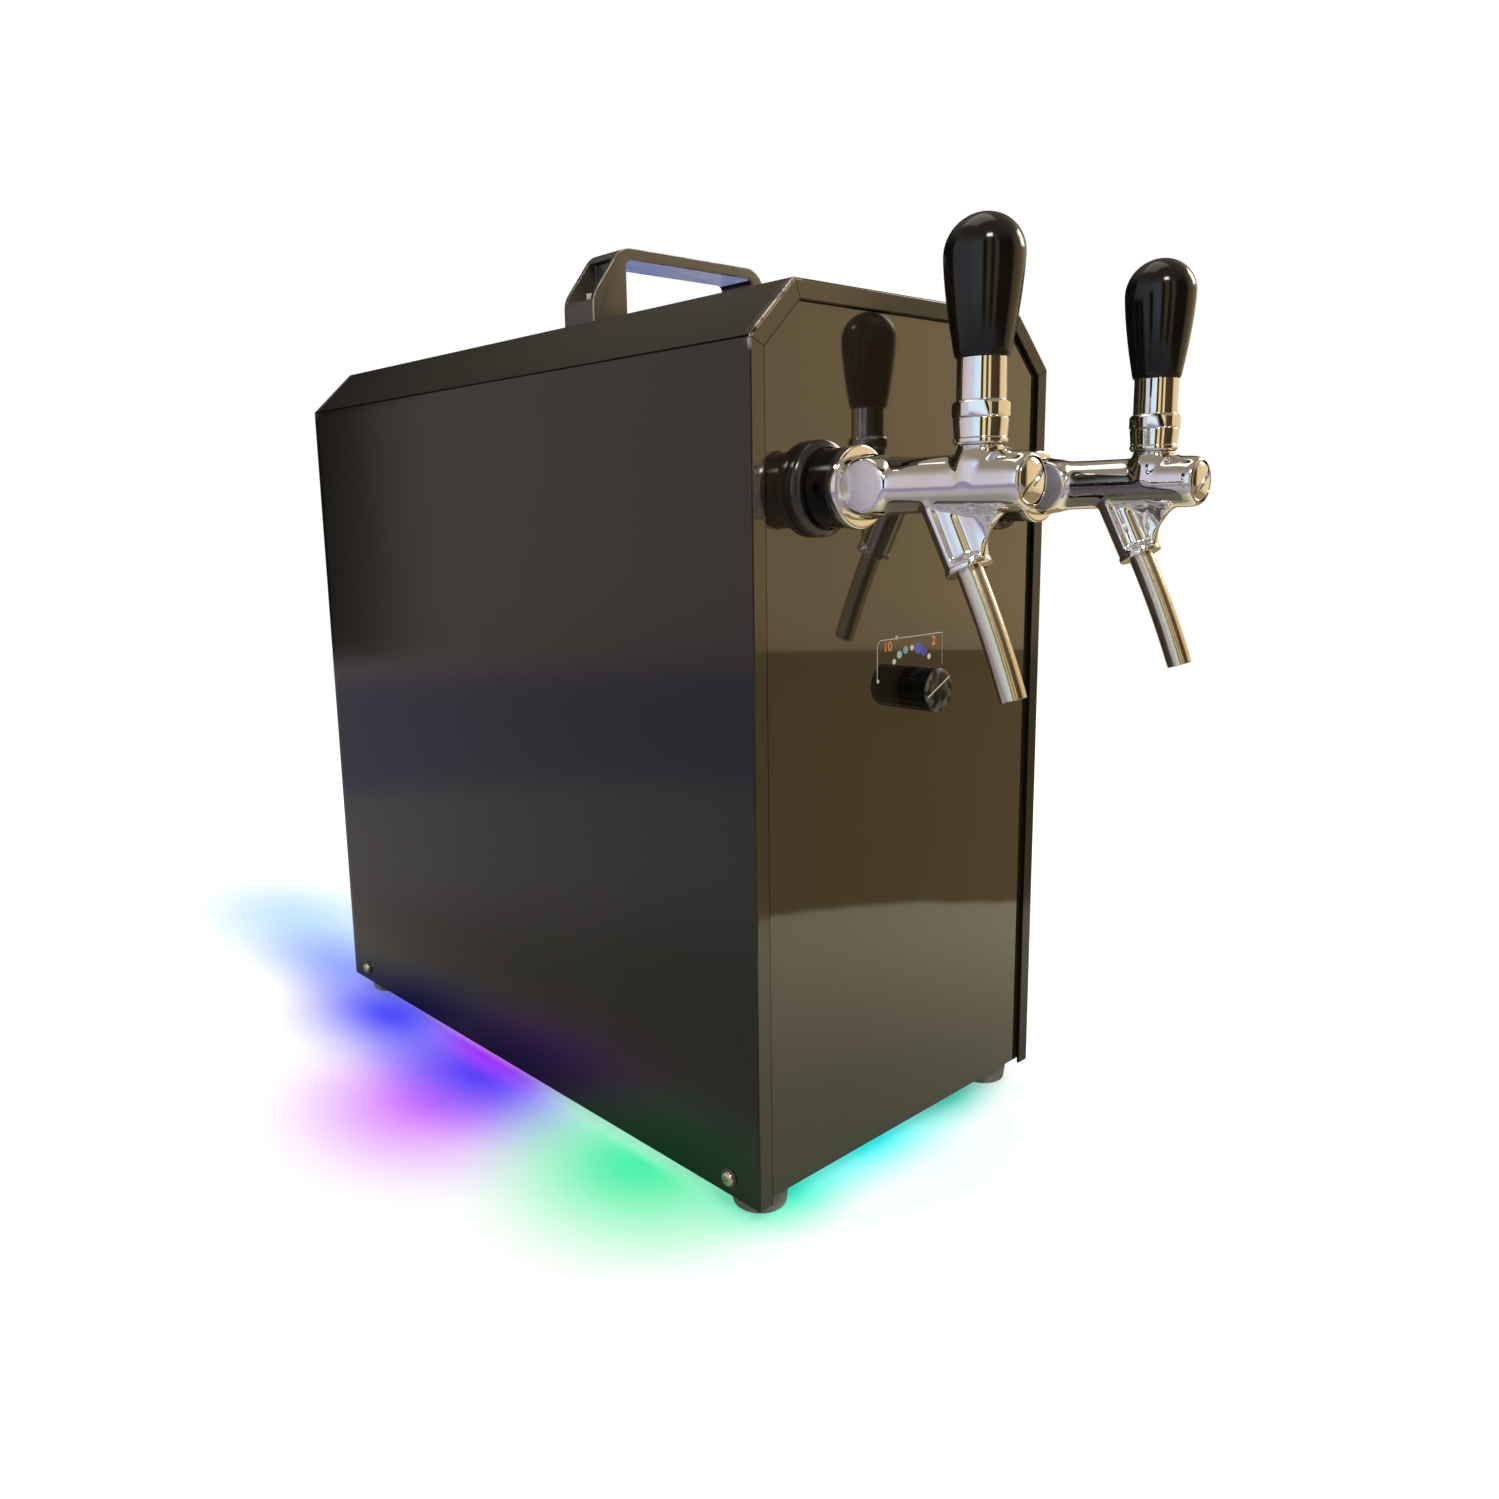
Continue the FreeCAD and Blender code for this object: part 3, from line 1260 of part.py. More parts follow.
def lock_nut():
    """Hexagon with turned corners between collar and sleeve."""
    blank = hexagon("lock_nut_corner", "lock_nut_height", 0, "-lever_forward", "collar_high")
    turning = turned("lock_nut_turning", "Z", [
        ("0", "collar_high"),
        ("lock_nut_radius - lock_nut_chamfer / 2", "collar_high"),
        ("lock_nut_radius", "collar_high + lock_nut_chamfer / 2"),
        ("lock_nut_radius", "ferrule_low - lock_nut_chamfer"),
        ("lock_nut_radius - lock_nut_chamfer", "ferrule_low"),
        ("0", "ferrule_low")], 0, "-lever_forward", 0)
    hole = cylinder("stem_radius", "lock_nut_height", 0, "-lever_forward", "collar_high")
    return cut(shared(blank, turning), hole)


def handle_ferrule():
    """Plain chrome sleeve below the pear-shaped handle."""
    return cut(
        cylinder("ferrule_radius", "ferrule_height", 0, "-lever_forward", "ferrule_low"),
        cylinder("stem_radius", "ferrule_height", 0, "-lever_forward", "ferrule_low"))


def tap_handle():
    """Pear-shaped handle with a round top, bored for the stem."""
    swell = "(knob_radius - knob_base_radius)"
    return turned("tap_handle", "Z", [
        ("stem_radius", "knob_low"),
        ("knob_base_radius", "knob_low"),
        ("knob_radius", "knob_wide", f"(knob_taper^2 + {swell}^2) / (2 * {swell})"),
        ("0", "knob_wide + knob_radius", "knob_radius"),
        ("0", "knob_low + stem_insert"),
        ("stem_radius", "knob_low + stem_insert")], 0, "-lever_forward", 0)


def valve_seal():
    """Rubber disc that closes the seat from behind."""
    spot = (0, "-(valve_seat_forward - seat_gap)", 0, "Y")
    return cut(cylinder("seal_radius", "seal_length", *spot), cylinder("rod_radius", "seal_length", *spot))


def valve_piston():
    """Valve rod with the head behind the seal, a guide disc and a fork for the lever's ball."""
    bore = "(barrel_bore - piston_gap)"
    head = "(valve_seat_forward - seat_gap - seal_length - rod_head_length)"
    fork = cylinder(bore, "fork_end - guide_start", 0, "-guide_start", 0, "-Y")
    solid = fuse(
        cylinder("rod_head_radius", "rod_head_length", 0, f"-{head}", 0, "-Y"),
        cylinder("rod_radius", f"guide_start - {head}", 0, f"-{head}", 0, "-Y"),
        fork)
    slot_rear = "-(lever_forward - fork_half)"
    slot_front = "-(lever_forward + fork_half)"
    wide = "barrel_bore"
    return cut(
        solid,
        box([f"-{wide}", slot_front, "-fork_floor"], [wide, slot_rear, wide]),
        box([f"-{wide}", "-(fork_end + cut_margin)", "fork_top"],
            [wide, "-(guide_start + guide_length)", wide]))


def flow_lever():
    """Spindle with its cranked inner pin, the cap on the boss and the arm along the tube."""
    face = "(flow_boss_reach + flow_cap_gap)"
    middle = "-boss_forward"
    return fuse(
        cylinder("spindle_radius", f"{face} - spindle_end", "spindle_end", middle, 0, "X"),
        cylinder("crank_radius", "spindle_end - crank_end", "crank_end", middle, "crank_offset", "X"),
        cylinder("flow_cap_radius", "flow_arm_thickness", face, middle, 0, "X"),
        box([face, "-(boss_forward + flow_arm_length)", "-flow_arm_width / 2"],
            [f"{face} + flow_arm_thickness", middle, "flow_arm_width / 2"]),
        cylinder("flow_grip_radius", "flow_grip_height", face,
                 "-(boss_forward + flow_arm_length)", 0, "X"))


def flow_cone():
    """Sliding cone with a groove for the crank pin."""
    groove_rear = "-(boss_forward - groove_half)"
    groove_front = "-(boss_forward + groove_half)"
    front = "(boss_forward + groove_half + cone_collar)"
    return turned("flow_cone", "Y", [
        ("0", "-cone_start"),
        ("0", f"-({front} + cone_nose)"),
        ("cone_core_radius", f"-({front} + cone_nose)"),
        ("cone_radius", f"-{front}"),
        ("cone_radius", groove_front),
        ("cone_core_radius", groove_front),
        ("cone_core_radius", groove_rear),
        ("cone_radius", groove_rear),
        ("cone_radius", "-(tail_start + cone_seat_length)"),
        ("cone_tip_radius", "-cone_start")])


TAP_PARTS = {
    "tap_body": tap_body,
    "spout": spout,
    "lever_stem": lever_stem,
    "lever_collar": lever_collar,
    "lock_nut": lock_nut,
    "handle_ferrule": handle_ferrule,
    "tap_handle": tap_handle,
    "valve_piston": valve_piston,
    "valve_seal": valve_seal,
    "flow_lever": flow_lever,
    "flow_cone": flow_cone,
}


def placed_at_tap(thing, x):
    """Carry a finished tap piece, made about the tap's own origin, to its tap."""
    return place(group(thing), x, "front_y", "tap_height")


def taps():
    for label, make in (("rosettes", rosette), ("tap_shanks", shank), ("back_nuts", back_nut),
                        ("coupling_nuts", coupling_nut), ("side_discs", side_disc),
                        ("nose_plugs", nose_plug), ("pivot_pins", pivot_pin),
                        ("spout_seals", spout_seal)):
        node(label, group(*[placed_at_tap(make(), x) for x in TAPS.values()]))
    for side, x in TAPS.items():
        for label, make in TAP_PARTS.items():
            node(f"{side}_{label}", placed_at_tap(make(), x))


def thermostat():
    """Case behind the panel with a bush through it, bored for the spindle."""
    owner = body("thermostat", 0, "panel_back", "dial_height")
    outline = rectangle("-thermostat_width / 2", "-thermostat_height / 2",
                        "thermostat_width / 2", "thermostat_height / 2")
    pad(owner, draw(sketch(owner, "XZ"), outline), "thermostat_depth", back=True)

    def upright(edge):
        return edge.BoundBox.YLength > number("thermostat_depth") - 1

    round_edges(owner, "thermostat_round", upright)
    bush = circles(sketch(owner, "XZ"), [("0", "0", "spindle_bush_radius")])
    pad(owner, bush, "panel_thickness")
    bore = circles(sketch(owner, "XZ", "panel_thickness"), [
        ("0", "0", "dial_spindle_radius + dial_spindle_gap")])
    pocket(owner, bore, "panel_thickness + dial_spindle_depth + dial_spindle_gap")
    node("thermostat", owner)


def thermostat_knob():
    """Fluted knob with a flat face, turning with its spindle."""
    rear = "(-dial_gap)"
    face = "(-(dial_gap + dial_length))"
    owner = turned("thermostat_knob", "Y", [
        ("0", "panel_thickness + dial_spindle_depth"),
        ("0", face),
        ("dial_radius - dial_face_round", face),
        ("dial_radius", f"{face} + dial_face_round", "dial_face_round"),
        ("dial_skirt_radius", rear),
        ("dial_spindle_radius", rear),
        ("dial_spindle_radius", "panel_thickness + dial_spindle_depth")],
        0, "panel_front", "dial_height")
    flute = circles(sketch(owner, "XZ", "dial_gap + dial_length * 0.12"), [
        ("0", "dial_radius - flute_depth + flute_radius", "flute_radius")])
    first = pocket(owner, flute, "dial_length", back=True)
    around = owner.newObject("PartDesign::PolarPattern", "flutes")
    around.Originals = [first]
    around.Axis = (flute, ["N_Axis"])
    around.Angle = 360
    around.Occurrences = int(number("flute_count"))
    owner.Tip = around
    node("thermostat_knob", owner)


def line_holes(low_y, length):
    return [
        cylinder("line_radius + line_gap", length, x, low_y, "tap_height", "Y") for x in TAPS.values()]


def cold_block():
    """Foam case and lid around the aluminium block, with the beer tubes into it."""
    half = "foam_width / 2"
    inner = "foam_width / 2 - foam_wall"
    case = box([f"-{half}", "foam_front", "foam_bottom"],
               [half, "foam_rear", "foam_top - foam_lid_height"])
    room = box([f"-({inner})", "foam_front + foam_wall", "foam_bottom + foam_wall"],
               [inner, "foam_rear - foam_wall", "foam_top"])
    node("foam_case", cut(case, room, *line_holes("foam_front", "foam_length")))
    node("foam_lid", box([f"-{half}", "foam_front", "foam_top - foam_lid_height"],
                         [half, "foam_rear", "foam_top"]))
    owner = body("cold_block", 0, 0, "block_bottom")
    edge = f"({inner} - block_gap)"
    outline = rectangle(f"-{edge}", "block_front", edge, "block_rear")
    pad(owner, draw(sketch(owner, "XY"), outline), "block_top - block_bottom")

    def upright(edge):
        return edge.BoundBox.ZLength > 1 and near(edge.BoundBox.XLength, 0)

    round_edges(owner, "block_round", upright)
    node("cold_block", owner)


def beer_lines():
    """Beer tube from each rear stub to the block, and from the block into each shank."""
    runs = []
    for x in TAPS.values():
        for start, end in (("front_y + shank_tail - line_insert", "block_front"),
                           ("block_rear", "rear_y + rear_reach")):
            length = f"({end}) - ({start})"
            runs.append(cut(
                cylinder("line_radius", length, x, start, "tap_height", "Y"),
                cylinder("line_radius - spout_wall", length, x, start, "tap_height", "Y")))
        bead = "(rear_face + grommet_thickness)"
        runs[-1] = fuse(runs[-1], cut(
            cylinder("bead_radius", f"rear_y + rear_reach - stub_length - {bead}", x, bead, "tap_height", "Y"),
            cylinder("line_radius - spout_wall / 2", "rear_reach", x, bead, "tap_height", "Y")))
    node("beer_lines", group(*runs))
    grommets = []
    for x in TAPS.values():
        grommets.append(cut(
            fuse(
                cylinder("grommet_radius", "grommet_thickness", x, "rear_face", "tap_height", "Y"),
                cylinder("line_radius + grommet_neck", "panel_thickness + grommet_thickness",
                         x, "rear_inner", "tap_height", "Y")),
            cylinder("line_radius", "panel_thickness + grommet_thickness",
                     x, "rear_inner", "tap_height", "Y")))
    node("line_grommets", group(*grommets))


def compressor():
    """Welded pot with a belt, on a base plate that stands on four rubber mounts."""
    spot = ("compressor_x", "compressor_y")
    corner = "compressor_round"
    pot = turned("pot", "Z", [
        ("0", "pot_bottom"),
        (f"compressor_radius - {corner}", "pot_bottom"),
        ("compressor_radius", f"pot_bottom + {corner}", corner),
        ("compressor_radius", "pot_top - compressor_height / 2 - 3"),
        ("compressor_radius + compressor_seam", "pot_top - compressor_height / 2 - 3"),
        ("compressor_radius + compressor_seam", "pot_top - compressor_height / 2"),
        ("compressor_radius", "pot_top - compressor_height / 2"),
        ("compressor_radius", f"pot_top - {corner}"),
        (f"compressor_radius - {corner}", "pot_top", corner),
        ("0", "pot_top")], *spot, 0)
    half_x = "compressor_foot_width / 2"
    half_y = "compressor_foot_length / 2"
    plate = box([f"compressor_x - {half_x}", f"compressor_y - {half_y}", "mount_top"],
                [f"compressor_x + {half_x}", f"compressor_y + {half_y}", "pot_bottom"])
    node("compressor", fuse(pot, plate))
    mounts = []
    for side_x in ("-1", "1"):
        for side_y in ("-1", "1"):
            x = f"compressor_x + {side_x} * ({half_x} - mount_inset)"
            y = f"compressor_y + {side_y} * ({half_y} - mount_inset)"
            mounts.append(cone("mount_radius", "mount_radius * 0.8", "mount_height", x, y, "tray_top"))
    node("compressor_mounts", group(*mounts))


def condenser():
    """Finned block behind the air slots, open between its fins, on two upright rails."""
    owner = body("condenser", 0, "condenser_front", 0)
    half = "condenser_width / 2"
    outline = rectangle(f"-{half}", "tray_top", half, "condenser_top")
    pad(owner, draw(sketch(owner, "XZ"), outline), "condenser_depth", back=True)
    below = rectangle(f"-({half} - condenser_plate)", "tray_top - cut_margin",
                      f"{half} - condenser_plate", "condenser_bottom")
    pocket(owner, draw(sketch(owner, "XZ"), below), "condenser_depth")
    gap = "(fin_pitch - fin_thickness)"
    start = f"(-({half} - condenser_plate))"
    opening = sketch(owner, "XZ")
    draw(opening, rectangle(start, "condenser_bottom + condenser_plate",
                            f"{start} + {gap}", "condenser_top - condenser_plate"))
    first = pocket(owner, opening, "condenser_depth")
    fins = owner.newObject("PartDesign::LinearPattern", "fins")
    fins.Originals = [first]
    fins.Direction = (opening, ["H_Axis"])
    fins.Mode = "Spacing"
    tie(fins, "Offset", "fin_pitch")
    room = number("condenser_width - 2 * condenser_plate + fin_thickness")
    fins.Occurrences = int(room / number("fin_pitch"))
    owner.Tip = fins
    node("condenser", owner)


def fan():
    """Shroud with its ring, motor on a cross of arms, and the five-bladed fan."""
    half = "condenser_width / 2"
    ring = "(fan_radius + fan_gap)"
    plate = box([f"-{half}", "condenser_front - shroud_thickness", "condenser_bottom"],
                [half, "condenser_front", "condenser_top"])
    middle = ("0", "condenser_front", "fan_z", "-Y")
    wall = cylinder(f"{ring} + shroud_thickness", "shroud_depth", *middle)
    node("fan_shroud", cut(fuse(plate, wall), cylinder(ring, "shroud_depth", *middle)))
    motor = cylinder("motor_radius", "motor_length", "0", "motor_rear", "fan_z", "-Y")
    arm = "(motor_arm / 2)"
    reach = f"({ring} + shroud_thickness)"
    level = box([f"-{reach}", "shroud_front - shroud_thickness", f"fan_z - {arm}"],
                [reach, "shroud_front", f"fan_z + {arm}"])
    upright = box([f"-{arm}", "shroud_front - shroud_thickness", f"fan_z - {reach}"],
                  [arm, "shroud_front", f"fan_z + {reach}"])
    shaft = cylinder("fan_shaft_radius", "fan_hub_length", "0", "motor_rear + fan_gap + 4", "fan_z", "-Y")
    node("fan_motor", fuse(motor, level, upright, shaft))
    node("fan_blades", fan_wheel())


def fan_wheel():
    """Hub and twisted blades: one lofted blade, trimmed to the tip circle, turned around the hub."""
    wheel = document.addObject("Part::Feature", "fan_wheel")
    length = number("fan_hub_length")
    hub = Part.makeCylinder(number("fan_hub_radius"), length)
    thick = number("fan_blade_thickness")
    tilt_axis = FreeCAD.Vector(1, 0, 0)
    sections = []
    for radius, chord, pitch in (
            ("fan_hub_radius - fan_blade_thickness", "fan_root_chord", "fan_root_pitch"),
            ("fan_radius + fan_blade_thickness", "fan_tip_chord", "fan_tip_pitch")):
        half = number(chord) / 2
        tilt = FreeCAD.Rotation(tilt_axis, number(pitch))
        middle = FreeCAD.Vector(number(radius), 0, length / 2)
        corners = [
            middle + tilt.multVec(FreeCAD.Vector(0, across, up))
            for across, up in ((-half, -thick / 2), (half, -thick / 2), (half, thick / 2), (-half, thick / 2))]
        sections.append(Part.makePolygon(corners + corners[:1]))
    blade = Part.makeLoft(sections, True, True).common(Part.makeCylinder(number("fan_radius"), length))
    blades = []
    count = int(number("fan_blades_count"))
    for index in range(count):
        turned_blade = blade.copy()
        turned_blade.rotate(FreeCAD.Vector(), FreeCAD.Vector(0, 0, 1), 360 * index / count)
        blades.append(turned_blade)
    bore = Part.makeCylinder(number("fan_shaft_radius + fan_shaft_gap"), length)
    wheel.Shape = hub.fuse(blades).cut(bore)
    return place(wheel, 0, "hub_rear", "fan_z", "-Y")


def copper_tube(points):
    """A tube along straight runs joined by arcs of one radius."""
    bend = number("gas_line_bend")
    spots = [FreeCAD.Vector(*[number(value) for value in point]) for point in points]
    edges = []
    start = spots[0]
    for index in range(1, len(spots) - 1):
        before = (spots[index] - spots[index - 1]).normalize()
        after = (spots[index + 1] - spots[index]).normalize()
        arc_start = spots[index] - before * bend
        arc_end = spots[index] + after * bend
        inner = arc_start + after * bend
        bulge = (spots[index] - inner).normalize() * bend
        edges.append(Part.LineSegment(start, arc_start).toShape())
        edges.append(Part.Arc(arc_start, inner + bulge, arc_end).toShape())
        start = arc_end
    edges.append(Part.LineSegment(start, spots[-1]).toShape())
    path = Part.Wire(edges)
    heading = (spots[1] - spots[0]).normalize()
    profile = Part.Wire([Part.Circle(spots[0], heading, number("gas_line_radius")).toShape()])
    tube = path.makePipeShell([profile], True, True)
    expected = math.pi * number("gas_line_radius") ** 2 * path.Length
    print("copper tube", round(path.Length, 1), "mm, volume share", round(tube.Volume / expected, 4))
    return tube


def gas_circuit():
    """Copper tubes between pot, condenser and block, with the filter drier in the liquid line."""
    side = "condenser_width / 2 - condenser_plate / 2"
    pot_level = "pot_bottom + compressor_height * 0.4"
    lines = [
        [("compressor_x + compressor_radius", "compressor_y", pot_level),
         (side, "compressor_y", pot_level),
         (side, "condenser_front - shroud_depth - 24", pot_level),
         (side, "condenser_front - shroud_depth - 24", "condenser_bottom + 20"),
         (side, "condenser_front - shroud_thickness", "condenser_bottom + 20")],
        [("compressor_x - 12", "compressor_y - 20", "pot_top"),
         ("compressor_x - 12", "compressor_y - 20", "foam_bottom + 30"),
         ("compressor_x - 12", "foam_rear", "foam_bottom + 30")],
    ]
    circuit = document.addObject("Part::Feature", "gas_lines")
    circuit.Shape = Part.makeCompound([copper_tube(points) for points in lines])
    node("gas_lines", circuit)


def mains_inlet():
    """Flanged appliance inlet with its recess, and the three flat contacts in it."""
    owner = body("mains_inlet", "inlet_x", "rear_face", "inlet_z")
    flange = rectangle("-inlet_flange_width / 2", "-inlet_flange_height / 2",
                       "inlet_flange_width / 2", "inlet_flange_height / 2")
    pad(owner, draw(sketch(owner, "XZ"), flange), "inlet_flange_thickness", back=True)

    def corner(edge):
        return edge.BoundBox.YLength > number("inlet_flange_thickness") - 0.1

    round_edges(owner, "inlet_flange_thickness", corner)
    inner = rectangle("-inlet_body_width / 2", "-inlet_body_height / 2",
                      "inlet_body_width / 2", "inlet_body_height / 2")
    pad(owner, draw(sketch(owner, "XZ"), inner), "inlet_body_depth")
    half = "inlet_socket_width / 2"
    tall = "inlet_socket_height / 2"
    recess = [
        (f"-{half}", f"-{tall}"),
        (half, f"-{tall}"),
        (half, f"{tall} - inlet_corner"),
        (f"{half} - inlet_corner", tall),
        (f"-({half} - inlet_corner)", tall),
        (f"-{half}", f"{tall} - inlet_corner")]
    mouth = draw(sketch(owner, "XZ", "-inlet_flange_thickness"), recess)
    pocket(owner, mouth, "inlet_socket_depth", back=True)
    node("mains_inlet", owner)
    floor = "rear_face + inlet_flange_thickness - inlet_socket_depth"
    contacts = []
    for x, z in (("-pin_spacing / 2", "-pin_offset"), ("0", "pin_offset"), ("pin_spacing / 2", "-pin_offset")):
        contacts.append(box(
            [f"inlet_x + {x} - pin_width / 2", floor, f"inlet_z + {z} - pin_height / 2"],
            [f"inlet_x + {x} + pin_width / 2", f"{floor} + pin_reach", f"inlet_z + {z} + pin_height / 2"]))
    node("inlet_pins", group(*contacts))


def power_switch():
    """Rocker switch: frame and body in the panel, and the rocker that tips inside."""
    half_x = "switch_width / 2"
    half_z = "switch_height / 2"
    wall = "switch_wall"
    frame = box([f"switch_x - {half_x}", "rear_face", f"inlet_z - {half_z}"],
                [f"switch_x + {half_x}", "rear_face + switch_frame", f"inlet_z + {half_z}"])
    case = box([f"switch_x - {half_x} + {wall}", "rear_face - switch_body_depth", f"inlet_z - {half_z} + {wall}"],
               [f"switch_x + {half_x} - {wall}", "rear_face", f"inlet_z + {half_z} - {wall}"])
    room_x = f"({half_x} - 2 * {wall})"
    room_z = f"({half_z} - 2 * {wall})"
    room = box([f"switch_x - {room_x}", "rear_face - rocker_depth - cut_margin", f"inlet_z - {room_z}"],
               [f"switch_x + {room_x}", "rear_face + switch_frame", f"inlet_z + {room_z}"])
    bearing = cylinder("trunnion_radius + trunnion_gap", "switch_width - 2 * switch_wall",
                       f"switch_x - {half_x} + {wall}", "rear_face - rocker_depth / 2", "inlet_z", "X")
    node("power_switch", cut(fuse(frame, case), room, bearing))
    owner = body("switch_rocker")
    reach = f"({room_z} - rocker_gap - (rocker_depth / 2 + rocker_proud) * sin(rocker_travel))"
    tip = "(rocker_depth / 2 + switch_frame + rocker_proud)"
    keel = "trunnion_radius + rocker_gap"
    outline = [
        ("-rocker_depth / 2", f"-({keel})"),
        ("0", f"-{reach}"),
        (f"{tip} * 0.7", f"-{reach}"),
        (tip, f"-{reach} * 0.9"),
        (f"{tip} * 0.82", "0"),
        (tip, f"{reach} * 0.9"),
        (f"{tip} * 0.7", reach),
        ("0", reach),
        ("-rocker_depth / 2", keel)]
    drawing = draw(sketch(owner, "YZ"), outline)
    pad(owner, drawing, f"2 * ({room_x} - rocker_gap)", middle=True)
    stubs = circles(sketch(owner, "YZ"), [("0", "0", "trunnion_radius")])
    pad(owner, stubs, f"2 * ({room_x} + trunnion_length)", middle=True)
    place(owner, "switch_x", "rear_face - rocker_depth / 2", "inlet_z")
    node("switch_rocker", lean(owner, "rocker_travel"))


def control_box():
    """Terminal and lamp supply box on the tray."""
    owner = body("control_box", "box_x", "front_y + box_setback", "tray_top")
    outline = rectangle("-box_width / 2", "-box_length / 2", "box_width / 2", "box_length / 2")
    pad(owner, draw(sketch(owner, "XY"), outline), "box_height")

    def upright(edge):
        return edge.BoundBox.ZLength > number("box_height") - 1

    round_edges(owner, "thermostat_round", upright)
    node("control_box", owner)


def build():
    fill_sheet()
    outer_cover()
    front_panel()
    rear_panel()
    base_tray()
    rubber_feet()
    light_strip()
    cover_screws()
    carry_handle()
    handle_bolts()
    taps()
    thermostat()
    thermostat_knob()
    cold_block()
    beer_lines()
    compressor()
    condenser()
    fan()
    gas_circuit()
    mains_inlet()
    power_switch()
    control_box()
    document.recompute()


def check():
    """Stop if any object failed or any sub-part has no sound shape."""
    faults = []
    for thing in document.Objects:
        if "Invalid" in thing.State or "Error" in thing.State:
            faults.append(f"{thing.Name} ({thing.Label}) failed")
    for label, thing in NODES.items():
        shape = thing.Shape
        if shape.isNull() or not shape.isValid() or not shape.Solids:
            faults.append(f"{label} has no sound shape")
    if faults:
        raise RuntimeError("; ".join(faults))


def write():
    os.makedirs("parts", exist_ok=True)
    for label, thing in NODES.items():
        thing.Shape.exportStep(f"parts/{label}.step")
        print(f"{label:24s} solids {len(thing.Shape.Solids):3d}  volume {thing.Shape.Volume:10.1f}")


build()
check()
write()
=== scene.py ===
# %% [markdown]
# # Two-tap beer cooler
#
# A tall steel cabinet carries two chrome taps on its glossy front, a dial between them and a
# grip on its roof. Coloured lamps sit under the base, and the patches of their light are painted on the
# floor.
#
# The imported model is the fixed frame. Each cell below dresses one part of it: a plain CAD
# solid keeps its place, and either gets a finish or is stood in for by a finer mesh.

# %% Load the frame
import json
import math

import bmesh
import bpy
from mathutils import Matrix, Vector


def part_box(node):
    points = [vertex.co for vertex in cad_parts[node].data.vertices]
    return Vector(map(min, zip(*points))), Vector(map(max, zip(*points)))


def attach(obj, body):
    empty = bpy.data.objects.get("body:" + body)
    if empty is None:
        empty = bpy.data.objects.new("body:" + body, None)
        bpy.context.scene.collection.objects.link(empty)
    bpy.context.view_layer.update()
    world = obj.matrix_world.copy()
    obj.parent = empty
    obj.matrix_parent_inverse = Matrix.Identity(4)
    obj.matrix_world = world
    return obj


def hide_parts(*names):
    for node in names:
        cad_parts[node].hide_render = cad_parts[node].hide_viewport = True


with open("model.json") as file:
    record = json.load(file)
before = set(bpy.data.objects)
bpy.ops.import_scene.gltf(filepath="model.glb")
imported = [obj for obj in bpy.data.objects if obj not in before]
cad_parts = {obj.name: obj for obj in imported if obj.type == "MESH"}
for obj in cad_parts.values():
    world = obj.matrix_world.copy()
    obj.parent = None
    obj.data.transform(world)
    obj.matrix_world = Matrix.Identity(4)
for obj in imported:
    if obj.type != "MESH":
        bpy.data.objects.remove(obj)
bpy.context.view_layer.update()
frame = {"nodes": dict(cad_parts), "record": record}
NODES = frame["nodes"]
RECORD = frame["record"]
MM = 0.001

# %% [markdown]
# ## Sizes
#
# The frame already knows where everything is, so the sizes are read from the boxes of the
# CAD nodes, in millimetres. Only what a box can't tell, such as the width of a slope, is a
# value of its own.

# %% Read the main sizes from the frame


def low(node, axis):
    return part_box(node)[0]["xyz".index(axis)] / MM


def high(node, axis):
    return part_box(node)[1]["xyz".index(axis)] / MM


COVER_HALF = high("outer_cover", "x")
COVER_FRONT = low("outer_cover", "y")
COVER_REAR = high("outer_cover", "y")
COVER_LOW = low("outer_cover", "z")
COVER_TOP = high("outer_cover", "z")
SLOPE_ACROSS = 28
SLOPE_DOWN = 26.5
SHEET = 1.2
FLANGE = 9
BEND = 1.1
FOLD = 1.8
RIM_LINE = 0.35
PANEL_Y = low("front_panel", "y")
TAP_X = (high("left_tap_handle", "x") + low("left_tap_handle", "x")) / 2
AXIS_Z = (high("coupling_nuts", "z") + low("coupling_nuts", "z")) / 2
PIVOT_Y = (high("left_tap_handle", "y") + low("left_tap_handle", "y")) / 2
print(f"cover {2 * COVER_HALF:.1f} x {COVER_REAR - COVER_FRONT:.1f} mm, roof at {COVER_TOP:.1f}")
print(f"tap axis x {TAP_X:.1f} z {AXIS_Z:.1f}, lever pivot y {PIVOT_Y:.2f}")

# %% [markdown]
# ## Camera
#
# The photograph was taken close up with a wide lens, a little above the middle of the
# cabinet. The camera is set first, because every later choice is judged through it.

# %% Set the camera


def linked(name, data):
    """A new object in the scene, from a mesh, a camera, a light or a text."""
    obj = bpy.data.objects.new(name, data)
    bpy.context.scene.collection.objects.link(obj)
    return obj


camera_data = bpy.data.cameras.new("camera")
camera = linked("camera", camera_data)
camera.location = (-0.475736, -0.529540, 0.340539)
camera.rotation_euler = [math.radians(angle) for angle in (79.99195, 1.240855, -41.933801)]
camera_data.sensor_width = 36
camera_data.lens = 28.08
camera_data.shift_x = 0.03997
camera_data.shift_y = -0.02017
camera_data.clip_start = 0.01
bpy.context.scene.camera = camera
bpy.context.scene.view_settings.view_transform = "Standard"
print("camera at", tuple(round(value, 3) for value in camera.location))

# %% [markdown]
# ## Shader maths
#
# A material is a small calculation. Written as nodes it gets hard to read, so one class
# wraps a socket and lets Python's own operators add the Math nodes, and a second one holds
# the material and adds any other node from its type, its settings and its inputs.

# %% Wrap sockets and materials


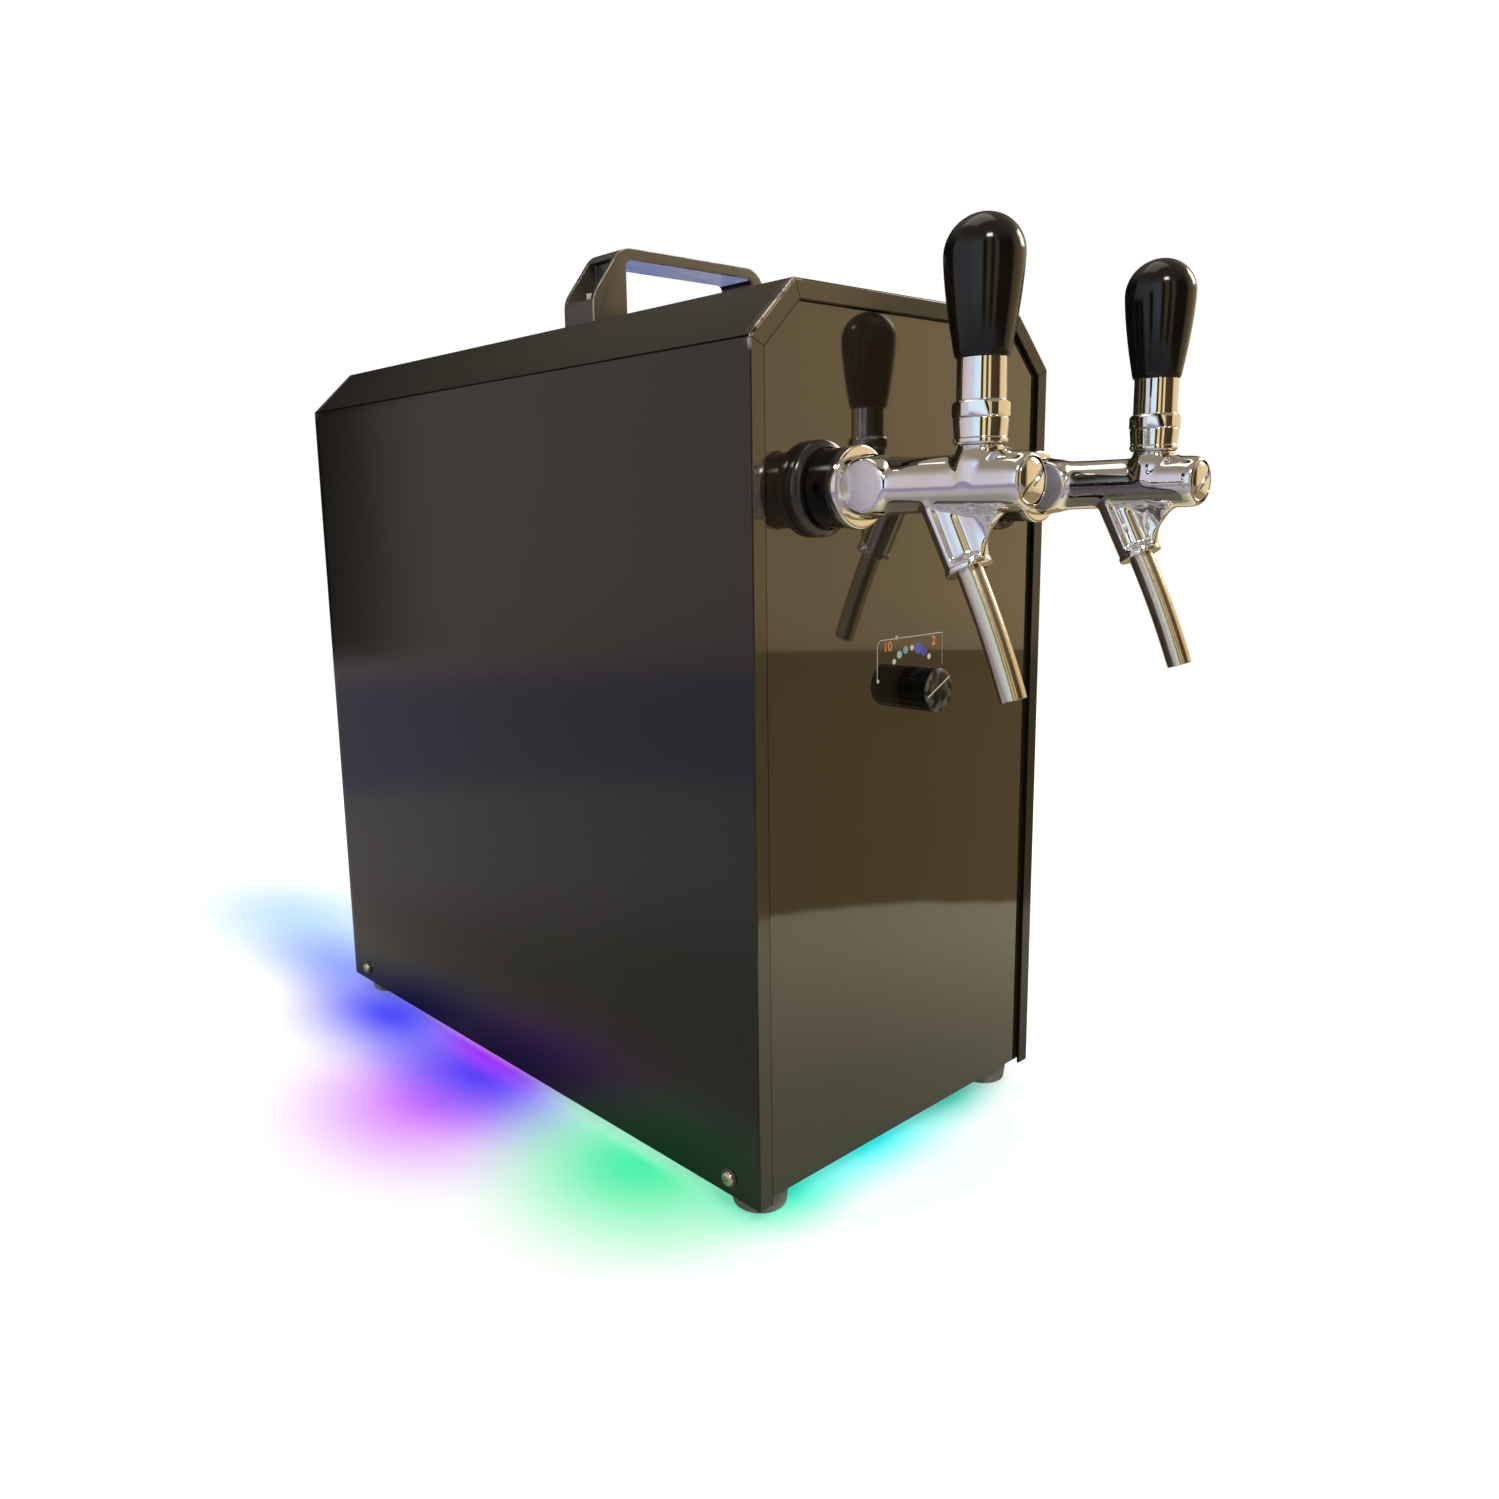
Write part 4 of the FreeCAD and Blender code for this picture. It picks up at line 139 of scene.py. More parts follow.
class Value:
    """A node's output; arithmetic on it adds Math nodes."""

    def __init__(self, owner, socket):
        self.owner = owner
        self.socket = socket

    def math(self, operation, *others):
        inputs = dict(enumerate((self, *others)))
        return self.owner.add("ShaderNodeMath", {"operation": operation}, inputs)

    def __add__(self, other):
        return self.math("ADD", other)

    def __mul__(self, other):
        return self.math("MULTIPLY", other)

    def __sub__(self, other):
        return self.math("SUBTRACT", other)

    def __truediv__(self, other):
        return self.math("DIVIDE", other)

    def __lt__(self, other):
        return self.math("LESS_THAN", other)

    def between(self, start, end):
        """0 before start and 1 after end, with a soft rise between them."""
        return self.owner.add("ShaderNodeMapRange", {"interpolation_type": "SMOOTHSTEP"},
                              {"Value": self, "From Min": start, "From Max": end})


class Nodes:
    """The node tree of a material or of the world."""

    def __init__(self, thing):
        thing.use_nodes = True
        self.tree = thing.node_tree
        self.tree.nodes.clear()

    def add(self, kind, settings=None, inputs=None, output=0):
        node = self.tree.nodes.new(kind)
        for name, value in (settings or {}).items():
            if name == "stops":
                self.set_stops(node.color_ramp, value)
            else:
                setattr(node, name, value)
        for name, value in (inputs or {}).items():
            socket = node.inputs[name]
            if isinstance(value, Value):
                self.tree.links.new(value.socket, socket)
            else:
                socket.default_value = value
        return Value(self, node.outputs[output]) if node.outputs else node

    def set_stops(self, ramp, stops):
        while len(ramp.elements) > 1:
            ramp.elements.remove(ramp.elements[0])
        for index, (position, colour) in enumerate(stops):
            element = ramp.elements[0] if index == 0 else ramp.elements.new(position)
            element.position = position
            element.color = rgba(colour)

    def place(self):
        """The point on the piece, in metres."""
        return self.add("ShaderNodeTexCoord", output="Object")

    def axes(self, vector):
        split = self.add("ShaderNodeSeparateXYZ", inputs={0: vector})
        outputs = split.socket.node.outputs
        return [Value(self, outputs[index]) for index in range(3)]

    def facing(self):
        """The three parts of the direction that the surface faces."""
        return self.axes(self.add("ShaderNodeNewGeometry", output=1))

    def rays(self):
        """Two masks: what the camera sees for itself, and what is seen in a reflection."""
        camera_ray = self.add("ShaderNodeLightPath", output="Is Camera Ray")
        return camera_ray, Value(self, camera_ray.socket.node.outputs["Is Glossy Ray"])

    def stretched(self, scale):
        """The point on stretched axes, for a noise that runs in streaks."""
        return self.add("ShaderNodeMapping", inputs={"Vector": self.place(), "Scale": scale})

    def noise(self, scale, detail=2.0, roughness=0.5, vector=None, distortion=0.0):
        return self.add("ShaderNodeTexNoise", inputs={
            "Vector": vector or self.place(), "Scale": scale, "Detail": detail,
            "Roughness": roughness, "Distortion": distortion})

    def cells(self, scale):
        return self.add("ShaderNodeTexVoronoi", inputs={"Vector": self.place(), "Scale": scale})

    def mix(self, factor, first, second):
        """A colour between two others."""
        return self.add("ShaderNodeMix", {"data_type": "RGBA"}, {
            0: factor, 6: rgba(first), 7: rgba(second)}, output=2)

    def tint(self, first, second):
        """Two colours multiplied."""
        return self.add("ShaderNodeMix", {"data_type": "RGBA", "blend_type": "MULTIPLY"}, {
            0: 1.0, 6: rgba(first), 7: rgba(second)}, output=2)

    def bump(self, height, distance, strength):
        """A relief; distance is its depth in metres."""
        return self.add("ShaderNodeBump", inputs={
            "Height": height, "Distance": distance, "Strength": strength})

    def attribute(self, name):
        """A mark that a mesh carries on its points."""
        return self.add("ShaderNodeAttribute", {"attribute_name": name}, output="Fac")


def rgba(colour):
    if isinstance(colour, Value):
        return colour
    return (*colour[:3], 1.0)


FINISHES = {}


def finish(name, build):
    """A material made by a function that returns the Principled inputs."""
    material = bpy.data.materials.new(name)
    nodes = Nodes(material)
    inputs = build(nodes)
    if isinstance(inputs.get("Base Color"), tuple):
        inputs["Base Color"] = rgba(inputs["Base Color"])
    shader = nodes.add("ShaderNodeBsdfPrincipled", inputs=inputs)
    nodes.add("ShaderNodeOutputMaterial", inputs={"Surface": shader})
    FINISHES[name] = material


# %% [markdown]
# ## Paints
#
# The cover is powder coated: satin, a touch uneven like orange peel. On the left slope's folds,
# most at the front, it is bare metal, partly wear and partly a painted highlight; its folds and
# the inner rim of its front flange carry painted shade, and its left front rim a browner painted
# reflection. The attributes edge, fold and rim mark those places. The front panel is high gloss,
# so its depth comes from a clear coat over a near-black base whose brownish cast is a painted
# reflection of the warm room, and its life from dust specks and hair-fine scratches.

# %% Make the two paints


def dark_paint(nodes):
    """Powder coat: bare metal on the left slope's folds, partly wear and partly a painted highlight, painted
    shade on its folds and inner rim, and a browner, coated left front rim that is a painted reflection.
    """
    bare_metal_and_highlight = (0.60, 0.56, 0.48)
    brown = (0.026, 0.018, 0.009)
    painted_shade_black = (0.002, 0.002, 0.002)
    cloud = nodes.noise(9, 3.0)
    base = nodes.mix(cloud.between(0.3, 0.7), (0.0070, 0.0062, 0.0052), (0.0090, 0.0080, 0.0068))
    # Bare metal on the marked edges: partly wear and partly a painted highlight along the left slope's folds.
    worn_and_highlight = nodes.attribute("edge") * nodes.noise(160, 4.0, 0.7).between(0.36, 0.56)
    # Painted shade: the fold and rim marks turn the paint black where shade falls in the folds and along the
    # inner rim.
    painted_shade_lines = nodes.attribute("fold").math("MAXIMUM", nodes.attribute("rim")).between(0.0, 0.7)
    # Painted reflection: the left rim that faces front is browner and clear coated, as it looks where it
    # mirrors the warm room.
    left = nodes.axes(nodes.place())[0].between(0.0, -0.08)
    front = nodes.facing()[1].between(-0.90, -0.98) * left
    painted = nodes.mix(worn_and_highlight, nodes.mix(front, base, brown), bare_metal_and_highlight)
    return {
        "Base Color": nodes.mix(painted_shade_lines, painted, painted_shade_black),
        "Coat Weight": front,
        "Metallic": (worn_and_highlight * 0.9).math("MAXIMUM", painted_shade_lines),
        "Roughness": cloud * 0.06 + 0.10,
        "Specular IOR Level": 0.64,
        "Normal": nodes.bump(nodes.noise(900), 0.00004, 0.30),
    }


def gloss_black(nodes):
    """Near-black gloss with a brownish cast that is a painted reflection of the warm room, under a clear
    coat, with sparse specks of dust and hair-fine scratches.
    """
    dust_grey = (0.45, 0.42, 0.36)
    specks = nodes.cells(150).between(0.035, 0.02)
    dust = specks * nodes.noise(30, 1.0).between(0.62, 0.66)
    hair = nodes.noise(1.0, 4.0, 0.7, nodes.stretched((60, 60, 1200)), 1.5).between(0.70, 0.78)
    cloud = nodes.noise(14)
    # Painted reflection: the brown in this near-black base stands in for the warm room it mirrors.
    base = nodes.mix(cloud.between(0.3, 0.7), (0.0170, 0.0120, 0.0062), (0.0205, 0.0150, 0.0082))
    return {
        "Base Color": nodes.mix(dust * 0.8, base, dust_grey),
        "Roughness": hair * 0.08 + cloud * 0.02 + 0.04,
        "Specular IOR Level": 0.9,
        "Coat Weight": 1.0,
        "Coat Roughness": 0.02,
        "Normal": nodes.bump(nodes.noise(38, 1.0), 0.00010, 0.30),
    }


def rear_paint(nodes):
    cloud = nodes.noise(12, 3.0)
    return {
        "Base Color": nodes.mix(cloud.between(0.3, 0.7), (0.024, 0.023, 0.022), (0.034, 0.032, 0.030)),
        "Roughness": cloud * 0.2 + 0.42,
        "Normal": nodes.bump(nodes.noise(1100, 2.0), 0.00005, 0.5),
    }


finish("dark_paint", dark_paint)
finish("gloss_black", gloss_black)
finish("rear_paint", rear_paint)
print("paints", ", ".join(FINISHES))

# %% [markdown]
# ## Metals
#
# Polished chrome is nearly a mirror, so its finish is a pale metal with very little
# roughness and faint buffing marks. Turned and drawn steel shows fine lines along the way it
# was worked, which a noise stretched in one direction gives.

# %% Make the metals


def chrome(nodes):
    buffing = nodes.noise(70, 3.0)
    marks = nodes.noise(1.0, 3.0, 0.6, nodes.stretched((900, 120, 900))).between(0.55, 0.8)
    return {
        "Base Color": nodes.mix(buffing.between(0.35, 0.65), (0.86, 0.86, 0.87), (0.90, 0.89, 0.88)),
        "Metallic": 1.0,
        "Roughness": buffing * 0.03 + marks * 0.03 + 0.025,
        "Normal": nodes.bump(nodes.noise(55, 1.0), 0.0003, 0.12),
    }


def drawn_metal(colour, roughness, scale):
    """A metal with streaks: scale is small along the streaks."""
    paler = tuple(min(1.0, part * 1.12) for part in colour)

    def build(nodes):
        streaks = nodes.noise(1.0, 4.0, 0.65, nodes.stretched(scale))
        return {
            "Base Color": nodes.mix(streaks.between(0.3, 0.7), colour, paler),
            "Metallic": 1.0,
            "Roughness": streaks * 0.16 + roughness,
            "Normal": nodes.bump(streaks, 0.000008, 0.3),
        }

    return build


def spangled(colour, roughness):
    """Sheet or cast metal with a patchy skin."""
    darker = tuple(part * 0.78 for part in colour)

    def build(nodes):
        patches = nodes.cells(260)
        cloud = nodes.noise(40, 3.0)
        return {
            "Base Color": nodes.mix(patches.between(0.2, 0.8), darker, colour),
            "Metallic": 0.9,
            "Roughness": cloud * 0.2 + roughness,
            "Normal": nodes.bump(cloud, 0.00005, 0.4),
        }

    return build


finish("chrome", chrome)
finish("disc_chrome", drawn_metal((0.82, 0.80, 0.83), 0.30, (1400, 200, 1400)))
finish("steel", drawn_metal((0.66, 0.60, 0.48), 0.12, (1800, 1800, 60)))
finish("brass", drawn_metal((0.72, 0.50, 0.20), 0.22, (900, 60, 900)))
finish("copper", drawn_metal((0.80, 0.40, 0.24), 0.22, (300, 300, 300)))
finish("aluminium", spangled((0.72, 0.72, 0.73), 0.32))
finish("tray_steel", spangled((0.42, 0.42, 0.43), 0.38))
print("metals made, finishes so far", len(FINISHES))

# %% [markdown]
# ## Plastics and rubber
#
# Moulded parts differ in colour, gloss and grain, so one function makes them all from those
# three. The grain is a fine bump, and a slow cloud keeps the gloss from looking painted on.

# %% Make the plastics


def moulded(colour, roughness, grain, wear=0.0, shine=0.5):
    """A moulded finish: colour, gloss, depth of the grain in metres, how grey the marked edges turn, which on
    the knob is a painted highlight, and shine.
    """
    paler = tuple(part * 1.25 + 0.001 for part in colour)
    rubbed_and_highlight_grey = (0.34, 0.32, 0.27)

    def build(nodes):
        cloud = nodes.noise(38, 3.0)
        # The marked edges turn grey; on the knob this is a painted highlight on its rims.
        rubbed_and_highlight = nodes.attribute("edge") * nodes.noise(220, 3.0).between(0.42, 0.6) * wear
        base = nodes.mix(cloud.between(0.35, 0.7), colour, paler)
        return {
            "Base Color": nodes.mix(rubbed_and_highlight, base, rubbed_and_highlight_grey),
            "Roughness": cloud * 0.08 + roughness,
            "Specular IOR Level": shine,
            "Normal": nodes.bump(nodes.noise(1300), grain, 0.5),
        }

    return build


MOULDED = {
    "handle_black": ((0.0040, 0.0038, 0.0034), 0.09, 0.000004, 0.0, 0.45),
    # The knob's 1.0 paints a highlight on the rims of its skirt and face.
    "knob_black": ((0.0030, 0.0030, 0.0030), 0.12, 0.000006, 1.0, 0.28),
    "black_nut": ((0.0040, 0.0040, 0.0038), 0.12, 0.000006),
    "grey_plastic": ((0.014, 0.013, 0.011), 0.12, 0.000006, 0.0, 0.7),
    "dark_ring": ((0.050, 0.048, 0.046), 0.45, 0.00003),
    "seal_rubber": ((0.030, 0.030, 0.030), 0.60, 0.00003),
    "case_plastic": ((0.045, 0.045, 0.047), 0.45, 0.00004),
    "compressor_paint": ((0.018, 0.018, 0.019), 0.30, 0.00006),
    "motor_paint": ((0.060, 0.060, 0.062), 0.40, 0.00004),
    "fan_plastic": ((0.035, 0.035, 0.037), 0.42, 0.00004),
    "inlet_black": ((0.020, 0.020, 0.021), 0.32, 0.00004),
    "rocker_black": ((0.024, 0.024, 0.025), 0.22, 0.00002),
    "piston_plastic": ((0.62, 0.61, 0.58), 0.38, 0.00002),
    "strip_white": ((0.72, 0.73, 0.74), 0.40, 0.00002),
}
for name, recipe in MOULDED.items():
    finish(name, moulded(*recipe))


def rubber(nodes):
    dust = nodes.noise(70, 4.0, 0.7)
    return {
        "Base Color": nodes.mix(dust.between(0.4, 0.75), (0.17, 0.175, 0.155), (0.34, 0.345, 0.31)),
        "Roughness": dust * 0.2 + 0.55,
        "Normal": nodes.bump(nodes.noise(900, 3.0), 0.00008, 0.6),
    }


def foam(nodes):
    cells = nodes.cells(420)
    return {
        "Base Color": nodes.mix(cells.between(0.1, 0.7), (0.70, 0.71, 0.72), (0.80, 0.80, 0.79)),
        "Roughness": 0.85,
        "Normal": nodes.bump(cells, 0.0003, 0.5),
    }


BAR_HALF = 48.3


def black_plastic(nodes):
    """The grip: painted light on the faces towards front and rear, which are lighter and brownish, worn grey
    on its rims, and a painted blue glow under its bar.
    """
    black = (0.009, 0.007, 0.005)
    rubbed_and_highlight_grey = (0.50, 0.46, 0.36)
    cloud = nodes.noise(38, 3.0)
    # Painted light: the faces towards front and rear are lighter and brownish, as lit faces look, and the
    # others black.
    painted_lit_brown = nodes.mix(cloud.between(0.35, 0.7), (0.050, 0.040, 0.028), (0.064, 0.052, 0.037))
    facing = nodes.facing()
    bar = nodes.axes(nodes.place())[0].math("ABSOLUTE") < BAR_HALF * MM
    under = facing[2].between(-0.80, -0.95) * bar
    fore = facing[1].math("ABSOLUTE")
    base = nodes.mix(fore.between(0.6, 0.9), black, painted_lit_brown)
    rim = fore.between(0.15, 0.35) * fore.between(0.97, 0.85)
    rubbed_and_highlight = rim * nodes.noise(120, 3.0).between(0.35, 0.60) * 0.7
    streaks = nodes.noise(1.0, 3.0, 0.6, nodes.stretched((50, 700, 700)))
    # Painted light: a blue glow under the bar, which is no lamp.
    painted_blue_glow = nodes.mix(streaks.between(0.3, 0.7), (0.28, 0.36, 0.90), (0.52, 0.62, 1.0))
    return {
        "Base Color": nodes.mix(rubbed_and_highlight, nodes.mix(under, base, painted_blue_glow), rubbed_and_highlight_grey),
        # The painted blue glow under the bar shines as emission.
        "Emission Color": nodes.mix(under, (0.0, 0.0, 0.0), painted_blue_glow),
        "Emission Strength": 0.42,
        "Roughness": cloud * 0.08 + 0.20,
        "Specular IOR Level": 0.9,
        "Coat Weight": 0.5,
        "Coat Roughness": 0.12,
        "Normal": nodes.bump(nodes.noise(1300), 0.00002, 0.4),
    }


finish("black_plastic", black_plastic)
finish("rubber", rubber)
finish("foam", foam)
print("finishes", len(FINISHES))

# %% [markdown]
# ## Lamps and their light on the floor
#
# The lamps change colour along the strip, blue and violet at the rear left, magenta in the
# middle, green at the front corner and cyan across the front. One list of spots says so,
# each with its centre and reach in millimetres, its colour and its strength. It colours the
# lamps by their place and, further down, paints their light on the floor.

# %% Name the coloured spots
SPOTS = [
    ("sky", (-86, 425), (98, 205), (0.30, 0.57, 1.0), 0.75),
    ("magenta_haze", (-190, 40), (160, 170), (0.80, 0.45, 1.0), 0.20),
    ("green_haze", (-150, -110), (140, 150), (0.40, 1.0, 0.55), 0.22),
    ("cyan_haze", (0, -190), (170, 90), (0.45, 1.0, 0.95), 0.25),
    ("blue_far", (-104, 300), (58, 130), (0.20, 0.32, 1.0), 0.80),
    ("magenta", (-168, 60), (86, 112), (0.66, 0.17, 1.0), 0.95),
    ("blue", (-122, 186), (70, 132), (0.06, 0.06, 0.98), 0.98),
    ("blue_near", (-126, 66), (60, 116), (0.09, 0.05, 0.98), 0.98),
    ("violet", (-108, 84), (20, 76), (0.40, 0.03, 0.98), 0.90),
    ("rim_pink", (-102, 96), (7, 110), (0.90, 0.32, 1.0), 0.70),
    ("green", (-120, -82), (88, 106), (0.05, 0.88, 0.40), 0.97),
    ("rim_green", (-106, -60), (10, 100), (0.50, 1.0, 0.75), 0.85),
    ("green_front", (-82, -150), (50, 40), (0.02, 0.95, 0.60), 0.95),
    ("cyan", (-14, -150), (86, 38), (0.03, 0.93, 0.92), 1.0),
    ("cyan_core", (-6, -136), (52, 13), (0.66, 1.0, 1.0), 0.85),
    ("cyan_right", (58, -148), (52, 32), (0.02, 0.62, 0.48), 0.95),
]


def spot_masks(nodes, x, y):
    """How much of each spot's colour falls on a point, from its distance to the spot."""
    masks = []
    for _, (spot_x, spot_y), (reach_x, reach_y), colour, strength in SPOTS:
        across = (x - spot_x * MM) / (reach_x * MM)
        lengthways = (y - spot_y * MM) / (reach_y * MM)
        distance = (across * across + lengthways * lengthways).math("SQRT")
        masks.append((distance.between(1.15, 0.0) * strength, colour))
    return masks


def lamp(nodes):
    x, y, _ = nodes.axes(nodes.place())
    colour = (0.9, 0.9, 1.0)
    for mask, spot_colour in spot_masks(nodes, x, y):
        colour = nodes.mix(mask, colour, spot_colour)
    return {
        "Base Color": (0.8, 0.78, 0.55),
        "Roughness": nodes.noise(400) * 0.1 + 0.25,
        "Emission Color": colour,
        "Emission Strength": 2.5,
    }


finish("lamp_yellow", lamp)
print("spots", len(SPOTS))

# %% [markdown]
# ## Finishes on the CAD nodes
#
# Every node names its material slot in the record, so one loop gives each its finish. Nodes
# that a finer mesh replaces later get it too, which does no harm.

# %% Give every node its finish
SLOT = {entry["node"]: entry["material_slot"] for entry in RECORD["subparts"]}
for label, thing in NODES.items():
    if not thing.material_slots:
        thing.data.materials.append(FINISHES[SLOT[label]])
    for material_slot in thing.material_slots:
        material_slot.material = FINISHES[SLOT[label]]
print("slots in use", len(set(SLOT.values())), "without a finish", set(SLOT.values()) - set(FINISHES))

# %% [markdown]
# ## Building meshes
#
# Most parts are turned on a lathe, so the first helper turns an outline of corners about an
# axis. A corner may carry a rounding, which is laid out as a short arc. Others are drawn as
# a flat outline and given a depth, and a bevel softens their rims.

# %% Helpers for meshes


def put(name, vertices, faces, placing=None, marks=None):
    """A mesh object from points in millimetres, with marks on its points if any are given."""
    matrix = placing or Matrix.Identity(4)
    mesh = bpy.data.meshes.new(name)
    mesh.from_pydata([(matrix @ Vector(vertex)) * MM for vertex in vertices], [], faces)
    for title, values in (marks or {}).items():
        mesh.attributes.new(title, "FLOAT", "POINT").data.foreach_set("value", values)
    face_outwards(mesh)
    return linked(name, mesh)


def face_outwards(mesh):
    work = bmesh.new()
    work.from_mesh(mesh)
    bmesh.ops.remove_doubles(work, verts=work.verts, dist=1e-7)
    bmesh.ops.recalc_face_normals(work, faces=work.faces)
    work.to_mesh(mesh)
    work.free()
    mesh.update()


def along(direction, x=0.0, y=0.0, z=0.0):
    """A placing whose own Z axis points in a direction."""
    turn = Vector((0, 0, 1)).rotation_difference(Vector(direction))
    return Matrix.Translation((x, y, z)) @ turn.to_matrix().to_4x4()


def circle(radius, sides):
    """Points on a circle about the origin."""
    angles = [2 * math.pi * side / sides for side in range(sides)]
    return [(radius * math.cos(angle), radius * math.sin(angle)) for angle in angles]


def dome(radius, foot, rise, steps, inner=0.0):
    """A quarter of an ellipse, from its foot to just before its top."""
    angles = [math.pi / 2 * step / steps for step in range(steps)]
    return [(inner + radius * math.cos(angle), foot + rise * math.sin(angle)) for angle in angles]


def rounded(corners, steps=5):
    """Lay out corners (a, b) or (a, b, rounding), the rounded ones as arcs."""
    points = []
    for index, corner in enumerate(corners):
        here = Vector(corner[:2])
        radius = corner[2] if len(corner) > 2 else 0
        if not radius:
            points.append(here)
            continue
        before = (Vector(corners[index - 1][:2]) - here).normalized()
        after = (Vector(corners[(index + 1) % len(corners)][:2]) - here).normalized()
        half = before.angle(after) / 2
        reach = radius / math.tan(half)
        start = here + before * reach
        end = here + after * reach
        centre = here + (before + after).normalized() * (radius / math.sin(half))
        first = start - centre
        sweep = first.angle_signed(end - centre)
        for step in range(steps + 1):
            turned = first.copy()
            turned.rotate(Matrix.Rotation(-sweep * step / steps, 2))
            points.append(centre + turned)
    return [tuple(point) for point in points]


def lathe(name, outline, placing=None, sides=96):
    """Turn a closed outline of (radius, height) about the placing's Z axis."""
    vertices = []
    rings = []
    for radius, height in outline:
        if radius < 1e-6:
            rings.append([len(vertices)])
            vertices.append((0, 0, height))
            continue
        rings.append(list(range(len(vertices), len(vertices) + sides)))
        vertices += [(x, y, height) for x, y in circle(radius, sides)]
    faces = []
    for index, ring in enumerate(rings):
        other = rings[(index + 1) % len(rings)]
        if len(ring) == 1 and len(other) == 1:
            continue
        for side in range(sides):
            corners = [ring[side % len(ring)], ring[(side + 1) % sides % len(ring)],
                       other[(side + 1) % sides % len(other)], other[side % len(other)]]
            faces.append(list(dict.fromkeys(corners)))
    return put(name, vertices, faces, placing)


def ball(name, placing, radii):
    """A ball with a radius of its own on each axis."""
    rings = 24
    angles = [math.pi * ring / rings for ring in range(rings + 1)]
    outline = [(math.sin(angle), -math.cos(angle)) for angle in angles]
    return lathe(name, outline, placing @ Matrix.Diagonal((*radii, 1)), 48)


def prism(name, outline, start, end, placing=None):
    """A flat outline (x, y) given a depth along the placing's Z axis."""
    count = len(outline)
    vertices = [(x, y, start) for x, y in outline] + [(x, y, end) for x, y in outline]
    faces = [list(range(count)), list(range(count, 2 * count))]
    for index in range(count):
        following = (index + 1) % count
        faces.append([index, following, count + following, count + index])
    return put(name, vertices, faces, placing)


def block(half_width, half_height):
    """The outline of a rectangle about the origin."""
    return [(-half_width, -half_height), (half_width, -half_height),
            (half_width, half_height), (-half_width, half_height)]


def settle(obj):
    """Turn what the modifiers show into a plain mesh."""
    bpy.context.view_layer.update()
    graph = bpy.context.evaluated_depsgraph_get()
    mesh = bpy.data.meshes.new_from_object(obj.evaluated_get(graph))
    old = obj.data
    obj.modifiers.clear()
    obj.data = mesh
    if old.users == 0:
        bpy.data.meshes.remove(old)
    return obj


def modify(obj, kind, **settings):
    modifier = obj.modifiers.new(kind.lower(), kind)
    for name, value in settings.items():
        setattr(modifier, name, value)


def soften(obj, width, segments=2, angle=30):
    """Round the sharp edges of a mesh."""
    modify(obj, "BEVEL", width=width * MM, segments=segments, limit_method="ANGLE",
           angle_limit=math.radians(angle), harden_normals=False)
    return settle(obj)


def discard(*things):
    for thing in things:
        mesh = thing.data
        bpy.data.objects.remove(thing)
        if mesh.users == 0:
            bpy.data.meshes.remove(mesh)


def carve(obj, *tools, operation="DIFFERENCE", solver="EXACT"):
    """Cut tools out of a mesh, or join them to it."""
    for tool in tools:
        modify(obj, "BOOLEAN", object=tool, operation=operation, solver=solver)
        settle(obj)
    discard(*tools)
    return obj


def joined(name, *things):
    """Several meshes as one object."""
    work = bmesh.new()
    for thing in things:
        work.from_mesh(thing.data)
    mesh = bpy.data.meshes.new(name)
    work.to_mesh(mesh)
    work.free()
    discard(*things)
    return linked(name, mesh)


def mark_edges(obj, rule, title="edge"):
    """Store a mark on each point, such as where wear, a painted highlight or painted shade goes, from its
    place in millimetres.
    """
    marks = obj.data.attributes.new(title, "FLOAT", "POINT")
    marks.data.foreach_set("value", [rule(vertex.co / MM) for vertex in obj.data.vertices])
    return obj


def moved_copy(obj, name, x):
    """A copy of a piece, further along X."""
    copy = linked(name, obj.data.copy())
    copy.data.transform(Matrix.Translation((x * MM, 0, 0)))
    return copy


def dress(obj, slot, body="cabinet", replaced=(), smooth=32, look=None):
    """Give a piece its body and its finish, which is the slot's unless look names one."""
    obj.data.materials.clear()
    obj.data.materials.append(FINISHES[look or slot])
    obj.data.polygons.foreach_set("use_smooth", [True] * len(obj.data.polygons))
    obj.data.set_sharp_from_angle(angle=math.radians(smooth))
    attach(obj, body)
    if replaced:
        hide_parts(*replaced)
    print(f"{obj.name}: {len(obj.data.polygons)} faces")


# %% [markdown]
# ## Outer cover
#
# One steel sheet is folded over the cabinet, side, slope, roof, slope and side, and its
# front and rear rims are folded in again. The section across the cabinet is an outline with
# four bends. The section of the sheet itself is a thin closed loop, which says how far each
# station lies from the outside and how far back. Every point of one goes with every station
# of the other, which gives a closed shell with true folds.

# %% Fold the cover


SLOPE_TURN = math.atan(SLOPE_ACROSS / SLOPE_DOWN)
NEAR_BEND = 6
MIDDLE_OF_BENDS = (3, 4, 7, 8, 12, 13, 16, 17)
UPRIGHT = Matrix(((1, 0, 0, 0), (0, 0, 1, 0), (0, 1, 0, 0), (0, 0, 0, 1)))


def bend_corners(inset):
    """The four bends of the outline across the cabinet, drawn inwards."""
    side = COVER_HALF - inset
    shoulder = COVER_TOP - SLOPE_DOWN - inset * math.tan(SLOPE_TURN / 2)
    ridge = COVER_HALF - SLOPE_ACROSS - inset * math.tan((math.pi / 2 - SLOPE_TURN) / 2)
    roof = COVER_TOP - inset
    return [(-side, shoulder), (-ridge, roof), (ridge, roof), (side, shoulder)]


def bend_line(inset):
    """The whole outline, drawn inwards; each bend is an arc of four points, however tight."""
    bends = bend_corners(inset)
    ridge, roof = bends[2]
    side, shoulder = bends[3]
    radius = max(FOLD - inset, 0.15)
    arcs = [(x, z, radius) for x, z in bends]
    return rounded([(-side, COVER_LOW), (-side, shoulder - NEAR_BEND), *arcs[:2],
                    (NEAR_BEND - ridge, roof), *arcs[2:], (side, COVER_LOW)], 3)


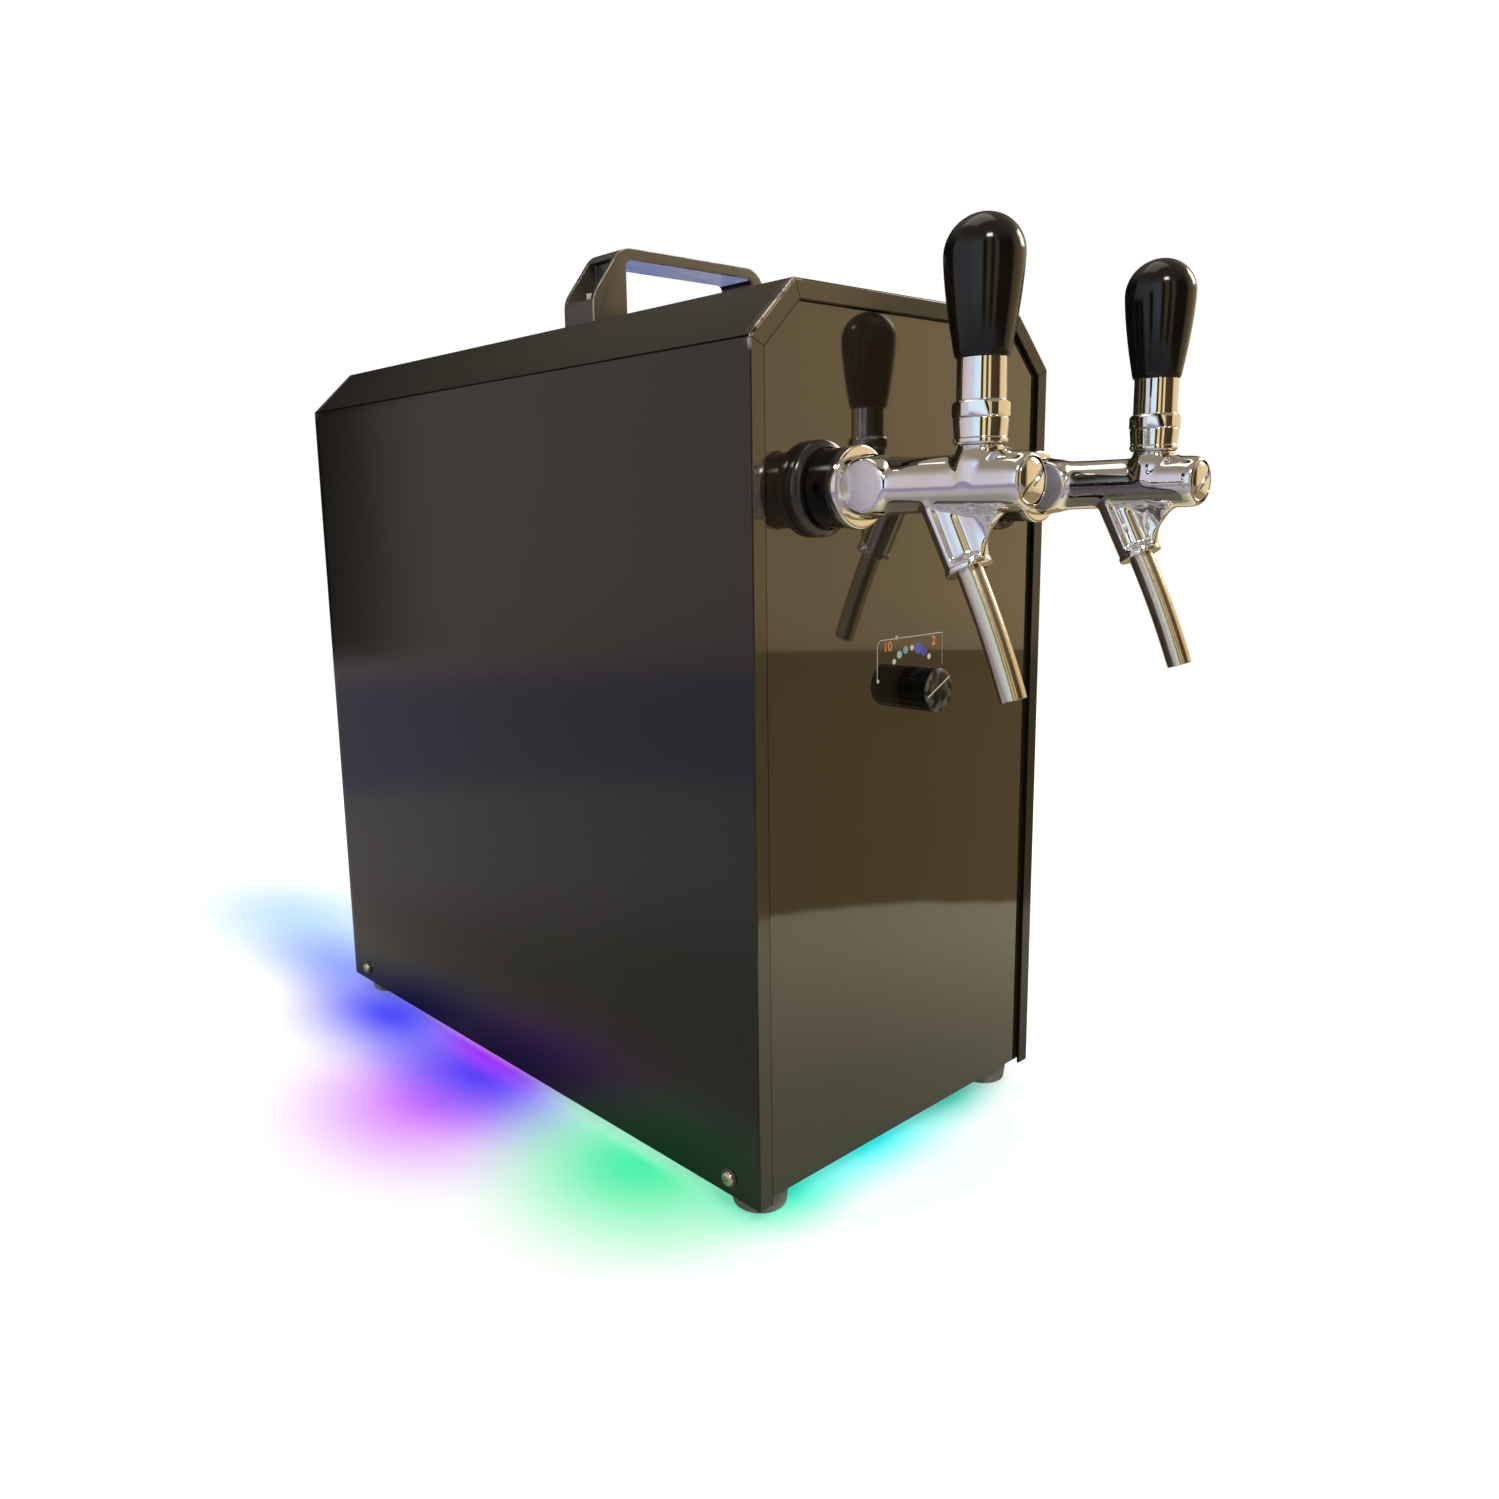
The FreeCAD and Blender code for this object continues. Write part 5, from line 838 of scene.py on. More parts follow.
def sheet_section():
    """Stations (inset, y, edge) around the sheet, from the front rim over the outside to the rear."""
    faint = 0.1
    stations = [(inset, COVER_FRONT, faint) for inset in (
        FLANGE, FLANGE - RIM_LINE, FLANGE - 2 * RIM_LINE, BEND + 0.3)]
    quarter = [math.pi / 2 * step / 4 for step in range(5)]
    stations += [(BEND * (1 - math.sin(angle)), COVER_FRONT + BEND * (1 - math.cos(angle)), 1.0)
                 for angle in quarter]
    stations += [(0, COVER_FRONT + BEND + 0.25, 0.12), (0, COVER_FRONT + NEAR_BEND, 0),
                 (0, COVER_REAR - NEAR_BEND, 0)]
    stations += [(BEND * (1 - math.cos(angle)), COVER_REAR - BEND * (1 - math.sin(angle)), 0.5)
                 for angle in quarter]
    stations += [(FLANGE, COVER_REAR, faint), (FLANGE, COVER_REAR - SHEET, 0),
                 (SHEET, COVER_REAR - SHEET, 0), (SHEET, COVER_FRONT + SHEET, 0),
                 (FLANGE, COVER_FRONT + SHEET, 0)]
    return stations


def fold_cover():
    vertices = []
    marks = {"edge": [], "fold": []}
    stations = sheet_section()
    for inset, y, edge in stations:
        for index, (x, z) in enumerate(bend_line(inset)):
            vertices.append((x, y, z))
            # Only the left slope gets the edge mark, for bare metal that is partly wear and partly a painted
            # highlight.
            on_slope = x < 3 + SLOPE_ACROSS - COVER_HALF and z > COVER_TOP - SLOPE_DOWN - 3
            marks["edge"].append(edge if on_slope else 0.0)
            # The fold mark puts painted shade on the middle of the outer bends.
            on_fold = index in MIDDLE_OF_BENDS and inset < 0.1
            marks["fold"].append(1.0 if on_fold else 0.0)
    width = len(vertices) // len(stations)
    faces = []
    for row in range(len(stations)):
        following = (row + 1) % len(stations)
        for column in range(width - 1):
            faces.append([row * width + column, row * width + column + 1,
                          following * width + column + 1, following * width + column])
    faces.append([row * width for row in range(len(stations))])
    faces.append([row * width + width - 1 for row in range(len(stations))])
    return put("cover", vertices, faces, marks=marks)


def seam_cutters():
    """Thin bars on the mitres of the folded rims."""
    half_width = 0.16
    above = 0.5
    deep = 0.7
    cutters = []
    for outer, inner in zip(bend_corners(SHEET * 0.6), bend_corners(FLANGE + 0.4)):
        outer = Vector(outer)
        inner = Vector(inner)
        across = Vector((inner.y - outer.y, outer.x - inner.x)).normalized() * half_width
        outline = [outer - across, inner - across, inner + across, outer + across]
        cutters.append(prism("seam", outline, COVER_FRONT - above, COVER_FRONT + deep, UPRIGHT))
        cutters.append(prism("seam", outline, COVER_REAR - deep, COVER_REAR + above, UPRIGHT))
    return cutters


def painted_rim_shade(point):
    """1 on the inner rim of the front flange, where a line of painted shade goes."""
    across = COVER_HALF - abs(point.x)
    down = COVER_TOP - point.z
    slope = across * SLOPE_DOWN + down * SLOPE_ACROSS - SLOPE_ACROSS * SLOPE_DOWN
    inset = min(across, down, slope / math.hypot(SLOPE_ACROSS, SLOPE_DOWN))
    return 1.0 if point.y < COVER_FRONT + 0.02 and inset > FLANGE - 1.5 * RIM_LINE else 0.0


cover = fold_cover()
carve(cover, joined("seams", *seam_cutters()))
mark_edges(cover, painted_rim_shade, "rim")
dress(cover, "dark_paint", replaced=["outer_cover"], smooth=25)

# %% [markdown]
# ## Tap casting
#
# The chrome body of a tap is cast: tube, neck, side bosses and spout holder flow into each
# other with soft fillets. Filleting their joints one by one is fiddly. Here the raw shapes
# are laid into each other, a voxel remesh melts them into one skin, and smoothing that skin
# rounds every joint at once. What the real one gets on the lathe, the flange, the rim of the
# holder, the mouth and the bores, is cut and joined afterwards, so that it stays crisp.

# %% Sizes of a tap
BARREL = 11.9
TUBE_START = 12.5
TUBE_ROOT = 11.2
NOSE = 109.3
NOSE_RIM = 9.9
NOSE_CURVE = 7.0
MOUTH = 9.6
FLANGE_R = 18.3
FLANGE_START = 20.3
FLANGE_THICK = 4.5
BOSS_FORWARD = 34.5
DISC_SEAT = 12.2
LEVER_FORWARD = COVER_FRONT - PIVOT_Y
PIVOT_RISE = 12.4
NECK = 9.3
COLLAR_LIFT = 2.3
COLLAR_GAP = 0.35
LEVER_TRAVEL = 20
HOLDER_FORWARD = 81.1
HOLDER_DROP = 35
HOLDER_LEAN = math.radians(26)
HOLDER_R = 9.3
HOLDER_LENGTH = 36
FORWARD = (0, -1, 0)
UP = (0, 0, 1)
DOWN = (0, 0, -1)
OUTWARD = (-1, 0, 0)
INWARD = (1, 0, 0)
HOLDER_UP = (0, math.sin(HOLDER_LEAN), math.cos(HOLDER_LEAN))
ORIGIN = (TAP_X, COVER_FRONT, AXIS_Z)


def at_tap(forward=0.0, side=0.0, rise=0.0):
    """A point of the left tap: forward of the cover, to the side, above the tap's axis."""
    return ORIGIN[0] + side, ORIGIN[1] - forward, ORIGIN[2] + rise


def on_tap(direction, forward=0.0, side=0.0, rise=0.0):
    """A placing at such a point, its own Z axis along the direction."""
    return along(direction, *at_tap(forward, side, rise))


IN_HOLDER = on_tap(HOLDER_UP, HOLDER_FORWARD, 0, -HOLDER_DROP)
print("lever", round(LEVER_FORWARD, 2), "mm in front of the cover")

# %% Lay the raw shapes of the casting


def raw_casting():
    """Tube, back, neck, two bosses, spout holder and web, laid into each other."""
    tube = rounded([(0, TUBE_START), (TUBE_ROOT, TUBE_START), (TUBE_ROOT, 21), (14.6, 22), (14.4, 29),
                    (BARREL + 0.2, 41), (BARREL, 50)])
    tube += dome(BARREL - NOSE_RIM, NOSE - NOSE_CURVE, NOSE_CURVE, 10, NOSE_RIM)
    neck = [(0, 0), (NECK + 3.2, 0), (NECK + 2.4, 8), (NECK + 1.0, 11.4)]
    boss = rounded([(0, 0), (13.6, 0), (12.4, 10.5), (12.0, 13.5, 0.8), (0, 13.5)])
    flow_boss = rounded([(0, 0), (8.4, 0), (7.4, 12.4), (7.4, 14.6, 0.6), (0, 14.6)])
    return joined(
        "left_casting",
        lathe("tube", tube + [(NOSE_RIM, NOSE), (0, NOSE)], on_tap(FORWARD)),
        saddle(),
        lathe("neck", neck + dome(NECK, PIVOT_RISE, NECK, 12) + [(0, PIVOT_RISE + NECK)],
              on_tap(UP, LEVER_FORWARD)),
        lathe("boss", boss, on_tap(OUTWARD, BOSS_FORWARD)),
        lathe("flow_boss", flow_boss, on_tap(INWARD, BOSS_FORWARD)),
        spout_holder(),
        web())


def saddle():
    """Flattened ball that swells the tube's back between the neck and the nose."""
    centre = (ORIGIN[0], PIVOT_Y - 5.5, ORIGIN[2] + 2.2)
    return ball("saddle", Matrix.Translation(centre), (9.6, 15.5, 11.6))


def spout_holder():
    """Slanting socket, full round behind and cut back to its core in front."""
    holder = lathe("holder", [(0, 0), (HOLDER_R, 0), (HOLDER_R + 0.5, HOLDER_LENGTH), (0, HOLDER_LENGTH)],
                   IN_HOLDER)
    web_half = 2.7
    core_r = 6.6
    ledge = 4.2
    ahead = Vector(IN_HOLDER.inverted().to_3x3() @ Vector(FORWARD))
    facing = 1 if ahead.y > 0 else -1
    pockets = []
    for side in (-1, 1):
        near = web_half * side
        far = 16 * side
        outline = [(near, -1.0 * facing), (far, -1.0 * facing), (far, 16 * facing), (near, 16 * facing)]
        pocket = prism("pocket", outline, ledge, 30, IN_HOLDER)
        core = lathe("core", [(0, 0), (core_r, 0), (core_r, 40), (0, 40)], IN_HOLDER)
        pockets.append(carve(pocket, core))
    return carve(holder, *pockets)


def web():
    """Upright web in front of the holder, its front edge one hollow curve."""
    half_thick = 2.6
    steps = 12
    start = Vector((LEVER_FORWARD + 15, -9.4))
    end = Vector((HOLDER_FORWARD + 8.3, -HOLDER_DROP + 3.6))
    pull = Vector((HOLDER_FORWARD + 5.5, -17.5))
    outline = []
    for step in range(steps + 1):
        share = step / steps
        outline.append(start * (1 - share) ** 2 + pull * (2 * share * (1 - share)) + end * share ** 2)
    outline += [(HOLDER_FORWARD - 2, -HOLDER_DROP + 6), (HOLDER_FORWARD - 14, -7)]
    vertices = [at_tap(forward, side, rise) for side in (-half_thick, half_thick)
                for forward, rise in outline]
    count = len(outline)
    faces = [list(range(count)), list(range(count, 2 * count))]
    for index in range(count):
        following = (index + 1) % count
        faces.append([index, following, count + following, count + index])
    return put("web", vertices, faces)


casting = raw_casting()
print("raw casting", len(casting.data.polygons), "faces")

# %% Melt, smooth and machine the casting
modify(casting, "REMESH", mode="VOXEL", voxel_size=0.48 * MM, use_smooth_shade=True)
settle(casting)


def scoop(side):
    """A long hollow pressed into the casting beside its web."""
    lean = Matrix.Rotation(-HOLDER_LEAN * 0.55, 4, "X")
    centre = (ORIGIN[0] + side * 6.4, ORIGIN[1] - HOLDER_FORWARD - 7.6, ORIGIN[2] - 20.5)
    return ball("scoop", Matrix.Translation(centre) @ lean, (5.4, 5.2, 12.5))


for side in (-1, 1):
    carve(casting, scoop(side), solver="MANIFOLD")
modify(casting, "SMOOTH", factor=0.5, iterations=60)
settle(casting)


def machined_additions():
    flange_end = FLANGE_START + FLANGE_THICK
    flange = rounded([(0, FLANGE_START), (FLANGE_R, FLANGE_START, 1.0), (FLANGE_R, flange_end, 1.3),
                      (0, flange_end)])
    rim_r = 9.9
    rim_height = 2.6
    rim = rounded([(0, 0), (rim_r, 0, 0.5), (rim_r, rim_height, 0.9), (0, rim_height)])
    return [lathe("flange", flange, on_tap(FORWARD)), lathe("rim", rim, IN_HOLDER)]


def plain_bore(name, radius, start, end, placing):
    return lathe(name, [(0, start), (radius, start), (radius, end), (0, end)], placing)


def machined_bores():
    """Mouth of the nose, seat of the disc, bore of the holder and the lever's slot."""
    slot_half = 3.9
    slot = [(-slot_half, -slot_half), (slot_half, -slot_half), (slot_half, 7.1), (-slot_half, 7.1)]
    pivot = Matrix.Translation((ORIGIN[0], PIVOT_Y, ORIGIN[2])) @ Matrix.Rotation(math.pi, 4, "Z")
    return [plain_bore("mouth", MOUTH, NOSE - 5.5, NOSE + 2, on_tap(FORWARD)),
            plain_bore("recess", 10.7, DISC_SEAT, 16, on_tap(OUTWARD, BOSS_FORWARD)),
            plain_bore("bore", 5.65, -1, 22, IN_HOLDER),
            prism("slot", slot, PIVOT_RISE, PIVOT_RISE + 12, pivot)]


def tilted_collars():
    """The room that the collar rocks in: rings a little larger than it, at several tilts."""
    reach = NECK + 0.15
    base = COLLAR_LIFT - COLLAR_GAP
    start = math.acos(base / reach)
    angles = [start * (1 - step / 20) for step in range(7)]
    inside = [(reach * math.sin(angle), reach * math.cos(angle)) for angle in angles]
    ring = [inside[0], (10.1, base), (11.15, base + 0.95), (11.35, inside[-1][1])] + inside[:0:-1]
    pivot = Matrix.Translation((ORIGIN[0], PIVOT_Y, ORIGIN[2] + PIVOT_RISE))
    return [lathe("room", ring, pivot @ Matrix.Rotation(math.radians(LEVER_TRAVEL * quarter / 4), 4, "X"))
            for quarter in (1, 2, 3, 4)]


for addition in machined_additions():
    carve(casting, addition, operation="UNION", solver="MANIFOLD")
for tool in machined_bores() + tilted_collars():
    carve(casting, tool, solver="MANIFOLD")
print("casting", len(casting.data.polygons), "faces")

# %% [markdown]
# ## Turned parts of a tap
#
# Rosette, coupling nut, disc, plug, collar, sleeve and pear-shaped handle are all turned.
# Their outlines carry the small roundings that catch the light. The coupling nut also has
# four holes for a hook spanner, and the plug a coin slot.

# %% Turn the fixed parts


def rosette():
    rear = COVER_FRONT - PANEL_Y
    bore = 11.8
    lip = rear + 7.2
    return lathe("left_rosette", rounded([
        (bore, rear), (21.8, rear, 0.2), (21.8, rear + 4.6, 2.6), (18.6, lip, 0.5),
        (17.9, lip - 0.8, 0.3), (bore, lip - 0.8)]), on_tap(FORWARD), 128)


def coupling_nut():
    bore = 11.45
    nut = lathe("left_coupling_nut", rounded([
        (bore, 5.0), (17.0, 5.0, 0.8), (17.0, 6.6, 0.3), (17.6, 7.2, 0.4), (17.6, 18.6, 0.3),
        (17.1, 19.2, 0.3), (17.1, FLANGE_START, 0.7), (bore, FLANGE_START)]), on_tap(FORWARD), 128)
    hole = [(0, 14.2), (2.0, 14.2), (2.0, 20), (0, 20)]
    return carve(nut, *[lathe("hole", hole, on_tap(direction, 12.9), 32)
                        for direction in (OUTWARD, INWARD, UP, DOWN)])


def side_disc():
    face = DISC_SEAT + 1.2
    return lathe("left_disc", rounded([(0, DISC_SEAT), (10.65, DISC_SEAT), (10.65, face, 0.25), (0, face)]),
                 on_tap(OUTWARD, BOSS_FORWARD), 96)


def nose_plug():
    """A domed plug with a slanting coin slot."""
    rim = 9.1
    slot_turn = -52
    plug = lathe("left_plug", [(0, 103.8), (rim, 103.8)] + dome(rim, 108.1, 2.4, 10) + [(0, 110.5)],
                 on_tap(FORWARD))
    groove = prism("groove", block(1.4, 12), 108.3, 113,
                   on_tap(FORWARD) @ Matrix.Rotation(math.radians(slot_turn), 4, "Z"))
    return soften(carve(plug, groove), 0.15)


def pivot_pin():
    half = 9.3
    return lathe("left_pin", rounded([(0, -half), (1.5, -half, 0.4), (1.5, half, 0.4), (0, half)]),
                 on_tap(INWARD, LEVER_FORWARD, 0, PIVOT_RISE), 32)


FIXED_PARTS = [
    (rosette(), "grey_plastic", "rosettes"),
    (coupling_nut(), "black_nut", "coupling_nuts"),
    (side_disc(), "disc_chrome", "side_discs"),
    (nose_plug(), "chrome", "nose_plugs"),
    (pivot_pin(), "steel", "pivot_pins"),
]
print("fixed parts", ", ".join(piece.name for piece, _, _ in FIXED_PARTS))

# %% [markdown]
# ## Spout
#
# The spout is a thin steel tube with one long bend. A ring is carried along the bend for the
# outside and another for the bore, and both ends are closed by a narrow rounded lip.

# %% Bend the spout
SPOUT_R = 5.6
SPOUT_BORE = 4.8
SPOUT_INSERT = 17.9
SPOUT_BEND = 46.5
SPOUT_TURN = math.radians(6)
SPOUT_END = 3.5


def spout_path():
    """Points (forward, rise, heading) from inside the holder to the tip."""
    steps = 18
    radius = SPOUT_BEND / SPOUT_TURN
    sine = math.sin(HOLDER_LEAN)
    cosine = math.cos(HOLDER_LEAN)
    path = [(HOLDER_FORWARD + distance * sine, -HOLDER_DROP - distance * cosine, HOLDER_LEAN)
            for distance in (-SPOUT_INSERT, -9, 0, 6)]
    forward, rise, _ = path[-1]
    for step in range(1, steps + 1):
        heading = HOLDER_LEAN - SPOUT_TURN * step / steps
        path.append((forward + radius * (math.cos(heading) - cosine),
                     rise - radius * (sine - math.sin(heading)), heading))
    forward, rise, heading = path[-1]
    path.append((forward + SPOUT_END * math.sin(heading), rise - SPOUT_END * math.cos(heading), heading))
    return path


def spout(sides=64):
    path = spout_path()
    end = len(path) - 1
    layers = [(index, SPOUT_R) for index in range(end)]
    layers += [(end, SPOUT_R - 0.1), (end, SPOUT_BORE + 0.1)]
    layers += [(index, SPOUT_BORE) for index in range(end - 1, -1, -1)]
    vertices = []
    for index, radius in layers:
        forward, rise, heading = path[index]
        for side, lift in circle(radius, sides):
            vertices.append(at_tap(forward + lift * math.cos(heading), side, rise + lift * math.sin(heading)))
    faces = []
    for layer in range(len(layers)):
        other = (layer + 1) % len(layers)
        for side in range(sides):
            following = (side + 1) % sides
            faces.append([layer * sides + side, layer * sides + following,
                          other * sides + following, other * sides + side])
    return put("left_spout_tube", vertices, faces)


FIXED_PARTS.append((spout(), "steel", "left_spout"))
tip = spout_path()[-1]
print("spout tip", round(COVER_FRONT - tip[0], 1), round(AXIS_Z + tip[1], 1))

# %% [markdown]
# ## Lever
#
# The lever rocks on the neck's dome. Its collar is hollow underneath, above it sits a
# hexagonal lock nut with turned corners, then a chrome sleeve and the pear-shaped handle.

# %% Turn the parts of the lever
COLLAR_LOW = PIVOT_RISE + COLLAR_LIFT
COLLAR_HIGH = COLLAR_LOW + 10.3
SLEEVE_LOW = COLLAR_HIGH + 6.5
SLEEVE_R = 9.85
PEAR_LOW = SLEEVE_LOW + 16.5
PEAR_WIDE = PEAR_LOW + 38.3
PEAR_R = 15.7
PEAR_FOOT = 10.7
STEM_BORE = 3.3
NUT_CORNER = 12.3
NUT_TURNED = 11.4
ON_LEVER = on_tap(UP, LEVER_FORWARD)


def collar():
    """A ring, hollow underneath so that it rocks on the neck's dome, with one turned groove."""
    hollow = NECK + 0.3
    steps = 12
    start = math.acos(COLLAR_LIFT / hollow)
    stop = math.asin(STEM_BORE / hollow)
    angles = [start + (stop - start) * step / steps for step in range(steps + 1)]
    inside = [(hollow * math.sin(angle), PIVOT_RISE + hollow * math.cos(angle)) for angle in angles]
    outside = rounded([
        (9.9, COLLAR_LOW), (10.75, COLLAR_LOW + 0.8, 0.3), (10.85, COLLAR_LOW + 2.2, 0.2),
        (10.45, COLLAR_LOW + 2.8, 0.3), (11.0, COLLAR_HIGH - 1.2, 0.6), (10.9, COLLAR_HIGH, 0.4),
        (STEM_BORE, COLLAR_HIGH)])
    return lathe("left_collar", inside[:1] + outside + inside[:0:-1], ON_LEVER)


def lock_nut():
    """A hexagon whose corners are turned off."""
    nut = prism("left_hexagon", circle(NUT_CORNER, 6), COLLAR_HIGH, SLEEVE_LOW, ON_LEVER)
    turning = lathe("turning", rounded([
        (STEM_BORE, COLLAR_HIGH), (10.9, COLLAR_HIGH), (NUT_TURNED, COLLAR_HIGH + 0.6, 0.4),
        (NUT_TURNED, SLEEVE_LOW - 1.1, 0.6), (10.4, SLEEVE_LOW), (STEM_BORE, SLEEVE_LOW)]), ON_LEVER)
    return soften(carve(nut, turning, operation="INTERSECT"), 0.22)


def sleeve():
    return lathe("left_sleeve", rounded([(STEM_BORE, SLEEVE_LOW), (SLEEVE_R, SLEEVE_LOW, 0.4),
                                         (SLEEVE_R, PEAR_LOW, 0.4), (STEM_BORE, PEAR_LOW)]), ON_LEVER)


def pear():
    """The handle: a swelling line up to its widest point, a half ball above, a blind hole below."""
    steps = 28
    hole_top = PEAR_LOW + 20
    swell = PEAR_R - PEAR_FOOT
    outline = [(STEM_BORE, PEAR_LOW), (10.2, PEAR_LOW), (10.6, PEAR_LOW + 0.35)]
    for step in range(1, steps + 1):
        share = step / steps
        outline.append((PEAR_R - swell * (1 - share) ** 1.5, PEAR_LOW + (PEAR_WIDE - PEAR_LOW) * share))
    outline += dome(PEAR_R, PEAR_WIDE, PEAR_R, 20)[1:]
    outline += [(0, PEAR_WIDE + PEAR_R), (0, hole_top), (STEM_BORE, hole_top)]
    return lathe("left_pear", outline, ON_LEVER, 128)


LEVER_PARTS = [
    (collar(), "chrome", "left_lever_collar"),
    (lock_nut(), "chrome", "left_lock_nut"),
    (sleeve(), "chrome", "left_handle_ferrule"),
    (pear(), "handle_black", "left_tap_handle"),
]
print("lever parts", ", ".join(piece.name for piece, _, _ in LEVER_PARTS))

# %% [markdown]
# ## Flow lever
#
# A small lever on the right side of each tap sets how fast the beer runs. It can't be seen
# in the photograph, so it has the plain shape that such levers have: a cap, a flat arm and
# a rounded grip.

# %% Shape the flow lever


def flow_arm():
    face = 14.9
    back = face + 2.6
    length = 26
    cap = lathe("cap", rounded([(0, face), (5.4, face), (5.4, back, 0.8), (0, back)]),
                on_tap(INWARD, BOSS_FORWARD), 64)
    outline = rounded([(-3, 0), (-2.4, 22), (-3.4, length, 2.2), (3.4, length, 2.2), (2.4, 22), (3, 0)], 6)
    placing = Matrix.Translation(at_tap(BOSS_FORWARD)) @ Matrix((
        (0, 0, 1, 0), (0, -1, 0, 0), (1, 0, 0, 0), (0, 0, 0, 1)))
    arm = soften(prism("left_flow_arm", outline, face, back, placing), 0.6, 3)
    spindle = lathe("spindle", [(0, 7.1), (2.5, 7.1), (2.5, face + 1), (0, face + 1)],
                    on_tap(INWARD, BOSS_FORWARD), 48)
    return carve(arm, cap, spindle, operation="UNION")


flow = flow_arm()
print("flow lever", len(flow.data.polygons), "faces")

# %% Set both taps on the cabinet


def both(obj, slot, replaced, body="cabinet"):
    """Dress the left piece and its right-hand copy."""
    right = moved_copy(obj, obj.name.replace("left", "right"), -2 * TAP_X)
    for side, piece in (("left", obj), ("right", right)):
        dress(piece, slot, body.replace("left", side), [replaced.replace("left", side)])


both(casting, "chrome", "left_tap_body")
for piece, slot, node in FIXED_PARTS:
    both(piece, slot, node)
for piece, slot, node in LEVER_PARTS:
    both(piece, slot, node, "left_lever_body")
both(flow, "chrome", "left_flow_lever", "left_flow_lever_body")

# %% [markdown]
# ## Thermostat knob
#
# The knob has eighteen shallow grip flutes. They follow a rule, so Geometry Nodes press them
# into a turned blank: a wave around the axis moves each point of the wall inwards, and a
# mask keeps face and skirt plain.

# %% Press the flutes into the knob
DIAL_Z = (high("thermostat_knob", "z") + low("thermostat_knob", "z")) / 2
KNOB_REAR = high("thermostat_knob", "y")
KNOB_FACE = low("thermostat_knob", "y")
FLUTES = 18
SKIRT = 7.0
SKIRT_R = 12.9
KNOB_R = 11.2
DRAFT = 0.2
FLUTE_FADE = 0.0006


class Geometry(Nodes):
    """A Geometry Nodes tree with named inputs, built node by node."""

    def __init__(self, name, inputs):
        self.tree = bpy.data.node_groups.new(name, "GeometryNodeTree")
        self.keys = {}
        self.add_socket("Geometry", "OUTPUT", "Geometry")
        self.add_socket("Geometry", "INPUT", "Geometry")
        for title, kind in inputs.items():
            self.keys[title] = self.add_socket(title, "INPUT", kind).identifier
        self.entry = self.tree.nodes.new("NodeGroupInput")
        self.exit = self.tree.nodes.new("NodeGroupOutput")

    def add_socket(self, title, in_out, kind):
        return self.tree.interface.new_socket(title, in_out=in_out, socket_type="NodeSocket" + kind)

    def input(self, title):
        return Value(self, self.entry.outputs[title])

    def end(self, value):
        """Every tree ends in real geometry with its material."""
        real = self.add("GeometryNodeRealizeInstances", inputs={"Geometry": value})
        coated = self.add("GeometryNodeSetMaterial", inputs={
            "Geometry": real, "Material": self.input("Finish")})
        self.tree.links.new(coated.socket, self.exit.inputs[0])
        return self

    def apply(self, obj, **values):
        modifier = obj.modifiers.new(self.tree.name, "NODES")
        modifier.node_group = self.tree
        for title, value in values.items():
            modifier[self.keys[title]] = value
        return settle(obj)


def flute_tree():
    tree = Geometry("flutes", {"Count": "Int", "Depth": "Float", "Middle": "Vector", "From": "Float",
                               "To": "Float", "Finish": "Material"})
    position = tree.add("GeometryNodeInputPosition")
    x, y, z = tree.axes(tree.add("ShaderNodeVectorMath", {"operation": "SUBTRACT"}, {
        0: position, 1: tree.input("Middle")}))
    wave = (z.math("ARCTAN2", x) * tree.input("Count")).math("COSINE")
    groove = wave.between(0.35, 1.0)
    start = y.between(tree.input("From") - FLUTE_FADE, tree.input("From") + FLUTE_FADE)
    stop = y.between(tree.input("To") + FLUTE_FADE, tree.input("To") - FLUTE_FADE)
    radius = (x * x + z * z).math("SQRT")
    wall = radius.between(0.0100, 0.0106)
    push = groove * start * stop * wall * tree.input("Depth") * -1.0
    move = tree.add("ShaderNodeCombineXYZ", inputs={0: x / radius * push, 2: z / radius * push})
    return tree.end(tree.add("GeometryNodeSetPosition", inputs={
        "Geometry": tree.input("Geometry"), "Offset": move}))


def knob():
    depth = KNOB_REAR - KNOB_FACE
    steps = 16
    rise = depth - SKIRT - 1.6
    top_r = KNOB_R - DRAFT
    skirt = rounded([(SKIRT_R, 0, 0.3), (13.4, 2.0, 0.5), (SKIRT_R, SKIRT, 0.5), (KNOB_R, SKIRT + 0.1)], 4)
    wall = [(KNOB_R - DRAFT * step / steps, SKIRT + 0.6 + rise * step / steps) for step in range(steps + 1)]
    face = rounded([(top_r, depth - 1.0), (top_r, depth, 0.6), (0, depth)], 4)[1:]
    placing = along(FORWARD, 0, KNOB_REAR, DIAL_Z)
    blank = lathe("dial", [(0, 0)] + skirt + wall + face, placing, FLUTES * 16)
    return flute_tree().apply(
        blank, Count=FLUTES, Depth=0.5 * MM, Middle=(0, 0, DIAL_Z * MM), From=(KNOB_FACE + 1.2) * MM,
        To=(KNOB_REAR - SKIRT - 0.8) * MM, Finish=FINISHES["knob_black"])


def knob_rim_highlight(point):
    """Where a highlight is painted: 1 on the rim of the skirt and less on the rim of the face."""
    depth = KNOB_REAR - point.y
    radius = math.hypot(point.x, point.z - DIAL_Z)
    on_skirt = SKIRT - 0.6 < depth < SKIRT + 0.05 and radius > SKIRT_R - 0.7
    on_face = depth > KNOB_REAR - KNOB_FACE - 0.75 and radius > KNOB_R - 0.9
    return 1.0 if on_skirt else 0.4 * on_face


dress(mark_edges(knob(), knob_rim_highlight), "knob_black", "dial_knob", ["thermostat_knob"], 40)

# %% [markdown]
# ## Printed dial
#
# Around the knob the panel carries a thin printed frame, seven dots from warm to cold and a
# number at each end. Print has next to no height, so each mark is a flat mesh a twentieth of
# a millimetre proud of the panel. The pointer on the knob is made the same way.

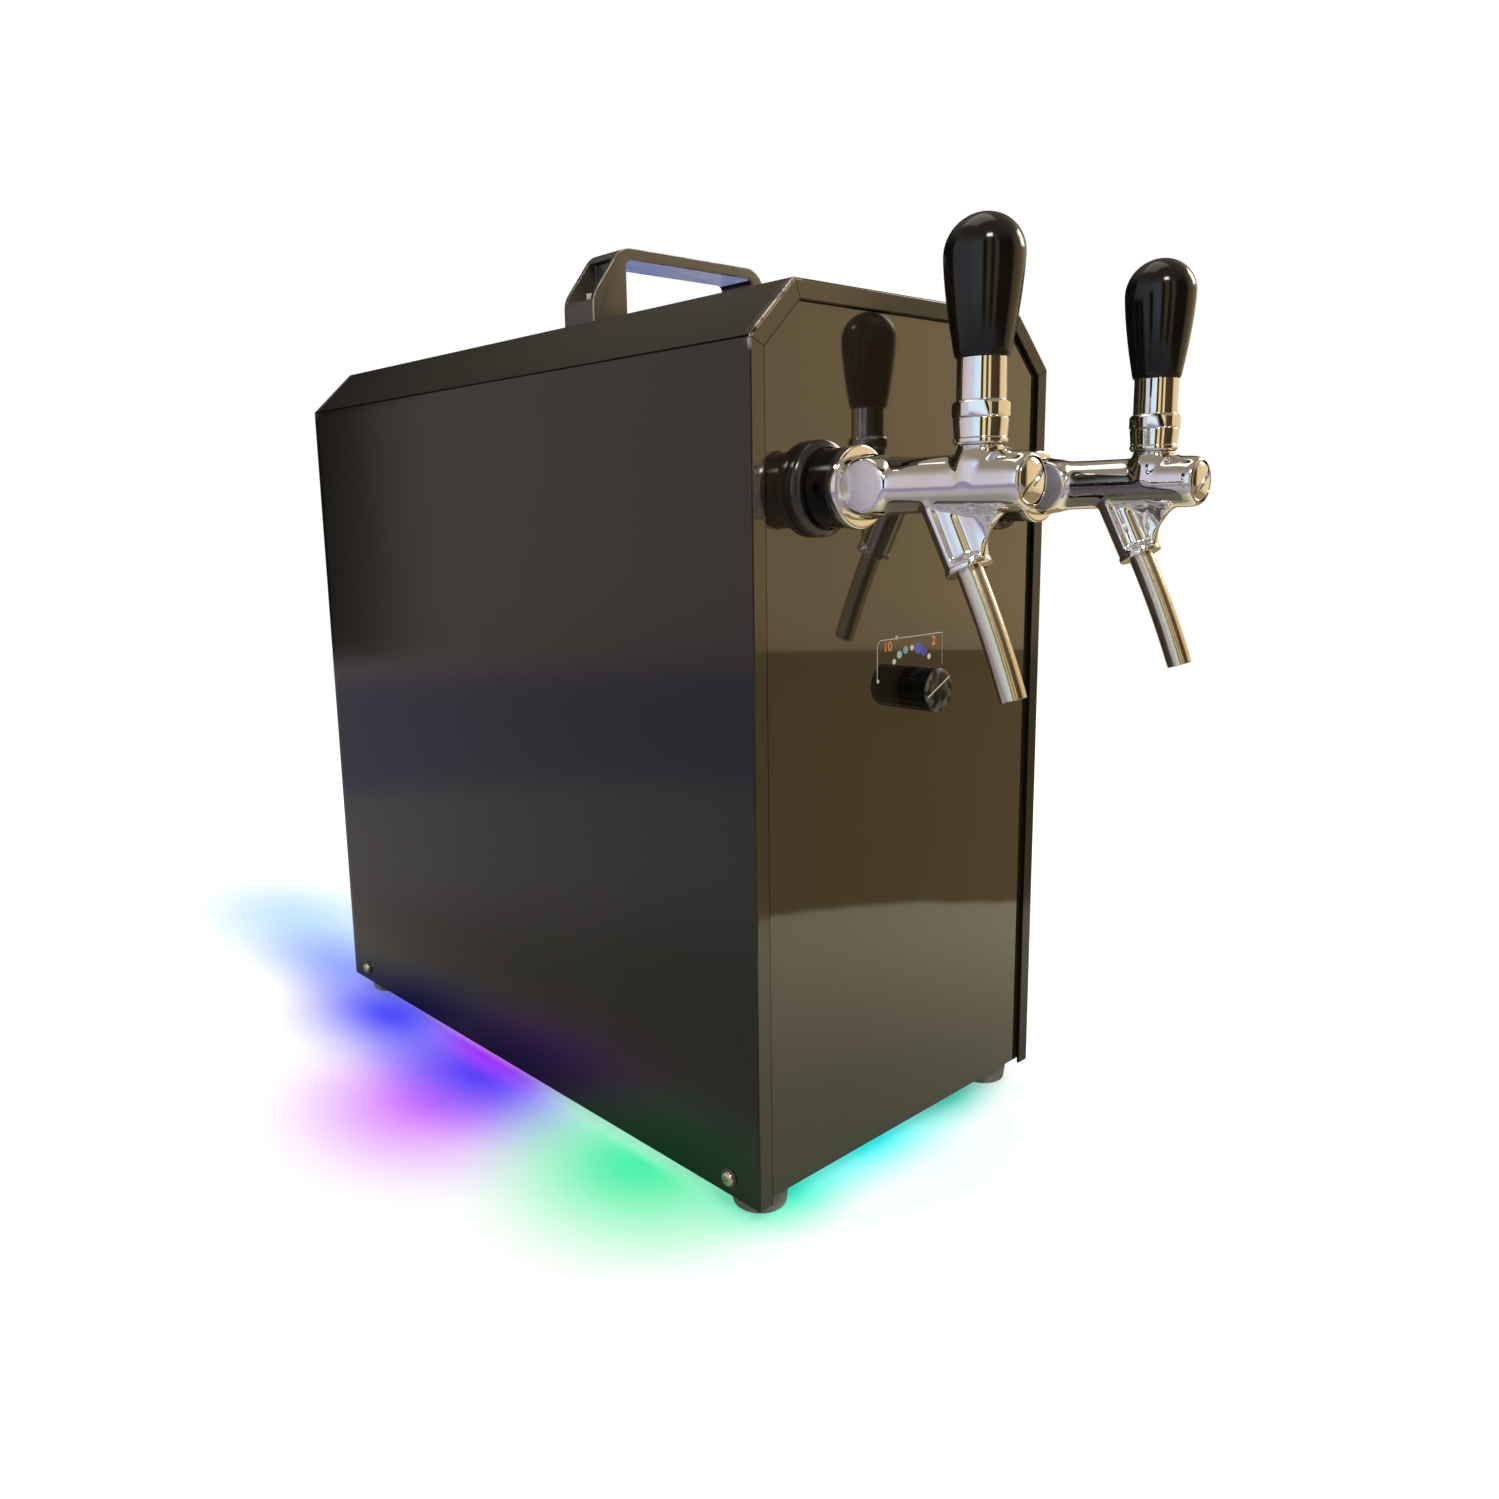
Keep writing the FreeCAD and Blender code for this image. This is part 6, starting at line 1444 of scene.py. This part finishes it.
# %% Print the dial
PRINT_DEPTH = 0.05
PRINT_Y = PANEL_Y - PRINT_DEPTH
FRAME_LEFT = -26.9
FRAME_RIGHT = 26.0
FRAME_TOP = 276.7
FRAME_LEFT_END = 257.2
FRAME_RIGHT_END = 260.2
FRAME_CORNER = 2.0
FRAME_LINE = 0.35
DOTS_MIDDLE = (0.5, 250.5)
DOTS_REACH = 20.5
DOTS_TURN = 44
NUMBER_Z = 271.0


def ink(colour):
    darker = tuple(part * 0.8 for part in colour)

    def build(nodes):
        wear = nodes.noise(900, 3.0)
        return {"Base Color": nodes.mix(wear.between(0.35, 0.7), darker, colour),
                "Roughness": wear * 0.1 + 0.4}

    return build


INKS = {
    "ink_white": (0.90, 0.87, 0.78),
    "ink_mint": (0.52, 0.80, 0.72),
    "ink_light_blue": (0.28, 0.60, 0.82),
    "ink_blue": (0.13, 0.16, 0.70),
    "ink_violet": (0.10, 0.09, 0.55),
    "ink_orange": (1.0, 0.36, 0.09),
    "ink_cream": (0.80, 0.70, 0.48),
}
for name, colour in INKS.items():
    finish(name, ink(colour))


def plate(name, outline, y=PRINT_Y):
    """A thin plate, drawn in x and z, with its front at y."""
    placing = Matrix.Translation((0, y + PRINT_DEPTH, 0)) @ Matrix.Rotation(math.pi / 2, 4, "X")
    return prism(name, outline, 0, PRINT_DEPTH, placing)


def stroke(start, end, width=FRAME_LINE):
    """The outline of a straight line."""
    start = Vector(start)
    end = Vector(end)
    run = end - start
    side = Vector((-run.y, run.x)).normalized() * width / 2
    return [tuple(corner) for corner in (start - side, end - side, end + side, start + side)]


def dot(x, z, radius):
    return plate("dot", [(x + across, z + up) for across, up in circle(radius, 32)])


def printed(name, look, *plates):
    dress(joined(name, *plates), "gloss_black", look=look)


printed("dial_frame", "ink_white",
        plate("line", stroke((FRAME_LEFT + FRAME_CORNER, FRAME_TOP), (FRAME_RIGHT, FRAME_TOP))),
        plate("line", stroke((FRAME_LEFT, FRAME_LEFT_END), (FRAME_LEFT, FRAME_TOP - FRAME_CORNER))),
        plate("line", stroke((FRAME_LEFT, FRAME_TOP - FRAME_CORNER - 0.1),
                             (FRAME_LEFT + FRAME_CORNER + 0.1, FRAME_TOP))),
        dot(FRAME_LEFT + 0.6, FRAME_LEFT_END - 0.6, 0.9),
        dot(-12.0, FRAME_TOP + 0.3, 1.1))
printed("dial_frame_right", "ink_cream",
        plate("line", stroke((FRAME_RIGHT, FRAME_TOP), (FRAME_RIGHT, FRAME_RIGHT_END), 0.2)))
DOT_SIZES = {"ink_white": 1.45, "ink_blue": 2.9, "ink_violet": 2.5}
DOTS = ("ink_white", "ink_mint", "ink_light_blue", "ink_white", "ink_blue", "ink_violet", "ink_white")
for index, shade in enumerate(DOTS):
    angle = math.radians(-DOTS_TURN + 2 * DOTS_TURN * index / (len(DOTS) - 1))
    printed(f"dial_dot_{index + 1}", shade,
            dot(DOTS_MIDDLE[0] + DOTS_REACH * math.sin(angle), DOTS_MIDDLE[1] + DOTS_REACH * math.cos(angle),
                DOT_SIZES.get(shade, 2.0)))


def number(name, digits, x):
    """Digits as a flat mesh, a little fattened like print."""
    height = 4.6
    curve = bpy.data.curves.new(name, "FONT")
    curve.body = digits
    curve.size = height * MM * 1.45
    curve.offset = 0.20 * MM
    curve.extrude = 0.02 * MM
    curve.align_x = "CENTER"
    obj = linked(name, curve)
    bpy.context.view_layer.update()
    mesh = bpy.data.meshes.new_from_object(obj.evaluated_get(bpy.context.evaluated_depsgraph_get()))
    bpy.data.objects.remove(obj)
    upright = Matrix.Rotation(math.pi / 2, 4, "X")
    mesh.transform(Matrix.Translation((x * MM, PRINT_Y * MM, NUMBER_Z * MM)) @ upright)
    return linked(name, mesh)


printed("dial_number_low", "ink_orange", number("low", "10", -18.9))
printed("dial_number_high", "ink_orange", number("high", "2", 18.4))
pointer = plate("dial_pointer", stroke((-9.2, DIAL_Z - 2.6), (8.4, DIAL_Z + 6.4), 0.8),
                KNOB_FACE - PRINT_DEPTH)
dress(pointer, "knob_black", "dial_knob", look="ink_cream")

# %% [markdown]
# ## What repeats
#
# Feet, screws and lamps each have one shape and several places. One Geometry Nodes tree
# takes the places as loose points, each with a turn, sets a copy of the piece on every point
# and makes the copies real.

# %% Tree that repeats a piece


def repeat_tree():
    tree = Geometry("repeat", {"Piece": "Object", "Finish": "Material"})
    source = tree.add("GeometryNodeObjectInfo", inputs={"Object": tree.input("Piece")}, output="Geometry")
    turn = tree.add("GeometryNodeInputNamedAttribute", {"data_type": "FLOAT_VECTOR"}, {"Name": "turn"})
    rotation = tree.add("FunctionNodeEulerToRotation", inputs={0: turn})
    return tree.end(tree.add("GeometryNodeInstanceOnPoints", inputs={
        "Points": tree.input("Geometry"), "Instance": source, "Rotation": rotation}))


REPEAT = repeat_tree()


def repeated(name, piece, places, slot, replaced, turn_y=0):
    """Copies of a piece at the places, turned about Y on the right and the other way on the left."""
    mesh = bpy.data.meshes.new(name)
    mesh.from_pydata([Vector(place) * MM for place in places], [], [])
    turns = mesh.attributes.new("turn", "FLOAT_VECTOR", "POINT")
    for entry, place in zip(turns.data, places):
        entry.vector = (0, math.radians(math.copysign(turn_y, place[0])), 0)
    obj = linked(name, mesh)
    REPEAT.apply(obj, Piece=piece, Finish=FINISHES[slot])
    discard(piece)
    dress(obj, slot, replaced=[replaced])


# %% Feet, screws and their rings
TRAY_LOW = low("base_tray", "z")
FOOT_IN = 19.5
FOOT_R = 14.6
SCREW_IN = 21
SCREW_Z = (high("cover_screws", "z") + low("cover_screws", "z")) / 2
HEAD_R = 3.95


def four_places(half, inset, z):
    """One place near each corner of the cover."""
    return [(side * half, y, z) for side in (-1, 1) for y in (COVER_FRONT + inset, COVER_REAR - inset)]


def foot():
    bore = 2.6
    return lathe("foot", rounded([
        (bore, 5), (6, 5, 0.3), (6, 0, 0.4), (13.4, 0, 1.0), (FOOT_R, TRAY_LOW - 2.4, 0.6),
        (FOOT_R, TRAY_LOW, 0.5), (bore, TRAY_LOW)]), sides=72)


def pan_screw():
    """Pan head with a cross recess, its axis along Z."""
    shank = [(0, -8), (1.6, -8), (2, -7.4), (2, 0.8), (HEAD_R, 0.8)]
    screw = lathe("screw", shank + dome(HEAD_R, 1.1, 2.05, 8) + [(0, 3.15)], sides=48)
    arms = [prism("arm", block(2.0, 0.42), 1.9, 4, Matrix.Rotation(math.radians(turn), 4, "Z"))
            for turn in (20, 110)]
    return soften(carve(screw, *arms), 0.12, 2, 35)


def washer():
    return lathe("ring", rounded([(2.05, 0), (4.9, 0, 0.2), (4.7, 0.8, 0.4), (2.05, 0.8)]), sides=48)


repeated("feet", foot(), four_places(COVER_HALF - FOOT_IN, FOOT_IN, 0), "rubber", "rubber_feet")
screw_places = four_places(COVER_HALF, SCREW_IN, SCREW_Z)
repeated("side_screws", pan_screw(), screw_places, "steel", "cover_screws", 90)
repeated("screw_rings", washer(), screw_places, "dark_ring", "screw_washers", 90)

# %% Lamps along the light strip
LAMP_Z = high("strip_lamps", "z")
LAMP_PITCH = 16.6
LAMP_IN = 9


def led():
    """A lamp's package with its round lens."""
    body = soften(prism("led", block(2.5, 2.5), -1.0, 0), 0.25)
    lens = lathe("lens", [(0, -0.4), (2.0, -0.4), (2.0, -1.0), (1.6, -1.3), (0.8, -1.4), (0, -1.4)], sides=24)
    return carve(body, lens, operation="UNION")


def run_shares(length):
    """Evenly spaced places along a run, as distances from its start."""
    count = int(length / LAMP_PITCH)
    return [length * (index + 0.5) / count for index in range(count)]


def lamp_places():
    """Lamps along the long sides, then along front and rear, clear of the feet."""
    clear = FOOT_IN + FOOT_R + 5
    across = COVER_HALF - LAMP_IN
    places = [(side * across, COVER_FRONT + clear + distance, LAMP_Z)
              for distance in run_shares(COVER_REAR - COVER_FRONT - 2 * clear) for side in (-1, 1)]
    places += [(distance - COVER_HALF + clear, y, LAMP_Z) for distance in run_shares(2 * (COVER_HALF - clear))
               for y in (COVER_FRONT + LAMP_IN, COVER_REAR - LAMP_IN)]
    return places


repeated("lamps", led(), lamp_places(), "lamp_yellow", "strip_lamps")

# %% [markdown]
# ## Carry handle and small housings
#
# The handle, the bolts, the mains inlet and the switch have the right shape in CAD already.
# A copy of each is merged into a clean mesh and its rims are softened, because a real
# moulding has no knife edges and a rim without a highlight looks drawn.

# %% Soften copies of the CAD shapes


def softened(node, name, width):
    """A copy of a CAD shape, its flat faces made whole and its rims rounded."""
    obj = linked(name, NODES[node].data.copy())
    work = bmesh.new()
    work.from_mesh(obj.data)
    bmesh.ops.remove_doubles(work, verts=work.verts, dist=2e-6)
    bmesh.ops.dissolve_limit(work, angle_limit=math.radians(1), verts=work.verts, edges=work.edges)
    work.to_mesh(obj.data)
    work.free()
    return soften(obj, width)


SOFTENED = {
    "carry_handle": ("grip", 0.35, "black_plastic", "cabinet"),
    "handle_bolts": ("grip_bolts", 0.3, "steel", "cabinet"),
    "mains_inlet": ("inlet", 0.35, "inlet_black", "cabinet"),
    "power_switch": ("switch_frame", 0.3, "inlet_black", "cabinet"),
    "switch_rocker": ("switch_key", 0.35, "rocker_black", "rocker"),
    "line_grommets": ("grommets", 0.5, "rubber", "cabinet"),
}
for node, (name, width, slot, body) in SOFTENED.items():
    dress(softened(node, name, width), slot, body, [node])

# %% [markdown]
# ## Floor
#
# The floor is white to the camera and fades into the white background, but it still darkens
# where the cabinet shades it, and the coloured patches of the lamps' light are painted on it.
# Polished metal sees it white near the cabinet and warm brown further away, as in a room.

# %% Lay the floor
FLOOR_RADIUS = 2.4
FLOOR_Z = -0.0002


def lay_floor(sides=96):
    mesh = bpy.data.meshes.new("floor")
    points = [(0, 0, FLOOR_Z)]
    for ring in (0.6, 1.2, FLOOR_RADIUS):
        points += [(x, y, FLOOR_Z) for x, y in circle(ring, sides)]
    faces = []
    for side in range(sides):
        following = (side + 1) % sides
        faces.append([0, 1 + side, 1 + following])
        for inner in (1, 1 + sides):
            outer = inner + sides
            faces.append([inner + side, outer + side, outer + following, inner + following])
    mesh.from_pydata(points, [], faces)
    floor = linked("floor", mesh)
    return floor


def coloured(nodes, base, spots, share=None):
    """The spots laid over a colour, only partly where a share is given."""
    for mask, colour in spots:
        base = nodes.mix(mask if share is None else mask * share, base, colour)
    return base


def mirrored_floor(nodes, x, distance, spots, painted_glow_colour):
    """The floor as polished metal and gloss paint see it: paler near the cabinet."""
    far = (distance + nodes.noise(18) * 0.02).between(0.517, 0.535)
    left = nodes.mix(distance.between(0.28, 0.55), (0.25, 0.235, 0.22), (0.36, 0.34, 0.35))
    # The painted patches of lamp light also show in reflections on the left.
    left = coloured(nodes, left, spots, x.between(-0.205, -0.135) * 0.92)
    left = nodes.mix(distance.between(0.86, 0.98), left, (0.25, 0.23, 0.35))
    left = nodes.mix(distance.between(1.9, 2.3), left, (0.52, 0.44, 0.42))
    right = nodes.mix(distance.between(0.18, 0.48), (0.36, 0.33, 0.23), (0.64, 0.58, 0.40))
    right = nodes.mix(far, nodes.tint(right, painted_glow_colour), (0.25, 0.18, 0.085))
    return nodes.mix(x.between(-0.11, -0.22), right, left)


def floor_surface(nodes):
    """A shaded floor that also glows, so that it reads white, with the lamps' light painted in as coloured
    patches, and fades out at its rim.
    """
    grey = (0.5, 0.5, 0.5)
    shade = (0.55, 0.55, 0.55)
    x, y, _ = nodes.axes(nodes.place())
    distance = (x * x + y * y).math("SQRT")
    camera_ray, glossy_ray = nodes.rays()
    spots = spot_masks(nodes, x, y)
    # Painted light: the lamps' coloured patches laid over white.
    painted_glow_colour = coloured(nodes, (1.0, 1.0, 1.0), spots)
    seen = nodes.mix(glossy_ray, grey, mirrored_floor(nodes, x, distance, spots, painted_glow_colour))
    seen = nodes.mix(camera_ray, seen, painted_glow_colour)
    shaded = nodes.add("ShaderNodeBsdfDiffuse", inputs={"Color": nodes.tint(seen, shade)})
    glow = nodes.add("ShaderNodeEmission", inputs={
        "Color": seen, "Strength": camera_ray * 0.62 + glossy_ray * 0.6})
    together = nodes.add("ShaderNodeAddShader", inputs={0: shaded, 1: glow})
    white = nodes.add("ShaderNodeEmission", inputs={"Color": (1, 1, 1, 1), "Strength": 1.0})
    fade = distance.between(1.3, 1.9) * camera_ray
    return nodes.add("ShaderNodeMixShader", inputs={0: fade, 1: together, 2: white})


floor = lay_floor()
floor_material = bpy.data.materials.new("floor")
nodes = Nodes(floor_material)
nodes.add("ShaderNodeOutputMaterial", inputs={"Surface": floor_surface(nodes)})
floor.data.materials.append(floor_material)
print("floor radius", FLOOR_RADIUS)

# %% [markdown]
# ## Room light
#
# The camera sees a white background. Diffuse surfaces get an even light from all around, so
# that a colour renders about as it is written. Only reflections see a room: pale and cool on
# one side, cream on the other, with dark bands between, which give chrome its contrast.

# %% Light the room
VIEWER_X = -0.655
VIEWER_Y = -0.735
DARK = (0.012, 0.011, 0.010)
WALL = (0.82, 0.58, 0.29)
CEILING = (0.30, 0.25, 0.185)
GROUND = (0.16, 0.13, 0.09)
BANDS = [
    (-180, DARK), (-111.5, DARK), (-110, (0.50, 0.43, 0.38)), (-92, (0.60, 0.52, 0.50)),
    (-80, (0.62, 0.58, 0.66)), (-52, (0.66, 0.66, 0.78)), (-46, (0.62, 0.82, 1.0)), (-20, (0.80, 0.94, 1.0)),
    (-16, DARK), (-9, DARK), (-6, (0.90, 0.62, 0.22)), (3, (0.95, 0.75, 0.40)), (6, (0.08, 0.05, 0.02)),
    (14, (0.06, 0.04, 0.02)), (17, (0.85, 0.66, 0.36)), (24, (0.90, 0.72, 0.42)), (28, (0.07, 0.045, 0.02)),
    (70, (0.045, 0.03, 0.018)), (80, WALL), (128, (0.92, 0.72, 0.42)), (142, (0.90, 0.74, 0.50)),
    (150, DARK), (180, DARK)]


def room_colour(nodes):
    """The room by direction: bands around, counted in degrees from the viewer, ceiling and ground."""
    x, y, z = nodes.axes(nodes.add("ShaderNodeTexCoord", output="Generated"))
    towards_viewer = x * VIEWER_X + y * VIEWER_Y
    towards_right = x * -VIEWER_Y + y * VIEWER_X
    turn = towards_right.math("ARCTAN2", towards_viewer) / (2 * math.pi) + 0.5
    bands = nodes.add("ShaderNodeValToRGB", {"stops": [
        ((degrees + 180) / 360, colour) for degrees, colour in BANDS]}, {"Fac": turn})
    room = nodes.mix(z.between(0.35, 0.75), bands, CEILING)
    room = nodes.mix(z.between(-0.05, -0.3), room, GROUND)
    ambient = nodes.mix(z.between(-1.0, 1.0), (0.60, 0.58, 0.56), (0.90, 0.87, 0.82))
    camera_ray, glossy_ray = nodes.rays()
    return nodes.mix(camera_ray, nodes.mix(glossy_ray, ambient, room), (1.0, 1.0, 1.0))


world = bpy.data.worlds.new("room")
bpy.context.scene.world = world
nodes = Nodes(world)
background = nodes.add("ShaderNodeBackground", inputs={"Color": room_colour(nodes), "Strength": 1.0})
nodes.add("ShaderNodeOutputWorld", inputs={"Surface": background})


def soft_box(name, place, target, width, height, power, colour):
    """A rectangular lamp aimed at a point."""
    data = bpy.data.lights.new(name, "AREA")
    data.shape = "RECTANGLE"
    data.size = width
    data.size_y = height
    data.energy = power
    data.color = colour
    light = linked(name, data)
    light.location = place
    aim = Vector(target) - Vector(place)
    light.rotation_euler = aim.to_track_quat("-Z", "Y").to_euler()


soft_box("key", (-1.1, -1.5, 1.9), (0, 0, 0.25), 0.5, 0.3, 14, (1.0, 0.97, 0.92))
soft_box("fill", (1.9, -0.75, 1.3), (0, 0, 0.25), 0.7, 0.7, 13, (1.0, 0.93, 0.84))
soft_box("top", (0.1, 0.2, 2.0), (0, 0, 0.2), 1.2, 1.2, 5, (1.0, 0.95, 0.86))
print("lights", len(bpy.data.lights))
